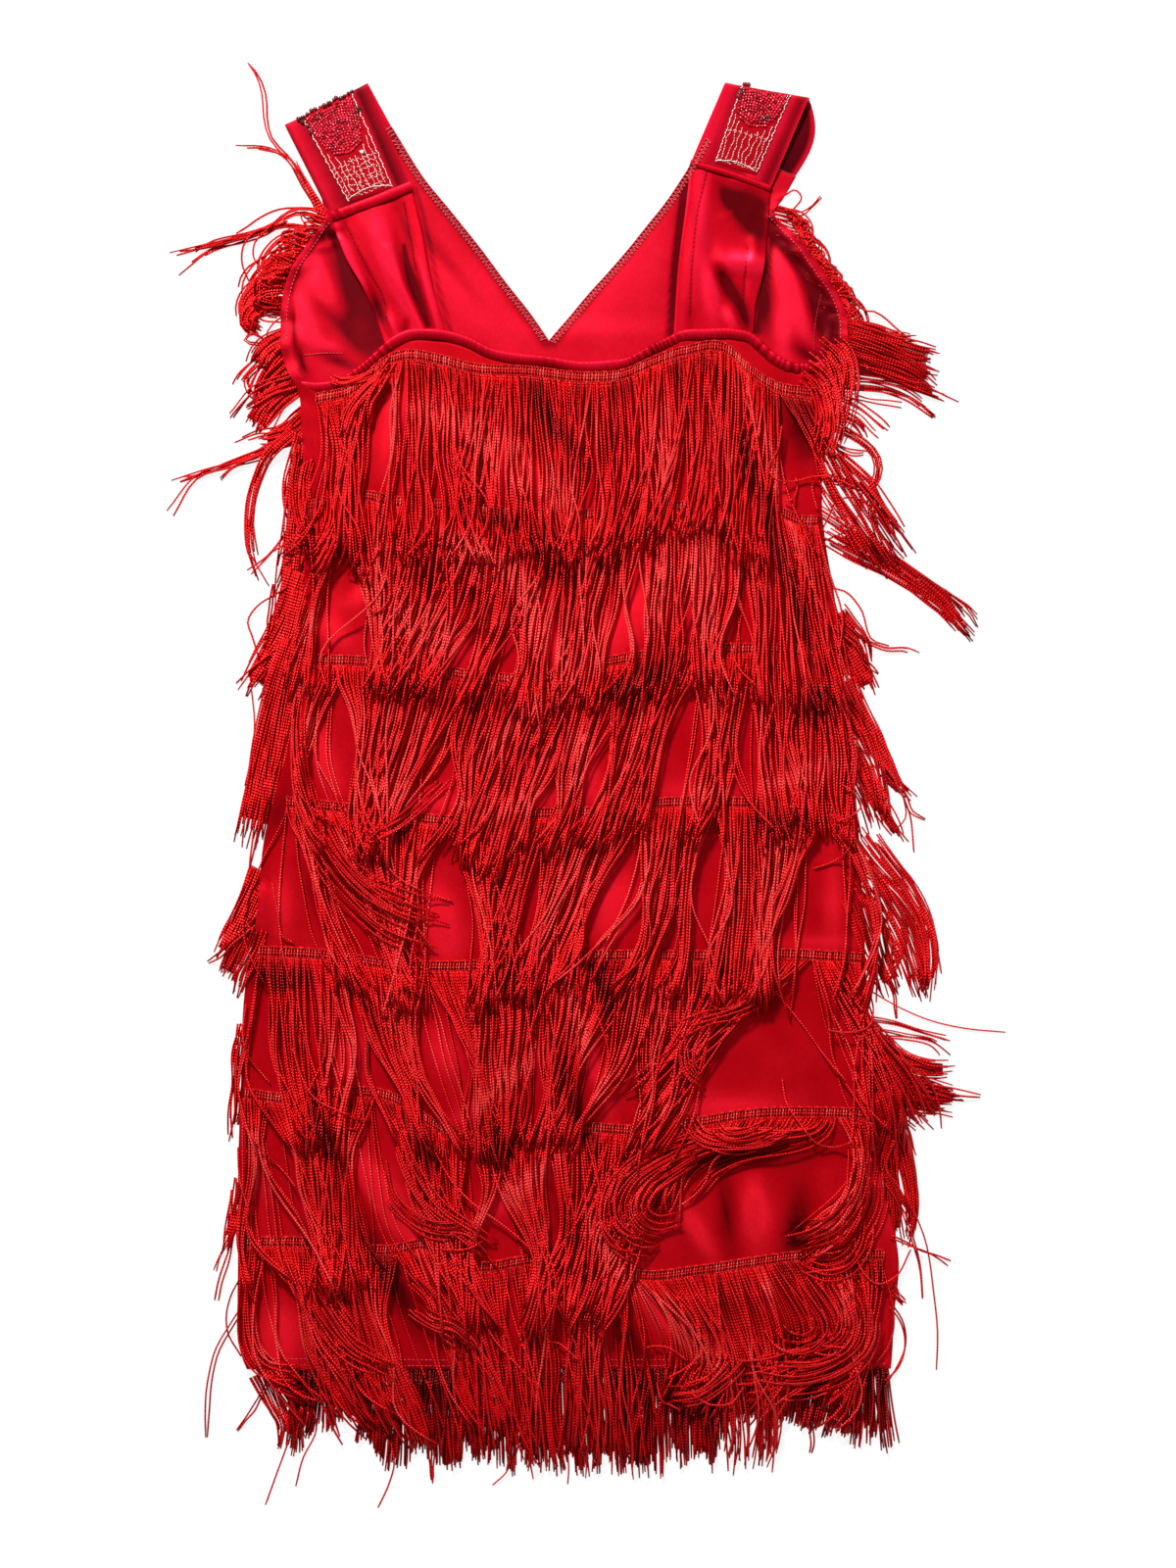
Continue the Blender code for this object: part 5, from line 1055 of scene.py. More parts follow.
def away_from(points, x, y):
    """Distance of places of the chart from a line."""
    nearest = np.full(np.shape(x), 1e9)
    for (x0, y0), (x1, y1) in zip(points, points[1:]):
        length = max((x1 - x0) ** 2 + (y1 - y0) ** 2, 1e-9)
        t = np.clip(((x - x0) * (x1 - x0) + (y - y0) * (y1 - y0)) / length, 0, 1)
        nearest = np.minimum(nearest, np.hypot(x - x0 - t * (x1 - x0), y - y0 - t * (y1 - y0)))
    return nearest


def creased(creases, x, y):
    """Height that creases, and folds along a line, add at places of the chart."""
    total = np.zeros(np.shape(x))
    for crease in creases:
        if isinstance(crease, Fold):
            share = 2 * away_from(crease.points, x, y) / crease.width
            total += crease.height * np.exp(-2.0 * share ** 2)
            continue
        turn = math.radians(crease.turn)
        ahead = (x - crease.x) * math.sin(turn) + (y - crease.y) * math.cos(turn)
        aside = (x - crease.x) * math.cos(turn) - (y - crease.y) * math.sin(turn)
        share = (2 * ahead / crease.length) ** 2 + (2 * aside / crease.width) ** 2
        total += crease.height * np.exp(-1.4 * share)
    return total


class Relief:
    """Height of the upper side of everything laid so far, on a fine grid."""

    CELL = 1.25
    LOW = np.array([-345.0, -560.0])
    SPAN = np.array([690.0, 1125.0])

    def __init__(self):
        self.map = np.zeros((self.SPAN / self.CELL).astype(int))

    def cells(self, places):
        index = np.round((places - self.LOW) / self.CELL).astype(int)
        last = np.array(self.map.shape) - 1
        return tuple(np.moveaxis(np.clip(index, 0, last), -1, 0))

    def stamp(self, points):
        """Raises the map to points (..., 3)."""
        np.maximum.at(self.map, self.cells(points[..., :2]), points[..., 2])

    def stamp_faces(self, points, quads, parts):
        corners = points[quads]
        for u in np.linspace(0, 1, parts):
            for v in np.linspace(0, 1, parts):
                low = lerp(corners[:, 0], corners[:, 1], u)
                high = lerp(corners[:, 3], corners[:, 2], u)
                self.stamp(lerp(low, high, v))

    def height(self, places):
        return self.map[self.cells(places)]

    def on_top(self, places, rise):
        """Places as points on what lies there, raised a little."""
        return raised(places, self.height(places) + rise)

    def settle(self):
        """Closes small holes and rounds the map off, as soft things do."""
        for _ in range(2):
            shifts = [(shift, axis) for axis in (0, 1) for shift in (1, -1)]
            grown = np.max([self.map, *(np.roll(self.map, *shift) for shift in shifts)], axis=0)
            soft = sum((np.roll(grown, *shift) for shift in shifts), grown) / 5
            self.map = np.where(self.map > 0, np.maximum(self.map, soft * 0.97), self.map)


# ---------------------------------------------------------------- meshes


class Parcel:
    """Points, faces and per-point values of one piece, gathered before its mesh is made."""

    def __init__(self):
        self.points, self.faces, self.tones, self.runs, self.count = [], [], [], [], 0

    def add(self, points, faces, tone=0.5, run=0.0):
        """Adds points (..., 3), and faces given as arrays with a row for each face."""
        points = np.asarray(points, float).reshape(-1, 3)
        self.faces += [some + self.count for some in faces]
        self.points.append(points)
        self.tones.append(np.broadcast_to(tone, (len(points),)))
        self.runs.append(np.broadcast_to(run, (len(points),)))
        self.count += len(points)

    def make(self, name, material, sharp=None):
        """The piece's object. With an angle for its sharp edges, its faces are turned outward."""
        mesh = bpy.data.meshes.new(name)
        points = np.concatenate(self.points) * MM
        mesh.vertices.add(len(points))
        mesh.vertices.foreach_set("co", points.astype(np.float32).ravel())
        sizes = np.concatenate([np.full(len(some), some.shape[1]) for some in self.faces])
        corners = np.concatenate([some.ravel() for some in self.faces])
        mesh.loops.add(len(corners))
        mesh.loops.foreach_set("vertex_index", corners.astype(np.int32))
        mesh.polygons.add(len(sizes))
        starts = np.concatenate([[0], np.cumsum(sizes)[:-1]])
        mesh.polygons.foreach_set("loop_start", starts.astype(np.int32))
        mesh.update(calc_edges=True)
        mesh.validate()
        for label, values in (("tone", self.tones), ("run", self.runs)):
            made = mesh.attributes.new(label, "FLOAT", "POINT")
            made.data.foreach_set("value", np.concatenate(values).astype(np.float32))
        if sharp:
            shape = bmesh.new()
            shape.from_mesh(mesh)
            bmesh.ops.recalc_face_normals(shape, faces=shape.faces)
            shape.to_mesh(mesh)
            shape.free()
        mesh.polygons.foreach_set("use_smooth", np.ones(len(mesh.polygons), bool))
        if sharp:
            mesh.set_sharp_from_angle(angle=math.radians(sharp))
        mesh.materials.append(material)
        obj = bpy.data.objects.new(name, mesh)
        bpy.context.scene.collection.objects.link(obj)
        return obj


def finish_piece(obj, slot, *nodes):
    """The piece rides on the dress's one body and stands for its solids."""
    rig.ride(obj, "root")
    if nodes:
        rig.replaces(obj, *nodes)
    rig.slot(obj, slot)
    return obj


def tube_faces(count, size):
    """Side quads and end faces of a tube of rings that turn counter-clockwise about its way."""
    i, j = np.meshgrid(np.arange(count - 1), np.arange(size), indexing="ij")
    k = (j + 1) % size
    quads = np.stack([i * size + j, (i + 1) * size + j, (i + 1) * size + k, i * size + k], axis=-1)
    ends = [np.arange(size)[None], (count - 1) * size + np.arange(size)[None, ::-1]]
    return [quads.reshape(-1, 4), *ends]


def repeated(faces, count, size):
    """Faces of one small shape for many copies of it, each with its own points."""
    shift = (np.arange(count) * size)[:, None, None]
    return [(some[None] + shift).reshape(-1, some.shape[1]) for some in faces]


def threads(parcel, paths, radius, tone, sides=3, taper=1.0):
    """Adds tubes along paths (n, m, 3). radius is per thread, tone per thread or per point."""
    count, steps, _ = paths.shape
    ahead = unit(np.gradient(paths, axis=1))
    side = unit(np.cross(ahead, UP))
    top = np.cross(side, ahead)
    radius = np.broadcast_to(radius, (count,))[:, None] * np.append(np.ones(steps - 1), taper)
    tone = np.asarray(tone, float)
    tone = np.broadcast_to(tone[:, None] if tone.ndim == 1 else tone, (count, steps))
    gaps = np.linalg.norm(np.diff(paths, axis=1, prepend=paths[:, :1]), axis=-1)
    run = np.cumsum(gaps, axis=1)
    angles = (np.arange(sides) + 0.5) * 2 * math.pi / sides
    rings = (paths[:, :, None]
             + side[:, :, None] * (np.cos(angles) * radius[..., None])[..., None]
             + top[:, :, None] * (np.sin(angles) * radius[..., None])[..., None])
    faces = repeated(tube_faces(steps, sides), count, steps * sides)
    parcel.add(rings, faces, np.repeat(tone.ravel(), sides), np.repeat(run.ravel(), sides))


def beads(parcel, centres, radii, tone, around=7, rings=4):
    """Adds small round beads."""
    count = len(centres)
    j = np.arange(around)
    k = (j + 1) % around
    turn = j * 2 * math.pi / around
    tilt = (np.arange(1, rings) * math.pi / rings)[:, None]
    belt = [np.sin(tilt) * np.cos(turn), np.sin(tilt) * np.sin(turn), np.cos(tilt) + 0 * turn]
    ball = np.concatenate([[UP], np.stack(belt, axis=-1).reshape(-1, 3), [-UP]])
    row = (1 + np.arange(rings - 2) * around)[:, None]
    low = 1 + (rings - 2) * around
    faces = [
        np.stack([0 * j, 1 + j, 1 + k], axis=1),
        np.stack([0 * j + len(ball) - 1, low + k, low + j], axis=1),
        np.stack([row + j, row + around + j, row + around + k, row + k], axis=-1).reshape(-1, 4),
    ]
    points = centres[:, None] + ball[None] * np.broadcast_to(radii, (count,))[:, None, None]
    tone = np.repeat(np.broadcast_to(tone, (count,)), len(ball))
    parcel.add(points, repeated(faces, count, len(ball)), tone)


def sheet_faces(down, wide):
    """Quads of a grid of points with its rows running down and its columns to the right."""
    i, j = np.meshgrid(np.arange(down), np.arange(wide), indexing="ij")
    a = i * (wide + 1) + j
    return np.stack([a, a + wide + 1, a + wide + 2, a + 1], axis=-1).reshape(-1, 4)


def quad_edges(quads):
    return np.concatenate([quads[:, [k, (k + 1) % 4]] for k in range(4)])


def rim_edges(quads):
    """First and second points of the edges that only one face has."""
    edges = list(map(tuple, quad_edges(quads)))
    known = set(edges)
    return np.array([edge for edge in edges if edge[::-1] not in known]).T


def softened(values, quads, rounds):
    """Values at the points of a mesh, each drawn towards its neighbours' mean."""
    edges = quad_edges(quads)
    edges = np.concatenate([edges, edges[:, ::-1]])
    many = np.bincount(edges[:, 0], minlength=len(values))
    for _ in range(rounds):
        total = np.bincount(edges[:, 0], weights=values[edges[:, 1]], minlength=len(values))
        values = 0.5 * values + 0.5 * total / np.maximum(many, 1)
    return values


def shell(parcel, upper, quads, wall, tone):
    """A closed sheet with a rounded rim, from its upper points and faces."""
    lower = upper - wall * UP
    lower[:, 2] = np.maximum(lower[:, 2], FLOOR)
    count = len(upper)
    a, b = rim_edges(quads)
    way = upper[b, :2] - upper[a, :2]
    normal = np.stack([way[:, 1], -way[:, 0]], axis=1)
    out = np.zeros((count, 2))
    np.add.at(out, a, normal)
    np.add.at(out, b, normal)
    on_rim = np.unique([a, b])
    number = np.full(count, -1)
    number[on_rim] = np.arange(len(on_rim))
    middle = (upper[on_rim] + lower[on_rim]) / 2
    middle[:, :2] += unit(out)[on_rim] * wall * 0.45
    mid_a, mid_b = 2 * count + number[a], 2 * count + number[b]
    faces = [
        quads,
        quads[:, ::-1] + count,
        np.stack([b, a, mid_a, mid_b], axis=1),
        np.stack([mid_b, mid_a, a + count, b + count], axis=1),
    ]
    tone = np.broadcast_to(tone, (count,))
    tones = np.concatenate([tone, tone, tone[on_rim]])
    parcel.add(np.concatenate([upper, lower, middle]), [np.concatenate(faces)], tones)


# ---------------------------------------------------------------- materials


def linear(red, green, blue):
    """A display colour of 0 to 255 as linear values."""
    shares = [value / 255 for value in (red, green, blue)]
    found = [s / 12.92 if s <= 0.04045 else ((s + 0.055) / 1.055) ** 2.4 for s in shares]
    return (*found, 1.0)


def grey(share):
    return (share, share, share, 1.0)


def feed(tree, node, inputs):
    """Sets a node's inputs to values, or links them to other nodes' outputs."""
    for key, value in inputs.items():
        if isinstance(value, bpy.types.NodeSocket):
            tree.links.new(value, node.inputs[key])
        else:
            node.inputs[key].default_value = value


def add_node(tree, kind, inputs, **settings):
    node = tree.nodes.new("ShaderNode" + kind)
    for name, value in settings.items():
        setattr(node, name, value)
    feed(tree, node, inputs)
    return node


def start_material(name):
    material = bpy.data.materials.new(name)
    material.use_nodes = True
    tree = material.node_tree
    return material, tree, tree.nodes["Principled BSDF"]


def attribute(tree, name):
    return add_node(tree, "Attribute", {}, attribute_name=name).outputs["Fac"]


def spot(tree):
    """The place on the piece."""
    return add_node(tree, "TexCoord", {}).outputs["Object"]


def maths(tree, operation, *values):
    return add_node(tree, "Math", dict(enumerate(values)), operation=operation).outputs[0]


def ramp(tree, source, stops):
    """A colour ramp fed by a socket. stops are (place, colour)."""
    node = add_node(tree, "ValToRGB", {"Fac": source})
    while len(node.color_ramp.elements) < len(stops):
        node.color_ramp.elements.new(0.5)
    for element, (at, color) in zip(node.color_ramp.elements, stops):
        element.position = at
        element.color = color
    return node.outputs["Color"]


def noise(tree, scale, detail=2.0, stretch=(1.0, 1.0, 1.0)):
    """A noise value that depends on the place on the piece."""
    mapping = add_node(tree, "Mapping", {"Vector": spot(tree), "Scale": stretch})
    inputs = {"Vector": mapping.outputs["Vector"], "Scale": scale, "Detail": detail}
    return add_node(tree, "TexNoise", inputs).outputs["Fac"]


def multiplied(tree, share, one, two):
    """Two colours multiplied, by a share."""
    inputs = {0: share, 6: one, 7: two}
    return add_node(tree, "Mix", inputs, data_type="RGBA", blend_type="MULTIPLY").outputs[2]


def bump(tree, height, strength, distance):
    inputs = {"Height": height, "Strength": strength, "Distance": distance}
    return add_node(tree, "Bump", inputs).outputs["Normal"]


def satin(name):
    """Satin: painted shade and painted light from the tone of its folds, with random drift, fine diagonal floats and
    red reflections.
    """
    look = SATINS[name]
    material, tree, shader = start_material(name)
    drift = maths(tree, "MULTIPLY_ADD", noise(tree, 26.0, 4.0), 0.30, attribute(tree, "tone"))
    stops = zip((0.15, 0.62, 1.0), (look.shade, look.middle, look.lit))
    color = ramp(tree, drift, [(at, linear(*color)) for at, color in stops])
    uneven = noise(tree, 900.0, 2.0, (1.0, 0.35, 1.0))
    fine = ramp(tree, uneven, [(0.25, grey(0.8)), (0.75, grey(1.0))])
    inputs = {"Vector": spot(tree), "Scale": 420.0, "Distortion": 1.5, "Detail": 2.0}
    floats = add_node(tree, "TexWave", inputs, wave_type="BANDS", bands_direction="DIAGONAL")
    feed(tree, shader, {
        "Base Color": multiplied(tree, 1.0, color, fine),
        "Roughness": look.roughness,
        "Metallic": look.sheen,
        "Specular IOR Level": look.specular,
        "Specular Tint": SATIN_TINT,
        "Normal": bump(tree, floats.outputs["Fac"], look.weave, 0.0002),
    })
    return material


def chainette(name, colors, sheen):
    """Twisted rayon thread: its tone differs at random from thread to thread and carries painted shade and painted
    highlights, the palest losing the grain and twist darkening; with a fine twist.
    """
    material, tree, shader = start_material(name)
    own = attribute(tree, "tone")
    stops = zip((0.0, 0.42, 0.82, 1.0), colors)
    tone = ramp(tree, own, [(at, linear(*color)) for at, color in stops])
    turns = maths(tree, "MULTIPLY", attribute(tree, "run"), 2 * math.pi / TWIST)
    wave = maths(tree, "SINE", turns)
    grains = ramp(tree, noise(tree, 620.0), [(0.34, grey(0.66)), (0.66, grey(1.0))])
    spun = ramp(tree, wave, [(0.0, grey(1.0)), (0.9, grey(0.6))])
    share = ramp(tree, own, [(0.8, grey(1.0)), (0.9, grey(0.1))])
    grained = multiplied(tree, share, tone, grains)
    feed(tree, shader, {
        "Base Color": multiplied(tree, share, grained, spun),
        "Roughness": 0.34,
        "Metallic": sheen,
        "Specular IOR Level": 1.0,
        "Specular Tint": THREAD_TINT,
        "Normal": bump(tree, wave, 0.5, 0.0004),
    })
    return material


def glass_bead(name, colors):
    material, tree, shader = start_material(name)
    stops = [(at, linear(*color)) for at, color in enumerate(colors)]
    feed(tree, shader, {
        "Base Color": ramp(tree, attribute(tree, "tone"), stops),
        "Roughness": 0.12,
        "Coat Weight": 0.6,
        "Specular IOR Level": 0.7,
    })
    return material


def metallic_thread(name, colors):
    material, tree, shader = start_material(name)
    stops = zip((0.35, 0.65), colors)
    color = ramp(tree, noise(tree, 900.0), [(at, linear(*color)) for at, color in stops])
    feed(tree, shader, {"Base Color": color, "Metallic": 0.1, "Roughness": 0.4})
    return material


def floor_paint(name):
    """White paper that shows hardly any shadow."""
    material, tree, shader = start_material(name)
    feed(tree, shader, {
        "Base Color": grey(0.16),
        "Roughness": 1.0,
        "Specular IOR Level": 0.0,
        "Emission Color": grey(1.0),
        "Emission Strength": 0.86,
    })
    return material


# ---------------------------------------------------------------- cloth pieces


def cad_heights(node, places):
    """Height of a frame solid's upper side at places in millimetres."""
    mesh = frame["nodes"][node].data
    corners = [tuple(face.vertices) for face in mesh.polygons]
    tree = BVHTree.FromPolygons([vertex.co for vertex in mesh.vertices], corners)

    def upper_side(x, y):
        return tree.ray_cast(Vector((x, y, 1.0)), Vector((0, 0, -1)))[0]

    found = []
    for x, y in places * MM:
        hit = upper_side(x, y)
        if hit is None:
            near = tree.find_nearest(Vector((x, y, 0.005)))[0]
            hit = upper_side(near.x, near.y) or near
        found.append(hit.z / MM)
    return np.array(found)


def lay_sheet(relief, node, chart, quads, cloth, creases):
    """Upper points of a sheet on its solid's form, with its creases, clear of what it lies on."""
    places = place(*chart.T)
    heights = softened(cad_heights(node, places), quads, cloth.rounds)
    heights = heights + cloth.depth * softened(creased(creases, *chart.T), quads, 1)
    for _ in range(3):
        need = relief.height(places) + cloth.clear + cloth.wall
        heights = np.maximum(heights, need)
        heights = np.maximum(softened(heights, quads, 2), need - SHEET_SINK)
    return raised(places, heights)


def cloth_sheet(relief, name, node, material, chart, quads, kind, creases):
    """One satin sheet, with painted shade in the troughs of its creases and painted light on their ridges."""
    cloth = CLOTHS[kind]
    upper = lay_sheet(relief, node, chart, quads, cloth, creases)
    relief.stamp_faces(upper, quads, cloth.stamps)
    # Painted shade in crease troughs and painted light on crease ridges
    tone = np.clip(0.5 + cloth.tone * creased(creases, *chart.T), 0, 1)
    parcel = Parcel()
    shell(parcel, upper, quads, cloth.wall, tone)
    return finish_piece(parcel.make(name, material, SHEET_SHARP), "red_satin", node)


def between(rows, down, wide):
    """Chart places between the left and the right edge of rows (x, y, x, y)."""
    at = np.linspace(0, len(rows) - 1, down + 1)
    columns = [smooth(list(enumerate(column)), at) for column in zip(*rows)]
    left, right = np.stack(columns[:2], axis=1), np.stack(columns[2:], axis=1)
    return lerp(left[:, None], right[:, None], np.linspace(0, 1, wide + 1)[None, :, None])


def welded(grids):
    """Places and quads of grids (down + 1, wide + 1, 2) that are joined where they meet."""
    points, faces, known = [], [], {}
    for grid in grids:
        index = []
        for point in grid.reshape(-1, 2):
            key = (round(point[0], 2), round(point[1], 2))
            if key not in known:
                known[key] = len(points)
                points.append(point)
            index.append(known[key])
        faces.append(np.array(index)[sheet_faces(grid.shape[0] - 1, grid.shape[1] - 1)])
    return np.array(points), np.concatenate(faces)


def front_panel(relief, material):
    """The front: its body, and a shoulder on either side of the V neck."""
    wide, down = 60, 60
    body = []
    for y in FRONT_ROWS:
        left, right = (edge_x(side, y, [ARMPITS[side]]) for side in ("left", "right"))
        xs = np.concatenate([
            np.linspace(left, NECK_POINT_X, wide + 1),
            np.linspace(NECK_POINT_X, right, wide + 1)[1:],
        ])
        body.append(np.stack([xs, np.full(len(xs), y)], axis=1))
    left_flap = between(FLAP_LEFT[::-1], down, wide)
    right_flap = between([flap[2:] + flap[:2] for flap in FLAP_RIGHT[::-1]], down, wide)
    chart, quads = welded([np.array(body), left_flap, right_flap])
    names = ("front_satin", "front_panel")
    return cloth_sheet(relief, *names, material, chart, quads, "front", FRONT_CREASES)


def back_panel(relief, material):
    """The back, from the casing to the hem."""
    wide, down = 84, 140
    share = np.linspace(0, 1, wide + 1)
    left, right = SIDES[0].left + 4, SIDES[0].right - 1
    top = smooth(NECK_LINE, left + (right - left) * share) + 6
    y = top[None] + (SIDES[-1].y - top[None]) * np.linspace(0, 1, down + 1)[:, None]
    start, end = edge_x("left", y), edge_x("right", y)
    x = start + (end - start) * share[None]
    chart, quads = np.stack([x, y], axis=-1).reshape(-1, 2), sheet_faces(down, wide)
    names = ("back_satin", "back_panel")
    return cloth_sheet(relief, *names, material, chart, quads, "back", BACK_CREASES)


def shoulder_piece(relief, side, bands, material):
    """A band down from the strap, whose lower end follows the neck line."""
    wide, down = 44, 80
    grid = between(bands, down, wide)
    foot = smooth(NECK_LINE, grid[-1, :, 0]) + 2
    at = np.linspace(0, len(bands) - 1, down + 1)
    blend = np.clip(at - (len(bands) - 2), 0, 1)[:, None] ** 2
    grid[..., 1] += (foot - grid[-1, :, 1])[None] * blend
    chart, quads = grid.reshape(-1, 2), sheet_faces(down, wide)
    names = (f"shoulder_cloth_{side}", f"shoulder_piece_{side}")
    return cloth_sheet(relief, *names, material, chart, quads, "shoulder", SHOULDER_CREASES)


def rolled_edge(relief, parcel, rings, profile, tones, crinkle):
    """Adds a rolled edge of rings (n, m, 3), with painted light and shade across it and painted shade in its puckers.
    """
    own = np.interp([share for share, _ in profile], *np.array(tones).T)
    tone = np.clip(own[None] - crinkle[:, None], 0, 1)
    parcel.add(rings, tube_faces(*rings.shape[:2]), tone.ravel())
    relief.stamp(rings)


def uneven(rng, xs, every, low, high):
    """Values between two limits that drift along places."""
    knots = xs[::every]
    return np.interp(xs, knots, rng.uniform(low, high, len(knots)))


def casing_puckers(rng, xs):
    """How deep the casing is drawn in at each place."""
    puckered = np.zeros(len(xs))
    for start, end in PUCKERED:
        rising = np.clip((xs - start) / PUCKER_FADE, 0, 1)
        puckered = np.maximum(puckered, rising * np.clip((end - xs) / PUCKER_FADE, 0, 1))
    pace = uneven(rng, xs, every=9, low=0.4, high=1.5)
    beat = np.cumsum(pace * np.gradient(xs)) / PUCKER_PITCH
    depth = uneven(rng, xs, every=13, low=0.25, high=1.0)
    depth = (PUCKER_LEAST + PUCKER_MORE * puckered) * depth
    wave = (0.5 + 0.5 * np.sin(beat * 2 * math.pi)) * depth
    return wave + uneven(rng, xs, every=26, low=0, high=0.15)


def casing(relief, material):
    """Elastic casing: a rolled upper rim, a sloping face below it, and fine puckers."""
    xs = np.linspace(NECK_LINE[0][0] + 1, NECK_LINE[-1][0] - 1, CASING_STEPS)
    upper = place(xs, smooth(NECK_LINE, xs))
    down = -across(upper[None])[0]
    crinkle = casing_puckers(np.random.default_rng(SEED + 3), xs)
    base = cad_heights("back_neck_casing", upper + down * 3.0) - CASING_SOLID
    base = np.maximum(running_mean(base, 6), 1.2)
    rings = []
    for share, rise in CASING_PROFILE:
        spots = upper + down * (share * CASING_WIDTH * (1 - CASING_DRAW * crinkle))[:, None]
        deep = crinkle * (1 - abs(share - 0.5))
        rings.append(raised(spots, base + CASING_HEIGHT * max(rise, 0) * (1 - deep) - 0.3))
    rings = np.stack(rings, axis=1)
    parcel = Parcel()
    rolled_edge(relief, parcel, rings, CASING_PROFILE, CASING_SHADING, CASING_SHADE * crinkle)
    relief.stamp((rings[:, :-1] + rings[:, 1:]) / 2)
    made = parcel.make("neck_casing_cloth", material, ROLL_SHARP)
    return finish_piece(made, "red_satin", "back_neck_casing")


def seam_band(relief, parcel, band):
    """A turned seam that stands proud where a strap joins a shoulder piece."""
    upper, _ = line(band.ends, BAND_STEPS)
    down = -across(upper[None])[0]
    share = np.linspace(0, 1, BAND_STEPS)
    gathered = np.clip(band.pucker - band.fall * share, band.least, 1)
    crinkle = BAND_PUCKER * gathered * (0.5 + 0.5 * np.sin(share * 58 + 2 * np.sin(share * 9)))
    lines = [upper + down * away for away in (0.0, band.width / 2, band.width)]
    ground = np.max([relief.height(spots) for spots in lines], axis=0)
    ground = running_mean(ground, 4)
    rings = [
        raised(upper + down * (part * band.width), ground + BAND_RISE * rise * (1 - crinkle))
        for part, rise in SEAM_PROFILE
    ]
    rings = np.stack(rings, axis=1)
    rolled_edge(relief, parcel, rings, SEAM_PROFILE, SEAM_SHADING, BAND_SHADE * crinkle)


def strap_stations(strap, near_length, far_length):
    """Stations of a strap's middle sheet, from its seam over the fold and back beneath."""
    outer = strap.inner_gap / 2 + 2 * STRAP_HALF
    middle = strap.inner_gap / 2 + STRAP_HALF
    seam_height, fold_height = STRAP_SEAM_HEIGHT, 3 * STRAP_HALF + strap.inner_gap
    found = []
    for share in np.linspace(1.0, outer / near_length, 34):
        height = fold_height + (seam_height - fold_height) * share ** 1.5
        found.append(Station(near_length * share, height, run=0.0, rise=1.0, leg=0.0))
    for angle in np.radians(np.linspace(*STRAP_TURN, 14)):
        sine, cosine = math.sin(angle), math.cos(angle)
        distance, height = outer - middle * sine, outer + middle * cosine
        found.append(Station(distance, height, run=-sine, rise=cosine, leg=angle / math.pi))
    for distance in np.linspace(outer, far_length, 20):
        found.append(Station(distance, height=STRAP_HALF, run=0.0, rise=-1.0, leg=1.0))
    return found


def strap_sheet(strap, wide):
    """Middle points and outward normals of a folded strap, from its seam over the fold."""
    seam, fold, far = (place(*np.array(ends, float).T) for ends in strap[:3])
    near_length = np.linalg.norm(seam.mean(axis=0) - fold.mean(axis=0))
    far_length = np.linalg.norm(far.mean(axis=0) - fold.mean(axis=0))
    u = np.linspace(0, 1, wide + 1)[:, None]
    first, start, last = (ends[0] + (ends[1] - ends[0]) * u for ends in (seam, fold, far))
    near_way = (first - start) / near_length
    far_way = (last - start) / far_length
    points, normals = [], []
    for station in strap_stations(strap, near_length, far_length):
        way = lerp(near_way, far_way, station.leg)
        spots = start + way * station.distance
        half_turn = math.pi * min(station.distance / far_length, 1.0)
        spots[:, 0] += strap.bulge * u[:, 0] * station.leg * math.sin(half_turn)
        points.append(raised(spots, station.height))
        normals.append(raised(unit(way) * station.run, station.rise))
    return np.array(points), np.array(normals)


def strap_piece(relief, side, strap, material):
    """A folded strap with bound edges, shaded beneath its fold."""
    wide = 30
    middle, normals = strap_sheet(strap, wide)
    share = np.linspace(0, 1, wide + 1)
    edges = [np.exp(-((share - at) / BINDING_HALF) ** 2) for at in (BINDING_AT, 1 - BINDING_AT)]
    soft = BINDING_RISE * sum(edges) + STRAP_WAVE * np.sin(share * 9 + 1)
    outer = (middle + normals * (STRAP_WALL / 2 + soft[None, :, None])).reshape(-1, 3)
    inner = (middle - normals * STRAP_WALL / 2).reshape(-1, 3)
    points = np.concatenate([outer, inner])
    points[:, 2] = np.maximum(points[:, 2], STRAP_FLOOR)
    count = len(outer)
    quads = sheet_faces(len(middle) - 1, wide)[:, ::-1]
    a, b = rim_edges(quads)
    rim = np.stack([b, a, a + count, b + count], axis=1)
    # Painted light and shade across the strap; beneath its fold, painted shade with a painted lit rim
    tone = np.tile(np.interp(share, *np.array(strap.tones).T), (len(middle), 1))
    tone[-SHADED_STATIONS:] = np.where(share > 0.95, LIT_RIM_TONE, SHADED_TONE)
    parcel = Parcel()
    parcel.add(points, [quads, quads[:, ::-1] + count, rim], np.tile(tone.ravel(), 2))
    relief.stamp_faces(points[:count], quads, 5)
    made = parcel.make(f"strap_cloth_{side}", material, SHEET_SHARP)
    return finish_piece(made, "red_satin", f"strap_{side}")


# ---------------------------------------------------------------- fringe


def wandering(rng, count, steps, size, knots=5):
    """Smooth random offsets (count, steps) that start at zero."""
    at = np.linspace(0, 1, steps)
    found = np.zeros((count, steps))
    for n in range(count):
        values = np.concatenate([[0.0], rng.normal(0, size, knots - 1)])
        found[n] = smooth(list(zip(np.linspace(0, 1, knots), values)), at)
    return found


def draped(relief, flat, lift, slack):
    """Heights of threads (n, m, 2) that lie on the relief and bridge its small hollows."""
    ground = relief.height(flat)
    for shift in (-BESIDE, BESIDE):
        ground = np.maximum(ground, relief.height(flat + across(flat) * shift) - BESIDE_DROP)
    for _ in range(slack):
        bridged = ground.copy()
        bridged[:, 1:-1] = np.maximum(ground[:, 1:-1], (ground[:, :-2] + ground[:, 2:]) / 2)
        ground = bridged
    return np.maximum(evened(ground), ground - SINK) + lift


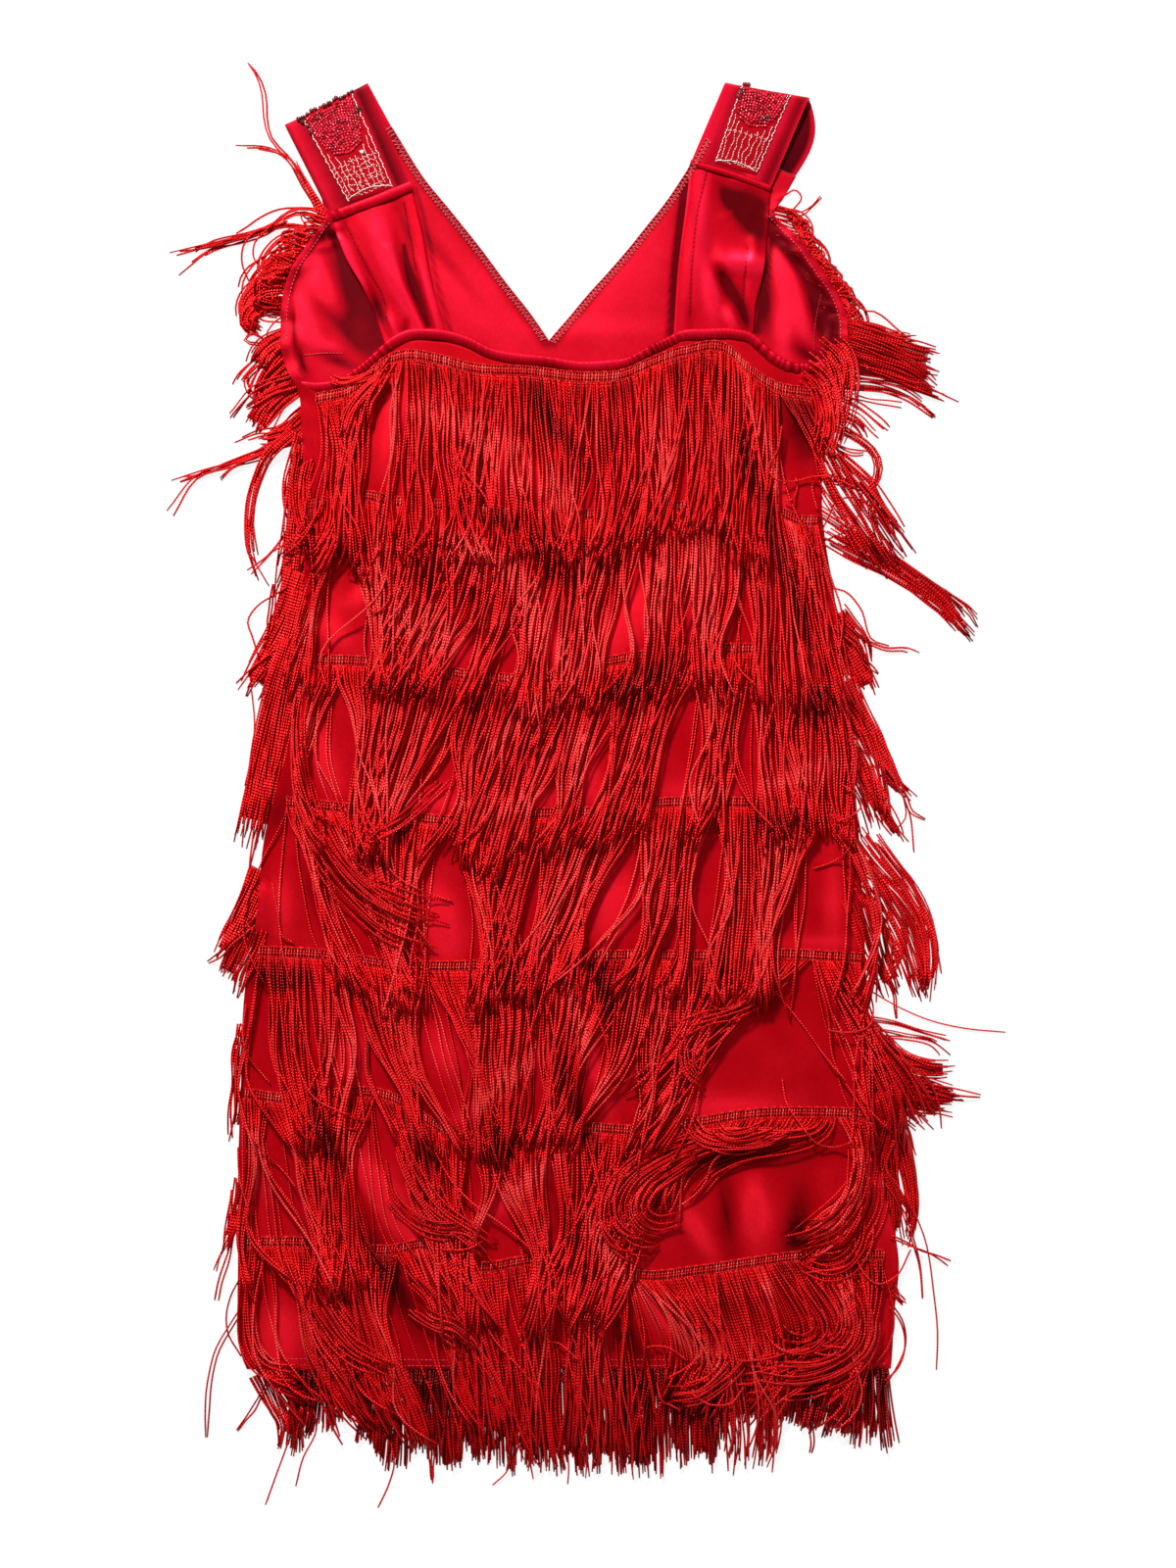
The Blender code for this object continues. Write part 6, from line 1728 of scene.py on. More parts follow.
def fine_path(solid, rise):
    """Points close together along paths, a little raised."""
    steps = solid.shape[1]
    fine = np.linspace(0, steps - 1, steps * 5)
    low = np.clip(fine.astype(int), 0, steps - 2)
    dense = lerp(solid[:, low], solid[:, low + 1], (fine - low)[None, :, None])
    dense[..., 2] += rise
    return dense


def bent(leans, s):
    """Lean along a thread, from its root's over its middle's to its tip's."""
    parts = (2 * (s - 0.5) * (s - 1), -4 * s * (s - 1), 2 * s * (s - 0.5))
    return sum(lean * part for lean, part in zip(leans, parts))


def guide_shape(guide):
    """Offsets of a guide's thread from its root, in millimetres."""
    steps = STRAND_STEPS
    if isinstance(guide, Way):
        path, length = line(guide.points, steps)
        path = path - path[0]
        if length > STRAND_LENGTH:
            at = np.linspace(0, STRAND_LENGTH / length, steps)
            path = along(path, np.linspace(0, 1, steps), at)
        return path
    lean = np.radians(bent(guide[1:], (np.arange(steps - 1) + 0.5) / (steps - 1)))
    way = np.stack([np.sin(lean), -np.cos(lean)], axis=1)
    return np.concatenate([np.zeros((1, 2)), np.cumsum(way, axis=0)]) * (STRAND_LENGTH / (steps - 1))


def clumped(rng, xs, widest):
    """For each root, its clump's number and its distance from the clump's middle."""
    bounds = [xs[0]]
    while bounds[-1] < xs[-1]:
        bounds.append(bounds[-1] + rng.uniform(*CLUMP_WIDTHS) * widest)
    many = len(bounds)
    number = np.searchsorted(bounds, xs, side="right") - 1
    members = (xs[number == n] for n in range(many))
    middles = np.array([own.mean() if len(own) else 0.0 for own in members])
    return number, xs - middles[number], many


def plan_locks(rng, header):
    """The locks that a row's threads gather into, shared by its layers."""
    bounds = [header[0][0] * STEP - 1]
    while bounds[-1] < header[-1][0] * STEP:
        bounds.append(bounds[-1] + rng.uniform(*LOCK_WIDTHS))
    many = len(bounds)
    bounds = np.array(bounds)
    return Locks(
        bounds=bounds,
        middles=(bounds + np.append(bounds[1:], bounds[-1] + 12)) / 2,
        gather=rng.uniform(*LOCK_GATHER, many),
        sway=np.radians(rng.normal(0, LOCK_SWAY, many)),
        wave=wandering(rng, many, STRAND_STEPS, LOCK_WAVE),
        reach=rng.normal(0, REACH_SPREAD, many),
        tone=rng.normal(0, LOCK_TONE, many),
    )


def pushed(chart, gap, moved):
    """Places of threads (n, m, 2) of the chart, pushed aside by one parting."""
    turn = math.radians(gap.turn)
    ahead = np.array([math.sin(turn), math.cos(turn)])
    side = np.array([math.cos(turn), -math.sin(turn)])
    away = chart - np.array([gap.x, gap.y])
    u = away @ ahead / (max(gap.length, 1.3 * gap.width) / 2)
    closest = np.argmin(np.abs(u), axis=1)
    v = (away @ side)[np.arange(len(u)), closest] / (gap.width / 2)
    passes = (u[:, 0] < -0.6) & (np.abs(u).min(axis=1) < 1.0)
    apart = np.abs(v)
    beside = np.where(apart < 1.6, 1.3 + (apart - 1) / 2, apart)
    target = np.where(apart < 1, 1 + 0.3 * apart, beside)
    shift = np.where(v + 0.001 >= 0, 1.0, -1.0) * (target - apart) * (gap.width / 2) * passes
    above, below = np.exp(-np.abs(u / 1.35) ** 2.2), 0.72 + 0.28 * np.exp(-(u / 1.5) ** 2)
    return chart + side * (shift[:, None] * np.where(u < 0, above, below) * moved)[..., None]


def parted(rng, paths):
    """Paths (n, m, 2) in millimetres, pushed aside where the fringe parts."""
    chart = chart_of(paths)
    free = np.clip(np.linspace(0, 1, STRAND_STEPS) / HELD_SHARE, 0, 1)[None] ** 1.5
    moved = (rng.random(len(paths)) > UNPARTED)[:, None] * free
    for gap in PARTINGS:
        chart = pushed(chart, gap, moved)
    chart = evened(evened(chart))
    return place(chart[..., 0], chart[..., 1])


def fringe_layer(rng, header, guides, kind, locks):
    """Paths, tones, humps and strays of one layer of threads along a header."""
    at = [guide.x for guide in guides]
    shapes = np.array([guide_shape(guide) for guide in guides])
    xs = np.arange(header[0][0] + 1, header[-1][0] - 1, kind.pitch / STEP)
    xs = xs + rng.uniform(-ROOT_JITTER, ROOT_JITTER, len(xs)) * kind.pitch / STEP
    count = len(xs)
    roots = place(xs, smooth(header, xs) + TAPE_WIDTH / STEP - 1)
    offsets = np.stack([along(shapes[:, m], at, xs) for m in range(STRAND_STEPS)], axis=1)
    number, apart, many = clumped(rng, xs * STEP, kind.widest)
    s = np.linspace(0, 1, STRAND_STEPS)
    lock = np.searchsorted(locks.bounds, xs * STEP, side="right") - 1
    inside = xs * STEP - locks.middles[lock]
    reach = 1 + rng.normal(0, REACH_SPREAD, count) + rng.normal(0, CLUMP_REACH, many)[number]
    reach = reach + locks.reach[lock]
    reach = reach - POINTED * kind.hump * np.clip(2 * np.abs(apart) / kind.widest, 0, 1) ** 2
    sway = np.radians(rng.normal(0, kind.sway, many))[number]
    sway = sway + np.radians(rng.normal(0, kind.own, count))
    gather = rng.uniform(*kind.gather, many)[number]
    wave = wandering(rng, many, STRAND_STEPS, kind.wave)[number]
    own = wandering(rng, count, STRAND_STEPS, kind.own)
    strays = rng.random(count) < kind.strays
    own[strays] *= STRAY_WAVE
    flare = FLARE * np.clip((s - FLARE_FROM) / (1 - FLARE_FROM), 0, 1)
    pull = np.clip(s / GATHERED_FROM, 0, 1) ** 1.5 * (1 - flare)
    sideways = (-apart[:, None] * gather[:, None] * pull[None]
                + wave * s[None] ** 0.7 + own * s[None] ** 0.8
                + locks.wave[lock] * s[None] ** 0.7
                + np.sin(sway + locks.sway[lock])[:, None] * STRAND_LENGTH * s[None])
    sideways = sideways - (inside * locks.gather[lock])[:, None] * pull[None]
    paths = roots[:, None] + offsets * reach[:, None, None]
    paths = parted(rng, paths - across(paths) * sideways[..., None])
    tone = rng.normal(0, CLUMP_TONE, many)[number] + locks.tone[lock]
    hump = 1 - np.clip(np.abs(apart) / (0.5 * kind.widest), 0, 1) ** 2
    return paths, tone, hump, strays


def fringe_tape(relief, parcel, header, rng):
    """The knitted header: a flat strip, bars and chains. Gives x and height along it."""
    xs = np.linspace(header[0][0], header[-1][0], 160)
    upper = place(xs, smooth(header, xs))
    spots = [upper - np.array([0.0, down]) for down in (0, 2, 4, 6, TAPE_WIDTH)]
    ground = np.max([relief.height(spot) for spot in spots], axis=0)
    ground = np.maximum(ground, running_mean(ground, 3)) + 0.15
    strip = np.concatenate([raised(edge, ground + 0.8) for edge in (spots[0], spots[-1])])
    shell(parcel, strip, sheet_faces(1, len(xs) - 1), wall=0.7, tone=0.06)
    run = run_along(upper)
    at = np.arange(0.8, run[-1], TAPE_STITCH)
    at = at + rng.uniform(-0.2, 0.2, len(at))
    x, y = along(upper, run, at).T[..., None]
    share, aside, rise = np.array(TAPE_BAR).T
    height = np.interp(at, run, ground)[:, None] + 1.0
    x = x + aside + rng.uniform(-0.3, 0.3, (len(at), 1))
    bars = np.stack([x, y - share * TAPE_WIDTH, height + rise], axis=-1)
    threads(parcel, bars, BAR_RADIUS, rng.uniform(*BAR_TONES, len(at)))
    fine = np.arange(0.3, run[-1], CHAIN_STEP)
    turns = fine / TAPE_STITCH * 2 * math.pi
    height = np.interp(fine, run, ground) + 1.45 + 0.25 * np.cos(turns)
    for chain in TAPE_CHAINS:
        path = along(upper, run, fine)
        path[:, 1] = path[:, 1] - chain.share * TAPE_WIDTH + chain.swing * np.sin(turns)
        threads(parcel, raised(path, height)[None], chain.radius, chain.tone)
    relief.stamp(bars)
    relief.stamp(strip)
    return upper[:, 0], ground + 1.0


def back_fringe(relief, number, row, rng):
    """One row of fringe: its tape with ladder stitches, and its layers of threads."""
    parcel = Parcel()
    tape_x, tape_height = fringe_tape(relief, parcel, row.header, rng)
    s = np.linspace(0, 1, STRAND_STEPS)
    body = np.sin(np.clip(s * 1.15, 0, 1) * math.pi)[None]
    rooted = np.clip(s / ROOT_SHARE, 0, 1)[None]
    locks = plan_locks(rng, row.header)
    for layer, kind in enumerate(LAYERS):
        paths, own, hump, strays = fringe_layer(rng, row.header, row.guides, kind, locks)
        count = len(paths)
        chart = chart_of(paths)
        folds = creased(BACK_CREASES, chart[..., 0], chart[..., 1])
        lift = STRAND_RADIUS + layer * LAYER_LIFT + rng.uniform(0, LOFT, count)[:, None]
        lift = lift + kind.hump * hump[:, None] * body
        lift = lift + np.where(strays, STRAY_LIFT, 0.0)[:, None]
        root = np.interp(paths[:, 0, 0], tape_x, tape_height) - 0.2
        heights = lerp(root[:, None], draped(relief, paths, lift, ROW_SLACK), rooted)
        # Tone: random by thread, clump and lock; painted shade at the root under the header, towards the tip and on
        # lower layers; painted light on clump humps; the creases beneath as painted light and shade; stray threads
        # paler
        tone = (ROW_TONE + row.tone + layer * LAYER_SHADE_STEP + own[:, None]
                + rng.normal(0, OWN_TONE, count)[:, None]
                + HUMP_LIGHT * hump[:, None] * body
                - ROOT_SHADE * np.exp(-((s - 0.02) / ROOT_SHARE) ** 2)[None]
                - TIP_SHADE * np.clip((s - 0.85) / 0.15, 0, 1)[None]
                + FOLD_SHADING * np.maximum(folds, TROUGH_SHARE * folds)
                + np.where(strays, STRAY_TONE, 0.0)[:, None])
        solid = raised(paths, heights)
        size = STRAND_RADIUS * rng.uniform(0.9, 1.12, count)
        threads(parcel, solid, size, np.clip(tone, *ROW_TONES), kind.sides, LOOSE_END)
        relief.stamp(fine_path(solid, STRAND_RADIUS * 0.6))
    relief.settle()
    for points in STRAYS.get(number, []):
        path = line(points, 26)[0][None]
        solid = raised(path, draped(relief, path, STRAND_RADIUS + 0.8, ROW_SLACK))
        threads(parcel, solid, STRAND_RADIUS * 0.9, tone=0.72, sides=4, taper=LOOSE_END)
    wisp_threads(relief, parcel, CURLS.get(number, []), rng, tone=0.58, ragged=0.35)
    return parcel


def lay_threads(relief, parcel, paths, lift, tone, size, taper):
    """Adds loose threads along paths (n, m, 2), laid on what is there."""
    heights = np.maximum(draped(relief, paths, lift, LOOSE_SLACK), STRAND_RADIUS + 0.15)
    solid = raised(paths, heights)
    threads(parcel, solid, size, np.clip(tone, DARKEST_THREAD, PALEST_THREAD), taper=taper)
    relief.stamp(fine_path(solid, STRAND_RADIUS / 3))


def armhole_loops(relief, parcel, loops, rng):
    """Single threads that leave the armhole, hang out over its edge and come back to it."""
    edge, _ = line(loops.edge, 100)
    out = across(edge[None])[0]
    count = loops.count
    start = rng.uniform(*LOOP_STARTS, count)[:, None]
    span = rng.uniform(*LOOP_SPANS, count)[:, None]
    far = loops.near + (loops.far - loops.near) * rng.random(count)[:, None]
    back = rng.uniform(*LOOP_RETURNS, count)[:, None]
    s = np.linspace(0, 1, WISP_STEPS)
    share = start + span * (s + 0.25 * np.sin(s * math.pi))[None]
    last = len(edge) - 1
    at = np.clip(share * last, 0, last).astype(int)
    hang = np.sin(s * math.pi)[None] ** 0.7 + back * np.clip(2 * s - 1, 0, 1)[None] ** 2
    paths = evened(edge[at] + out[at] * (far * hang)[..., None])
    lift = STRAND_RADIUS + rng.uniform(0, LOOP_LOFT, count)[:, None]
    tone = LOOP_TONE + rng.normal(0, LOOP_TONE_SPREAD, count)
    size = STRAND_RADIUS * rng.uniform(*LOOP_SIZES, count)
    lay_threads(relief, parcel, paths, lift, tone, size, taper=1.0)


def lies_over(wisp):
    """Whether a bunch starts well inside the dress's outline, and so lies on the back."""
    x, y = wisp.points[0]
    if y < SIDES[1].y:
        return False
    return edge_x("left", y) + 2 < x < edge_x("right", y) - 2


def tucked(points):
    """Places of a bunch's middle line, with a start further back, under the body."""
    (x0, y0), (x1, y1) = points[:2]
    back = TUCK / math.hypot(x1 - x0, y1 - y0)
    return [(x0 - (x1 - x0) * back, y0 - (y1 - y0) * back), *points]


def bunch(rng, wisp, centre, length, ragged):
    """Paths of a bunch's threads about its middle line."""
    s = np.linspace(0, 1, WISP_STEPS)
    side = across(centre[None])[0]
    count = wisp.count
    spread = np.linspace(-0.5, 0.5, count) if count > 1 else np.zeros(1)
    tips = spread + rng.normal(0, TIP_SPREAD, count) * (count > 3)
    spread = spread + rng.uniform(-0.5, 0.5, count) / max(count, 2)
    wide = lerp(wisp.root_spread * spread[:, None], wisp.tip_spread * tips[:, None], s) * STEP
    loose = min(LOOSEST, 0.4 + 0.012 * length) if count > 1 else 0.0
    wander = wandering(rng, count, WISP_STEPS, loose)
    reach = rng.uniform(*BUNCH_REACH, count) if count > 2 else np.ones(count)
    begin = rng.uniform(0, ragged, count) * (count > 2)
    paths = np.empty((count, WISP_STEPS, 2))
    for n in range(count):
        path = centre + side * (wide[n] + wander[n] * s ** 0.7)[:, None]
        paths[n] = along(path, s, begin[n] + (min(reach[n], 1.0) - begin[n]) * s)
        if reach[n] > 1:
            paths[n, -1] += (path[-1] - path[-2]) * (reach[n] - 1) * WISP_STEPS
    return paths


def mat(wisp, centre):
    """Close, even threads that lie beneath a full bunch."""
    s = np.linspace(0, 1, WISP_STEPS)
    widest = max(wisp.root_spread, wisp.tip_spread) * STEP
    spread = np.linspace(-0.5, 0.5, int(widest / MAT_PITCH) + 2)[:, None]
    width = lerp(wisp.root_spread, wisp.tip_spread, s) * STEP * MAT_SHARE
    path = along(centre, s, MAT_REACH * s)[None]
    return path + across(centre[None]) * (spread * width)[..., None]


def wisp_threads(relief, parcel, wisps, rng, tone, under=False, ragged=0.0):
    """Loose bunches of threads, each along its own path."""
    arch = np.sin(np.linspace(0, 1, WISP_STEPS) * math.pi)[None]
    for wisp in wisps:
        centre, length = line(tucked(wisp.points) if under else wisp.points, WISP_STEPS)
        layers = [(bunch(rng, wisp, centre, length, ragged), BUNCH_LOFT, 0.0)]
        if under and wisp.count >= FULL_BUNCH:
            layers.insert(0, (mat(wisp, centre), MAT_LOFT, MAT_SHADE))
        for paths, loft, shade in layers:
            count = len(paths)
            lift = STRAND_RADIUS + rng.uniform(0, loft, count)[:, None] * (0.4 + 0.6 * arch)
            # A mat gets painted shade beneath its bunch, and a bunch's raised middle gets painted light
            own = tone + shade + rng.normal(0, BUNCH_TONE, count)[:, None] + ARCH_LIGHT * arch
            size = STRAND_RADIUS * rng.uniform(*BUNCH_SIZES, count)
            lay_threads(relief, parcel, paths, lift, own, size, taper=LOOSE_END)


def hem_fringe(relief, parcel, rng):
    """The front's last row where it shows past the hem."""
    s = np.linspace(0, 1, HEM_STEPS)
    places, *leans, lengths = np.array(HEM_FRINGE, float).T
    for layer in HEM_LAYERS:
        xs = np.arange(places[0], places[-1], layer.pitch)
        xs = xs + rng.uniform(-HEM_JITTER, HEM_JITTER, len(xs))
        count = len(xs)
        number, apart, many = clumped(rng, xs * STEP, HEM_CLUMP)
        lean = np.radians(bent([np.interp(xs, places, own)[:, None] for own in leans], s)
                          + rng.normal(0, layer.clump_sway, many)[number][:, None]
                          + rng.normal(0, layer.own_sway, count)[:, None])
        pointed = 1.06 - HEM_POINTED * np.clip(np.abs(apart) / 6.0, 0, 1) ** 2
        length = np.interp(xs, places, lengths) * STEP
        length = length * rng.uniform(*HEM_CLUMP_REACH, many)[number]
        length = length * rng.uniform(*HEM_REACH, count) * pointed
        way = np.stack([np.sin(lean), -np.cos(lean)], axis=-1)
        steps = way * (length / (HEM_STEPS - 1))[:, None, None]
        roots = place(xs, np.full(count, SIDES[-1].y - HEM_TUCK))
        paths = roots[:, None] + np.cumsum(steps, axis=1)
        gather = rng.uniform(*HEM_GATHER, many)[number] * layer.gather
        paths[..., 0] -= apart[:, None] * gather[:, None] * s[None]
        lift = STRAND_RADIUS + layer.lift + rng.uniform(0, HEM_LOFT, count)[:, None]
        heights = draped(relief, paths, lift, LOOSE_SLACK)
        heights[:, 0] = STRAND_RADIUS + 0.4
        tone = HEM_TONE + rng.normal(0, 0.06, many)[number] + rng.normal(0, 0.09, count)
        # Painted shade at the roots, under the hem, and painted light towards the tips
        shade, tip_light = HEM_ROOT_SHADE * np.exp(-(s / 0.35) ** 2), HEM_TIP_LIGHT * s ** 2
        tone = tone[:, None] - shade[None] + tip_light[None]
        tone = np.clip(tone, DARKEST_THREAD, PALEST_THREAD)
        solid = raised(paths, heights)
        size = STRAND_RADIUS * rng.uniform(0.95, 1.15, count)
        threads(parcel, solid, size, tone, taper=LOOSE_END)
        relief.stamp(solid)
    wisp_threads(relief, parcel, HEM_WISPS, rng, tone=0.35)


# ---------------------------------------------------------------- stitches and beads


def dashes(relief, parcel, stitch):
    """A row of stitches along places of the chart."""
    path, total = line(stitch.points, 200)
    starts = np.arange(0, total - stitch.length, stitch.pitch)[:, None]
    flat = along(path, np.linspace(0, total, len(path)), starts + np.linspace(0, stitch.length, 4))
    heights = relief.height(flat) + stitch.radius * np.array([-0.3, 0.35, 0.35, -0.3])
    threads(parcel, raised(flat, heights), stitch.radius, stitch.tone)


def overlock(relief, parcel, points, inward):
    """Zigzag stitches that bind an edge, with a looped thread along it."""
    path, total = line(points, 300)
    count = int(total / OVERLOCK_PITCH)
    at = np.arange(count * 4 + 1) * OVERLOCK_PITCH / 4
    spots = along(path, np.linspace(0, total, len(path)), at)
    side = across(spots[None])[0] * inward
    reach = np.tile(OVERLOCK_REACH, count + 1)[:len(at)]
    flat = spots + side * (reach * OVERLOCK_WIDTH)[:, None]
    zigzag = relief.on_top(flat, 0.30 + 0.15 * np.sin(np.arange(len(at))))
    threads(parcel, zigzag[None], radius=0.45, tone=0.8, sides=4)
    edge = spots + side * (0.25 + 0.25 * np.sin(at / OVERLOCK_PITCH * 2 * math.pi))[:, None]
    looped = raised(edge, relief.height(spots + side * 0.8) + 0.25)
    threads(parcel, looped[None], radius=0.5, tone=0.45, sides=4)


def trim_place(corners, u, v):
    """Places on a trim, from its share across and its share down."""
    top_left, top_right, low_left, low_right = (place(*corner) for corner in corners)
    u, v = np.asarray(u, float)[..., None], np.asarray(v, float)[..., None]
    return lerp(lerp(top_left, top_right, u), lerp(low_left, low_right, u), v)


def trim_shares(corners, spots):
    """Shares across and down of places on a trim."""
    top_left, top_right, low_left, low_right = (place(*corner) for corner in corners)
    downward = (low_left + low_right - top_left - top_right) / 2
    grid = np.stack([top_right - top_left, downward], axis=1)
    return np.linalg.solve(grid, (spots - top_left).T)


def trim_ground(relief, side, trim, material):
    """The patch of cloth beneath the beads."""
    down, wide = 24, 14
    v, u = np.meshgrid(np.linspace(0, 1, down + 1), np.linspace(0, 1, wide + 1), indexing="ij")
    patch = relief.on_top(trim_place(trim.corners, u, v).reshape(-1, 2), 0.45)
    parcel = Parcel()
    shell(parcel, patch, sheet_faces(down, wide), wall=0.4, tone=0.5)
    relief.stamp_faces(patch, sheet_faces(down, wide), 4)
    made = parcel.make(f"bead_trim_cloth_{side}", material, SHEET_SHARP)
    return finish_piece(made, "red_beads", f"bead_trim_{side}")


def trim_seeds(relief, side, trim, material, rng):
    """Seed beads in the rings of a fan."""
    apex = trim_place(trim.corners, trim.middle, trim.apex)
    top = trim_place(trim.corners, trim.middle, 0.03)
    reach = np.linalg.norm(top - apex)
    ahead = (top - apex) / reach
    left = np.array([-ahead[1], ahead[0]])
    spots = []
    for ring in np.arange(1.2, reach * 1.5, RING_PITCH):
        count = max(int(2 * FAN_HALF * ring / BEAD_PITCH), 2)
        for angle in np.linspace(-FAN_HALF, FAN_HALF, count):
            spots.append(apex + ring * (ahead * math.cos(angle) + left * math.sin(angle)))
    spots = np.array(spots)
    u, v = trim_shares(trim.corners, spots)
    half = FAN_WIDTH * np.sqrt(np.clip(1 - (v / (trim.apex + FAN_FOOT)) ** 2, 0, 1))
    spots = spots[(v > 0.02) & (np.abs(u - 0.5) < half)]
    spots = spots + rng.normal(0, SEED_JITTER, spots.shape)
    tone = rng.uniform(0, 1, len(spots))
    dark = rng.random(len(spots)) < DARK_SEEDS
    tone = np.where(dark, 0.1 * tone, 0.35 + 0.65 * tone)
    radii = SEED_RADIUS + rng.uniform(-SEED_SPREAD, SEED_SPREAD, len(spots))
    parcel = Parcel()
    beads(parcel, relief.on_top(spots, 0.6), radii, tone)
    return finish_piece(parcel.make(f"bead_trim_seeds_{side}", material), "red_beads")


def trim_drops(relief, side, trim, material, rng):
    """Dark drop beads along the trim's edge."""
    count = len(trim.drops)
    spots = place(*np.array(trim.drops, float).T) + rng.normal(0, DROP_JITTER, (count, 2))
    hung = relief.on_top(spots, 0.9)
    hung[:, 2] = np.maximum(hung[:, 2], BEAD_LOWEST)
    radii = rng.uniform(*DROP_RADII, count)
    parcel = Parcel()
    beads(parcel, hung, radii, rng.uniform(0, 1, count), around=8, rings=6)
    return finish_piece(parcel.make(f"bead_trim_drops_{side}", material), "red_beads")


def metal_stitches(relief, parcel, path, pitch, radius, rng):
    """A metal thread along a path, that shows in short lengths."""
    run = run_along(path)
    length = METAL_SHARE * pitch
    starts = np.arange(0.3 * rng.random(), run[-1] - length, pitch)[:, None]
    flat = along(path, run, starts + np.linspace(0, length, 4))
    flat = flat + rng.normal(0, METAL_JITTER, (len(starts), 1, 2))
    heights = relief.height(flat) + 0.2 + radius * np.array([-0.3, 0.7, 0.7, -0.3])
    size = radius * rng.uniform(*METAL_SIZES, len(starts))
    threads(parcel, raised(flat, heights), size, tone=0.8, sides=4, taper=0.8)


def trim_lattice(relief, side, trim, material, rng):
    """Metal threads: both sides, an arch along the foot, bars from the fan and short courses."""
    parcel = Parcel()

    def sew(u, v, pitch, radius):
        metal_stitches(relief, parcel, trim_place(trim.corners, u, v), pitch, radius, rng)

    at = np.linspace(0.0, 1.0, 60)
    for column in (0.0, 1.0):
        sew(column + 0.010 * np.sin(at * 70 + column), at, pitch=2.2, radius=0.36)
    at = np.linspace(0, 1, 40)
    sew(at, 0.97 - 0.05 * np.sin(at * math.pi), pitch=1.6, radius=0.34)
    columns = [(number + 0.7) / (trim.bars + 0.4) for number in range(trim.bars)]
    for column in columns:
        fan = trim.apex * math.sqrt(max(1 - (1.7 * (column - 0.5)) ** 2, 0.0))
        at = np.linspace(fan + 0.04 + 0.05 * rng.random(), 0.94, 34)
        wobble = column + 0.008 * np.sin(at * 40 + rng.uniform(0, 6))
        sew(wobble + wandering(rng, 1, 34, 0.018, knots=6)[0], at, pitch=2.0, radius=0.22)
    for down in np.linspace(trim.apex + 0.10, 0.95, trim.courses):
        for column in columns:
            at = np.linspace(column - 0.06, column + 0.06, 7)
            height = down + rng.uniform(-0.014, 0.014) + 0.010 * np.sin(at * 60)
            sew(np.clip(at, 0, 1), height, pitch=1.9, radius=0.18)
    for spot in trim.gold:
        beads(parcel, relief.on_top(place(*spot)[None], 0.9), 1.5, 1.0, around=10, rings=8)
    return finish_piece(parcel.make(f"bead_trim_lattice_{side}", material), "red_beads")


# ---------------------------------------------------------------- build

relief = Relief()
rng = np.random.default_rng(SEED)

satins = {name: satin(name) for name in SATINS}
thread = chainette("chainette_thread", THREAD_COLORS, sheen=0.45)
sewing = chainette("sewing_thread", SEWING_COLORS, sheen=0.0)
seed_bead = glass_bead("seed_bead", SEED_BEAD_COLORS)
dark_bead = glass_bead("dark_bead", DARK_BEAD_COLORS)
gold = metallic_thread("gold_thread", GOLD_COLORS)

bunches = {name: Parcel() for name in WISPS}
for name, wisps in WISPS.items():
    lower = [wisp for wisp in wisps if not lies_over(wisp)]
    wisp_threads(relief, bunches[name], lower, rng, tone=0.44, under=True)
    if name in LOOPS:
        armhole_loops(relief, bunches[name], LOOPS[name], rng)
parcel = Parcel()
hem_fringe(relief, parcel, rng)
finish_piece(parcel.make("threads_front_hem", thread), "red_chainette", "fringe_front_hem")
relief.settle()
front = front_panel(relief, satins["satin_wrong_side"])
back = back_panel(relief, satins["back_satin_face"])
for name, wisps in WISPS.items():
    upper = [wisp for wisp in wisps if lies_over(wisp)]
    wisp_threads(relief, bunches[name], upper, rng, tone=0.4, ragged=0.25)
    made = bunches[name].make(name.replace("fringe", "threads"), thread)
    finish_piece(made, "red_chainette", name)
shoulders = [
    shoulder_piece(relief, side, bands, satins["satin_face"])
    for side, bands in (("left", SHOULDER_LEFT), ("right", SHOULDER_RIGHT))
]
neck = casing(relief, satins["satin_face"])
straps = [
    strap_piece(relief, side, strap, satins["strap_satin"])
    for side, strap in (("left", STRAP_LEFT), ("right", STRAP_RIGHT))
]
trims = {}
for side, trim in TRIMS.items():
    trims[side] = (
        trim_ground(relief, side, trim, satins["trim_ground"]),
        [
            trim_seeds(relief, side, trim, seed_bead, rng),
            trim_drops(relief, side, trim, dark_bead, rng),
            trim_lattice(relief, side, trim, gold, rng),
        ],
    )

parcel = Parcel()
for band in SEAM_BANDS:
    seam_band(relief, parcel, band)
finish_piece(parcel.make("shoulder_seam_bands", satins["satin_face"], ROLL_SHARP), "red_satin")

parcel = Parcel()
for flaps, inward in ((FLAP_LEFT, -1), (FLAP_RIGHT, 1)):
    overlock(relief, parcel, [(flap.neck_x, flap.neck_y) for flap in reversed(flaps)], inward)
for stitch in STITCHING:
    dashes(relief, parcel, stitch)
finish_piece(parcel.make("stitching", sewing), "red_chainette")

rows = []
for number in range(len(FRINGE_ROWS), 0, -1):
    parcel = back_fringe(relief, number, FRINGE_ROWS[number - 1], rng)
    made = parcel.make(f"threads_back_{number}", thread)
    rows.append(finish_piece(made, "red_chainette", f"fringe_back_{number}"))

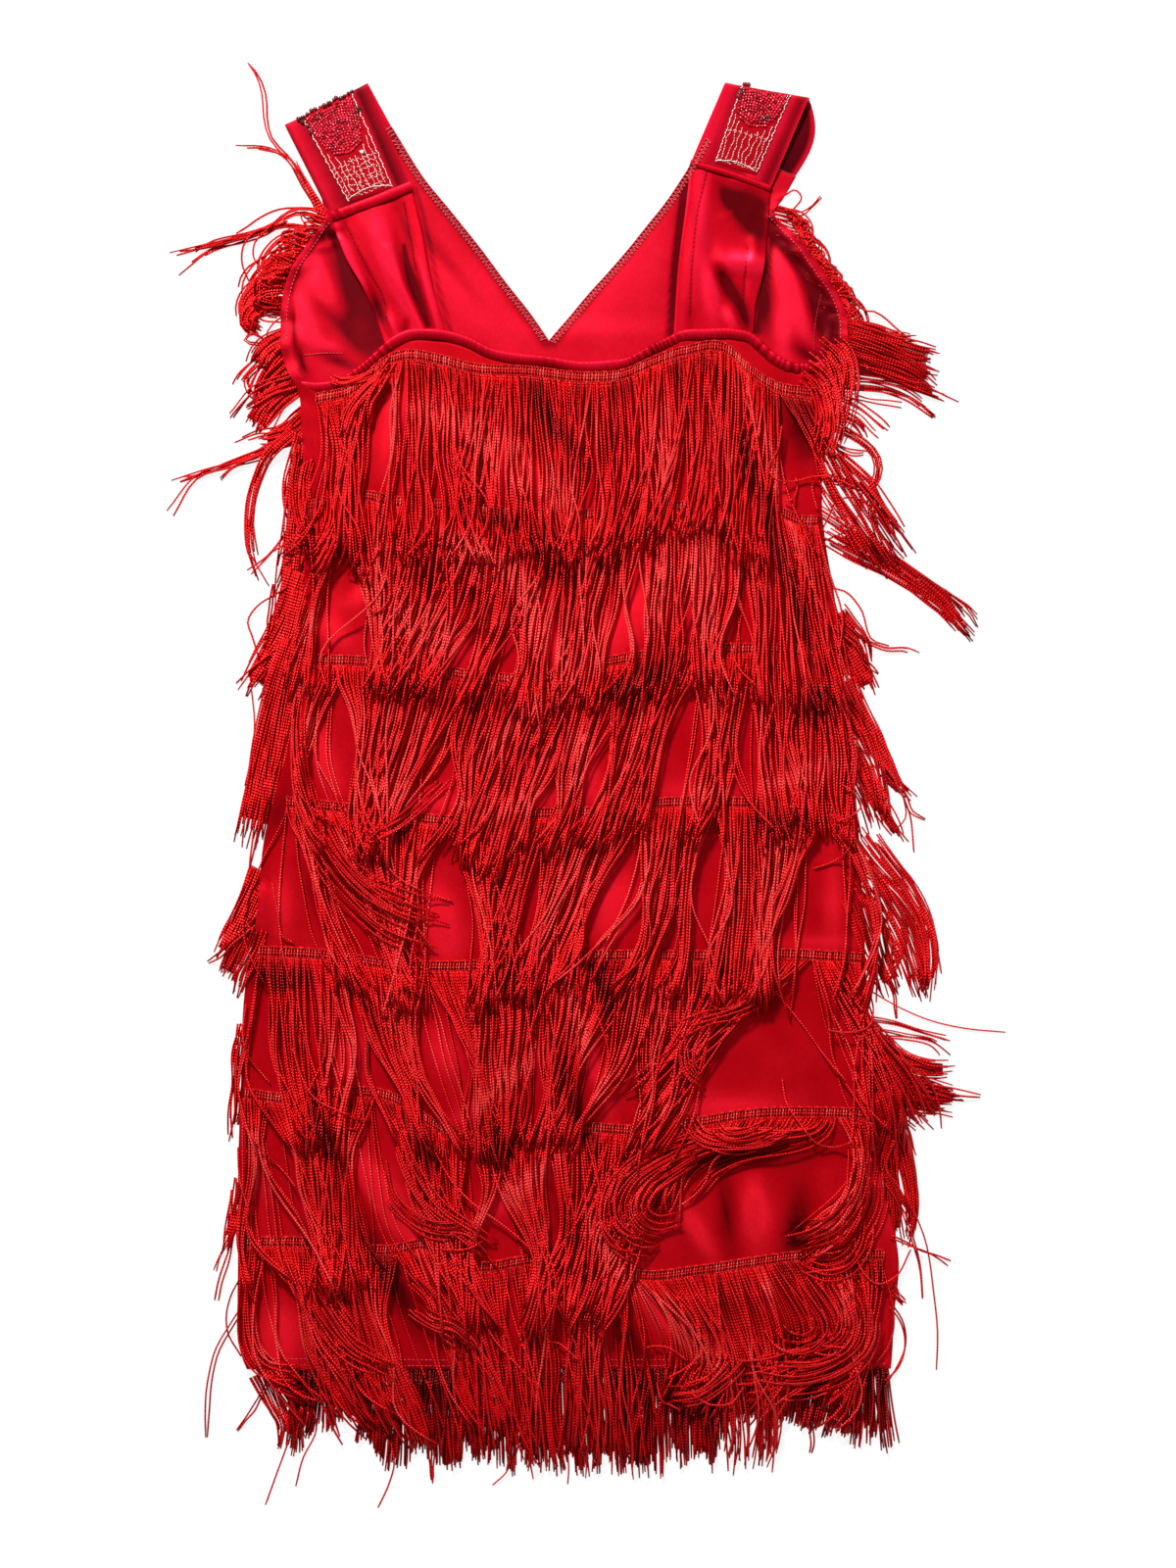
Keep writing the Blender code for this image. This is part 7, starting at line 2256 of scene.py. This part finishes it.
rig.sheet(front, flat=(0.49, 0.94), held="laid", rests_on=["back_satin"], area=0.40)
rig.sheet(back, flat=(0.49, 0.76), held="laid", rests_on=["front_satin"], with_pieces=rows)
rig.sheet(shoulders[0], flat=(0.062, 0.105), held="laid", rests_on=["front_satin"])
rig.sheet(shoulders[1], flat=(0.062, 0.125), held="laid", rests_on=["front_satin"])
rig.sheet(neck, flat=(0.010, 0.50), held="stretched", rests_on=["back_satin"], area=0.0042)
for obj in straps:
    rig.sheet(obj, flat=(0.068, 0.125), held="folded", rests_on=["front_satin"])
for side, size in (("left", (0.038, 0.062)), ("right", (0.032, 0.060))):
    base, extras = trims[side]
    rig.sheet(base, flat=size, held="laid", rests_on=[f"strap_cloth_{side}"], with_pieces=extras)

# ---------------------------------------------------------------- floor, light and camera

bpy.ops.mesh.primitive_plane_add(size=14)
floor = bpy.context.object
floor.name = "floor"
floor.data.materials.append(floor_paint("floor_paint"))
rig.stage(floor)


def soft_light(name, spot, size, power):
    data = bpy.data.lights.new(name, "AREA")
    data.shape = "RECTANGLE"
    data.size, data.size_y = size
    data.energy = power
    data.color = (1, 1, 1)
    obj = bpy.data.objects.new(name, data)
    obj.location = spot
    obj.rotation_euler = (-Vector(spot)).to_track_quat("-Z", "Y").to_euler()
    bpy.context.scene.collection.objects.link(obj)


soft_light("key", (-0.75, 2.1, 1.9), size=(0.4, 0.4), power=130)
soft_light("fill", (1.6, -1.2, 2.2), size=(1.6, 1.6), power=8)
world = bpy.data.worlds.new("studio")
world.use_nodes = True
feed(world.node_tree, world.node_tree.nodes["Background"], {"Color": grey(1.0), "Strength": 0.28})
bpy.context.scene.world = world

camera_data = bpy.data.cameras.new("camera")
camera_data.sensor_width = SENSOR_WIDTH
camera_data.lens = SENSOR_WIDTH * CAMERA_HEIGHT / VIEW_LONG
camera = bpy.data.objects.new("camera", camera_data)
middle = place(*VIEW_CENTRE) * MM
camera.location = (middle[0], middle[1], CAMERA_HEIGHT + 0.005)
bpy.context.scene.collection.objects.link(camera)
bpy.context.scene.camera = camera
bpy.context.scene.view_settings.view_transform = "Standard"

with open("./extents.json", "w") as out:
    sizes = {
        "cad": [list(corner) for corner in cad_box],
        "visual": [list(corner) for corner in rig.bounds()],
    }
    json.dump(sizes, out)
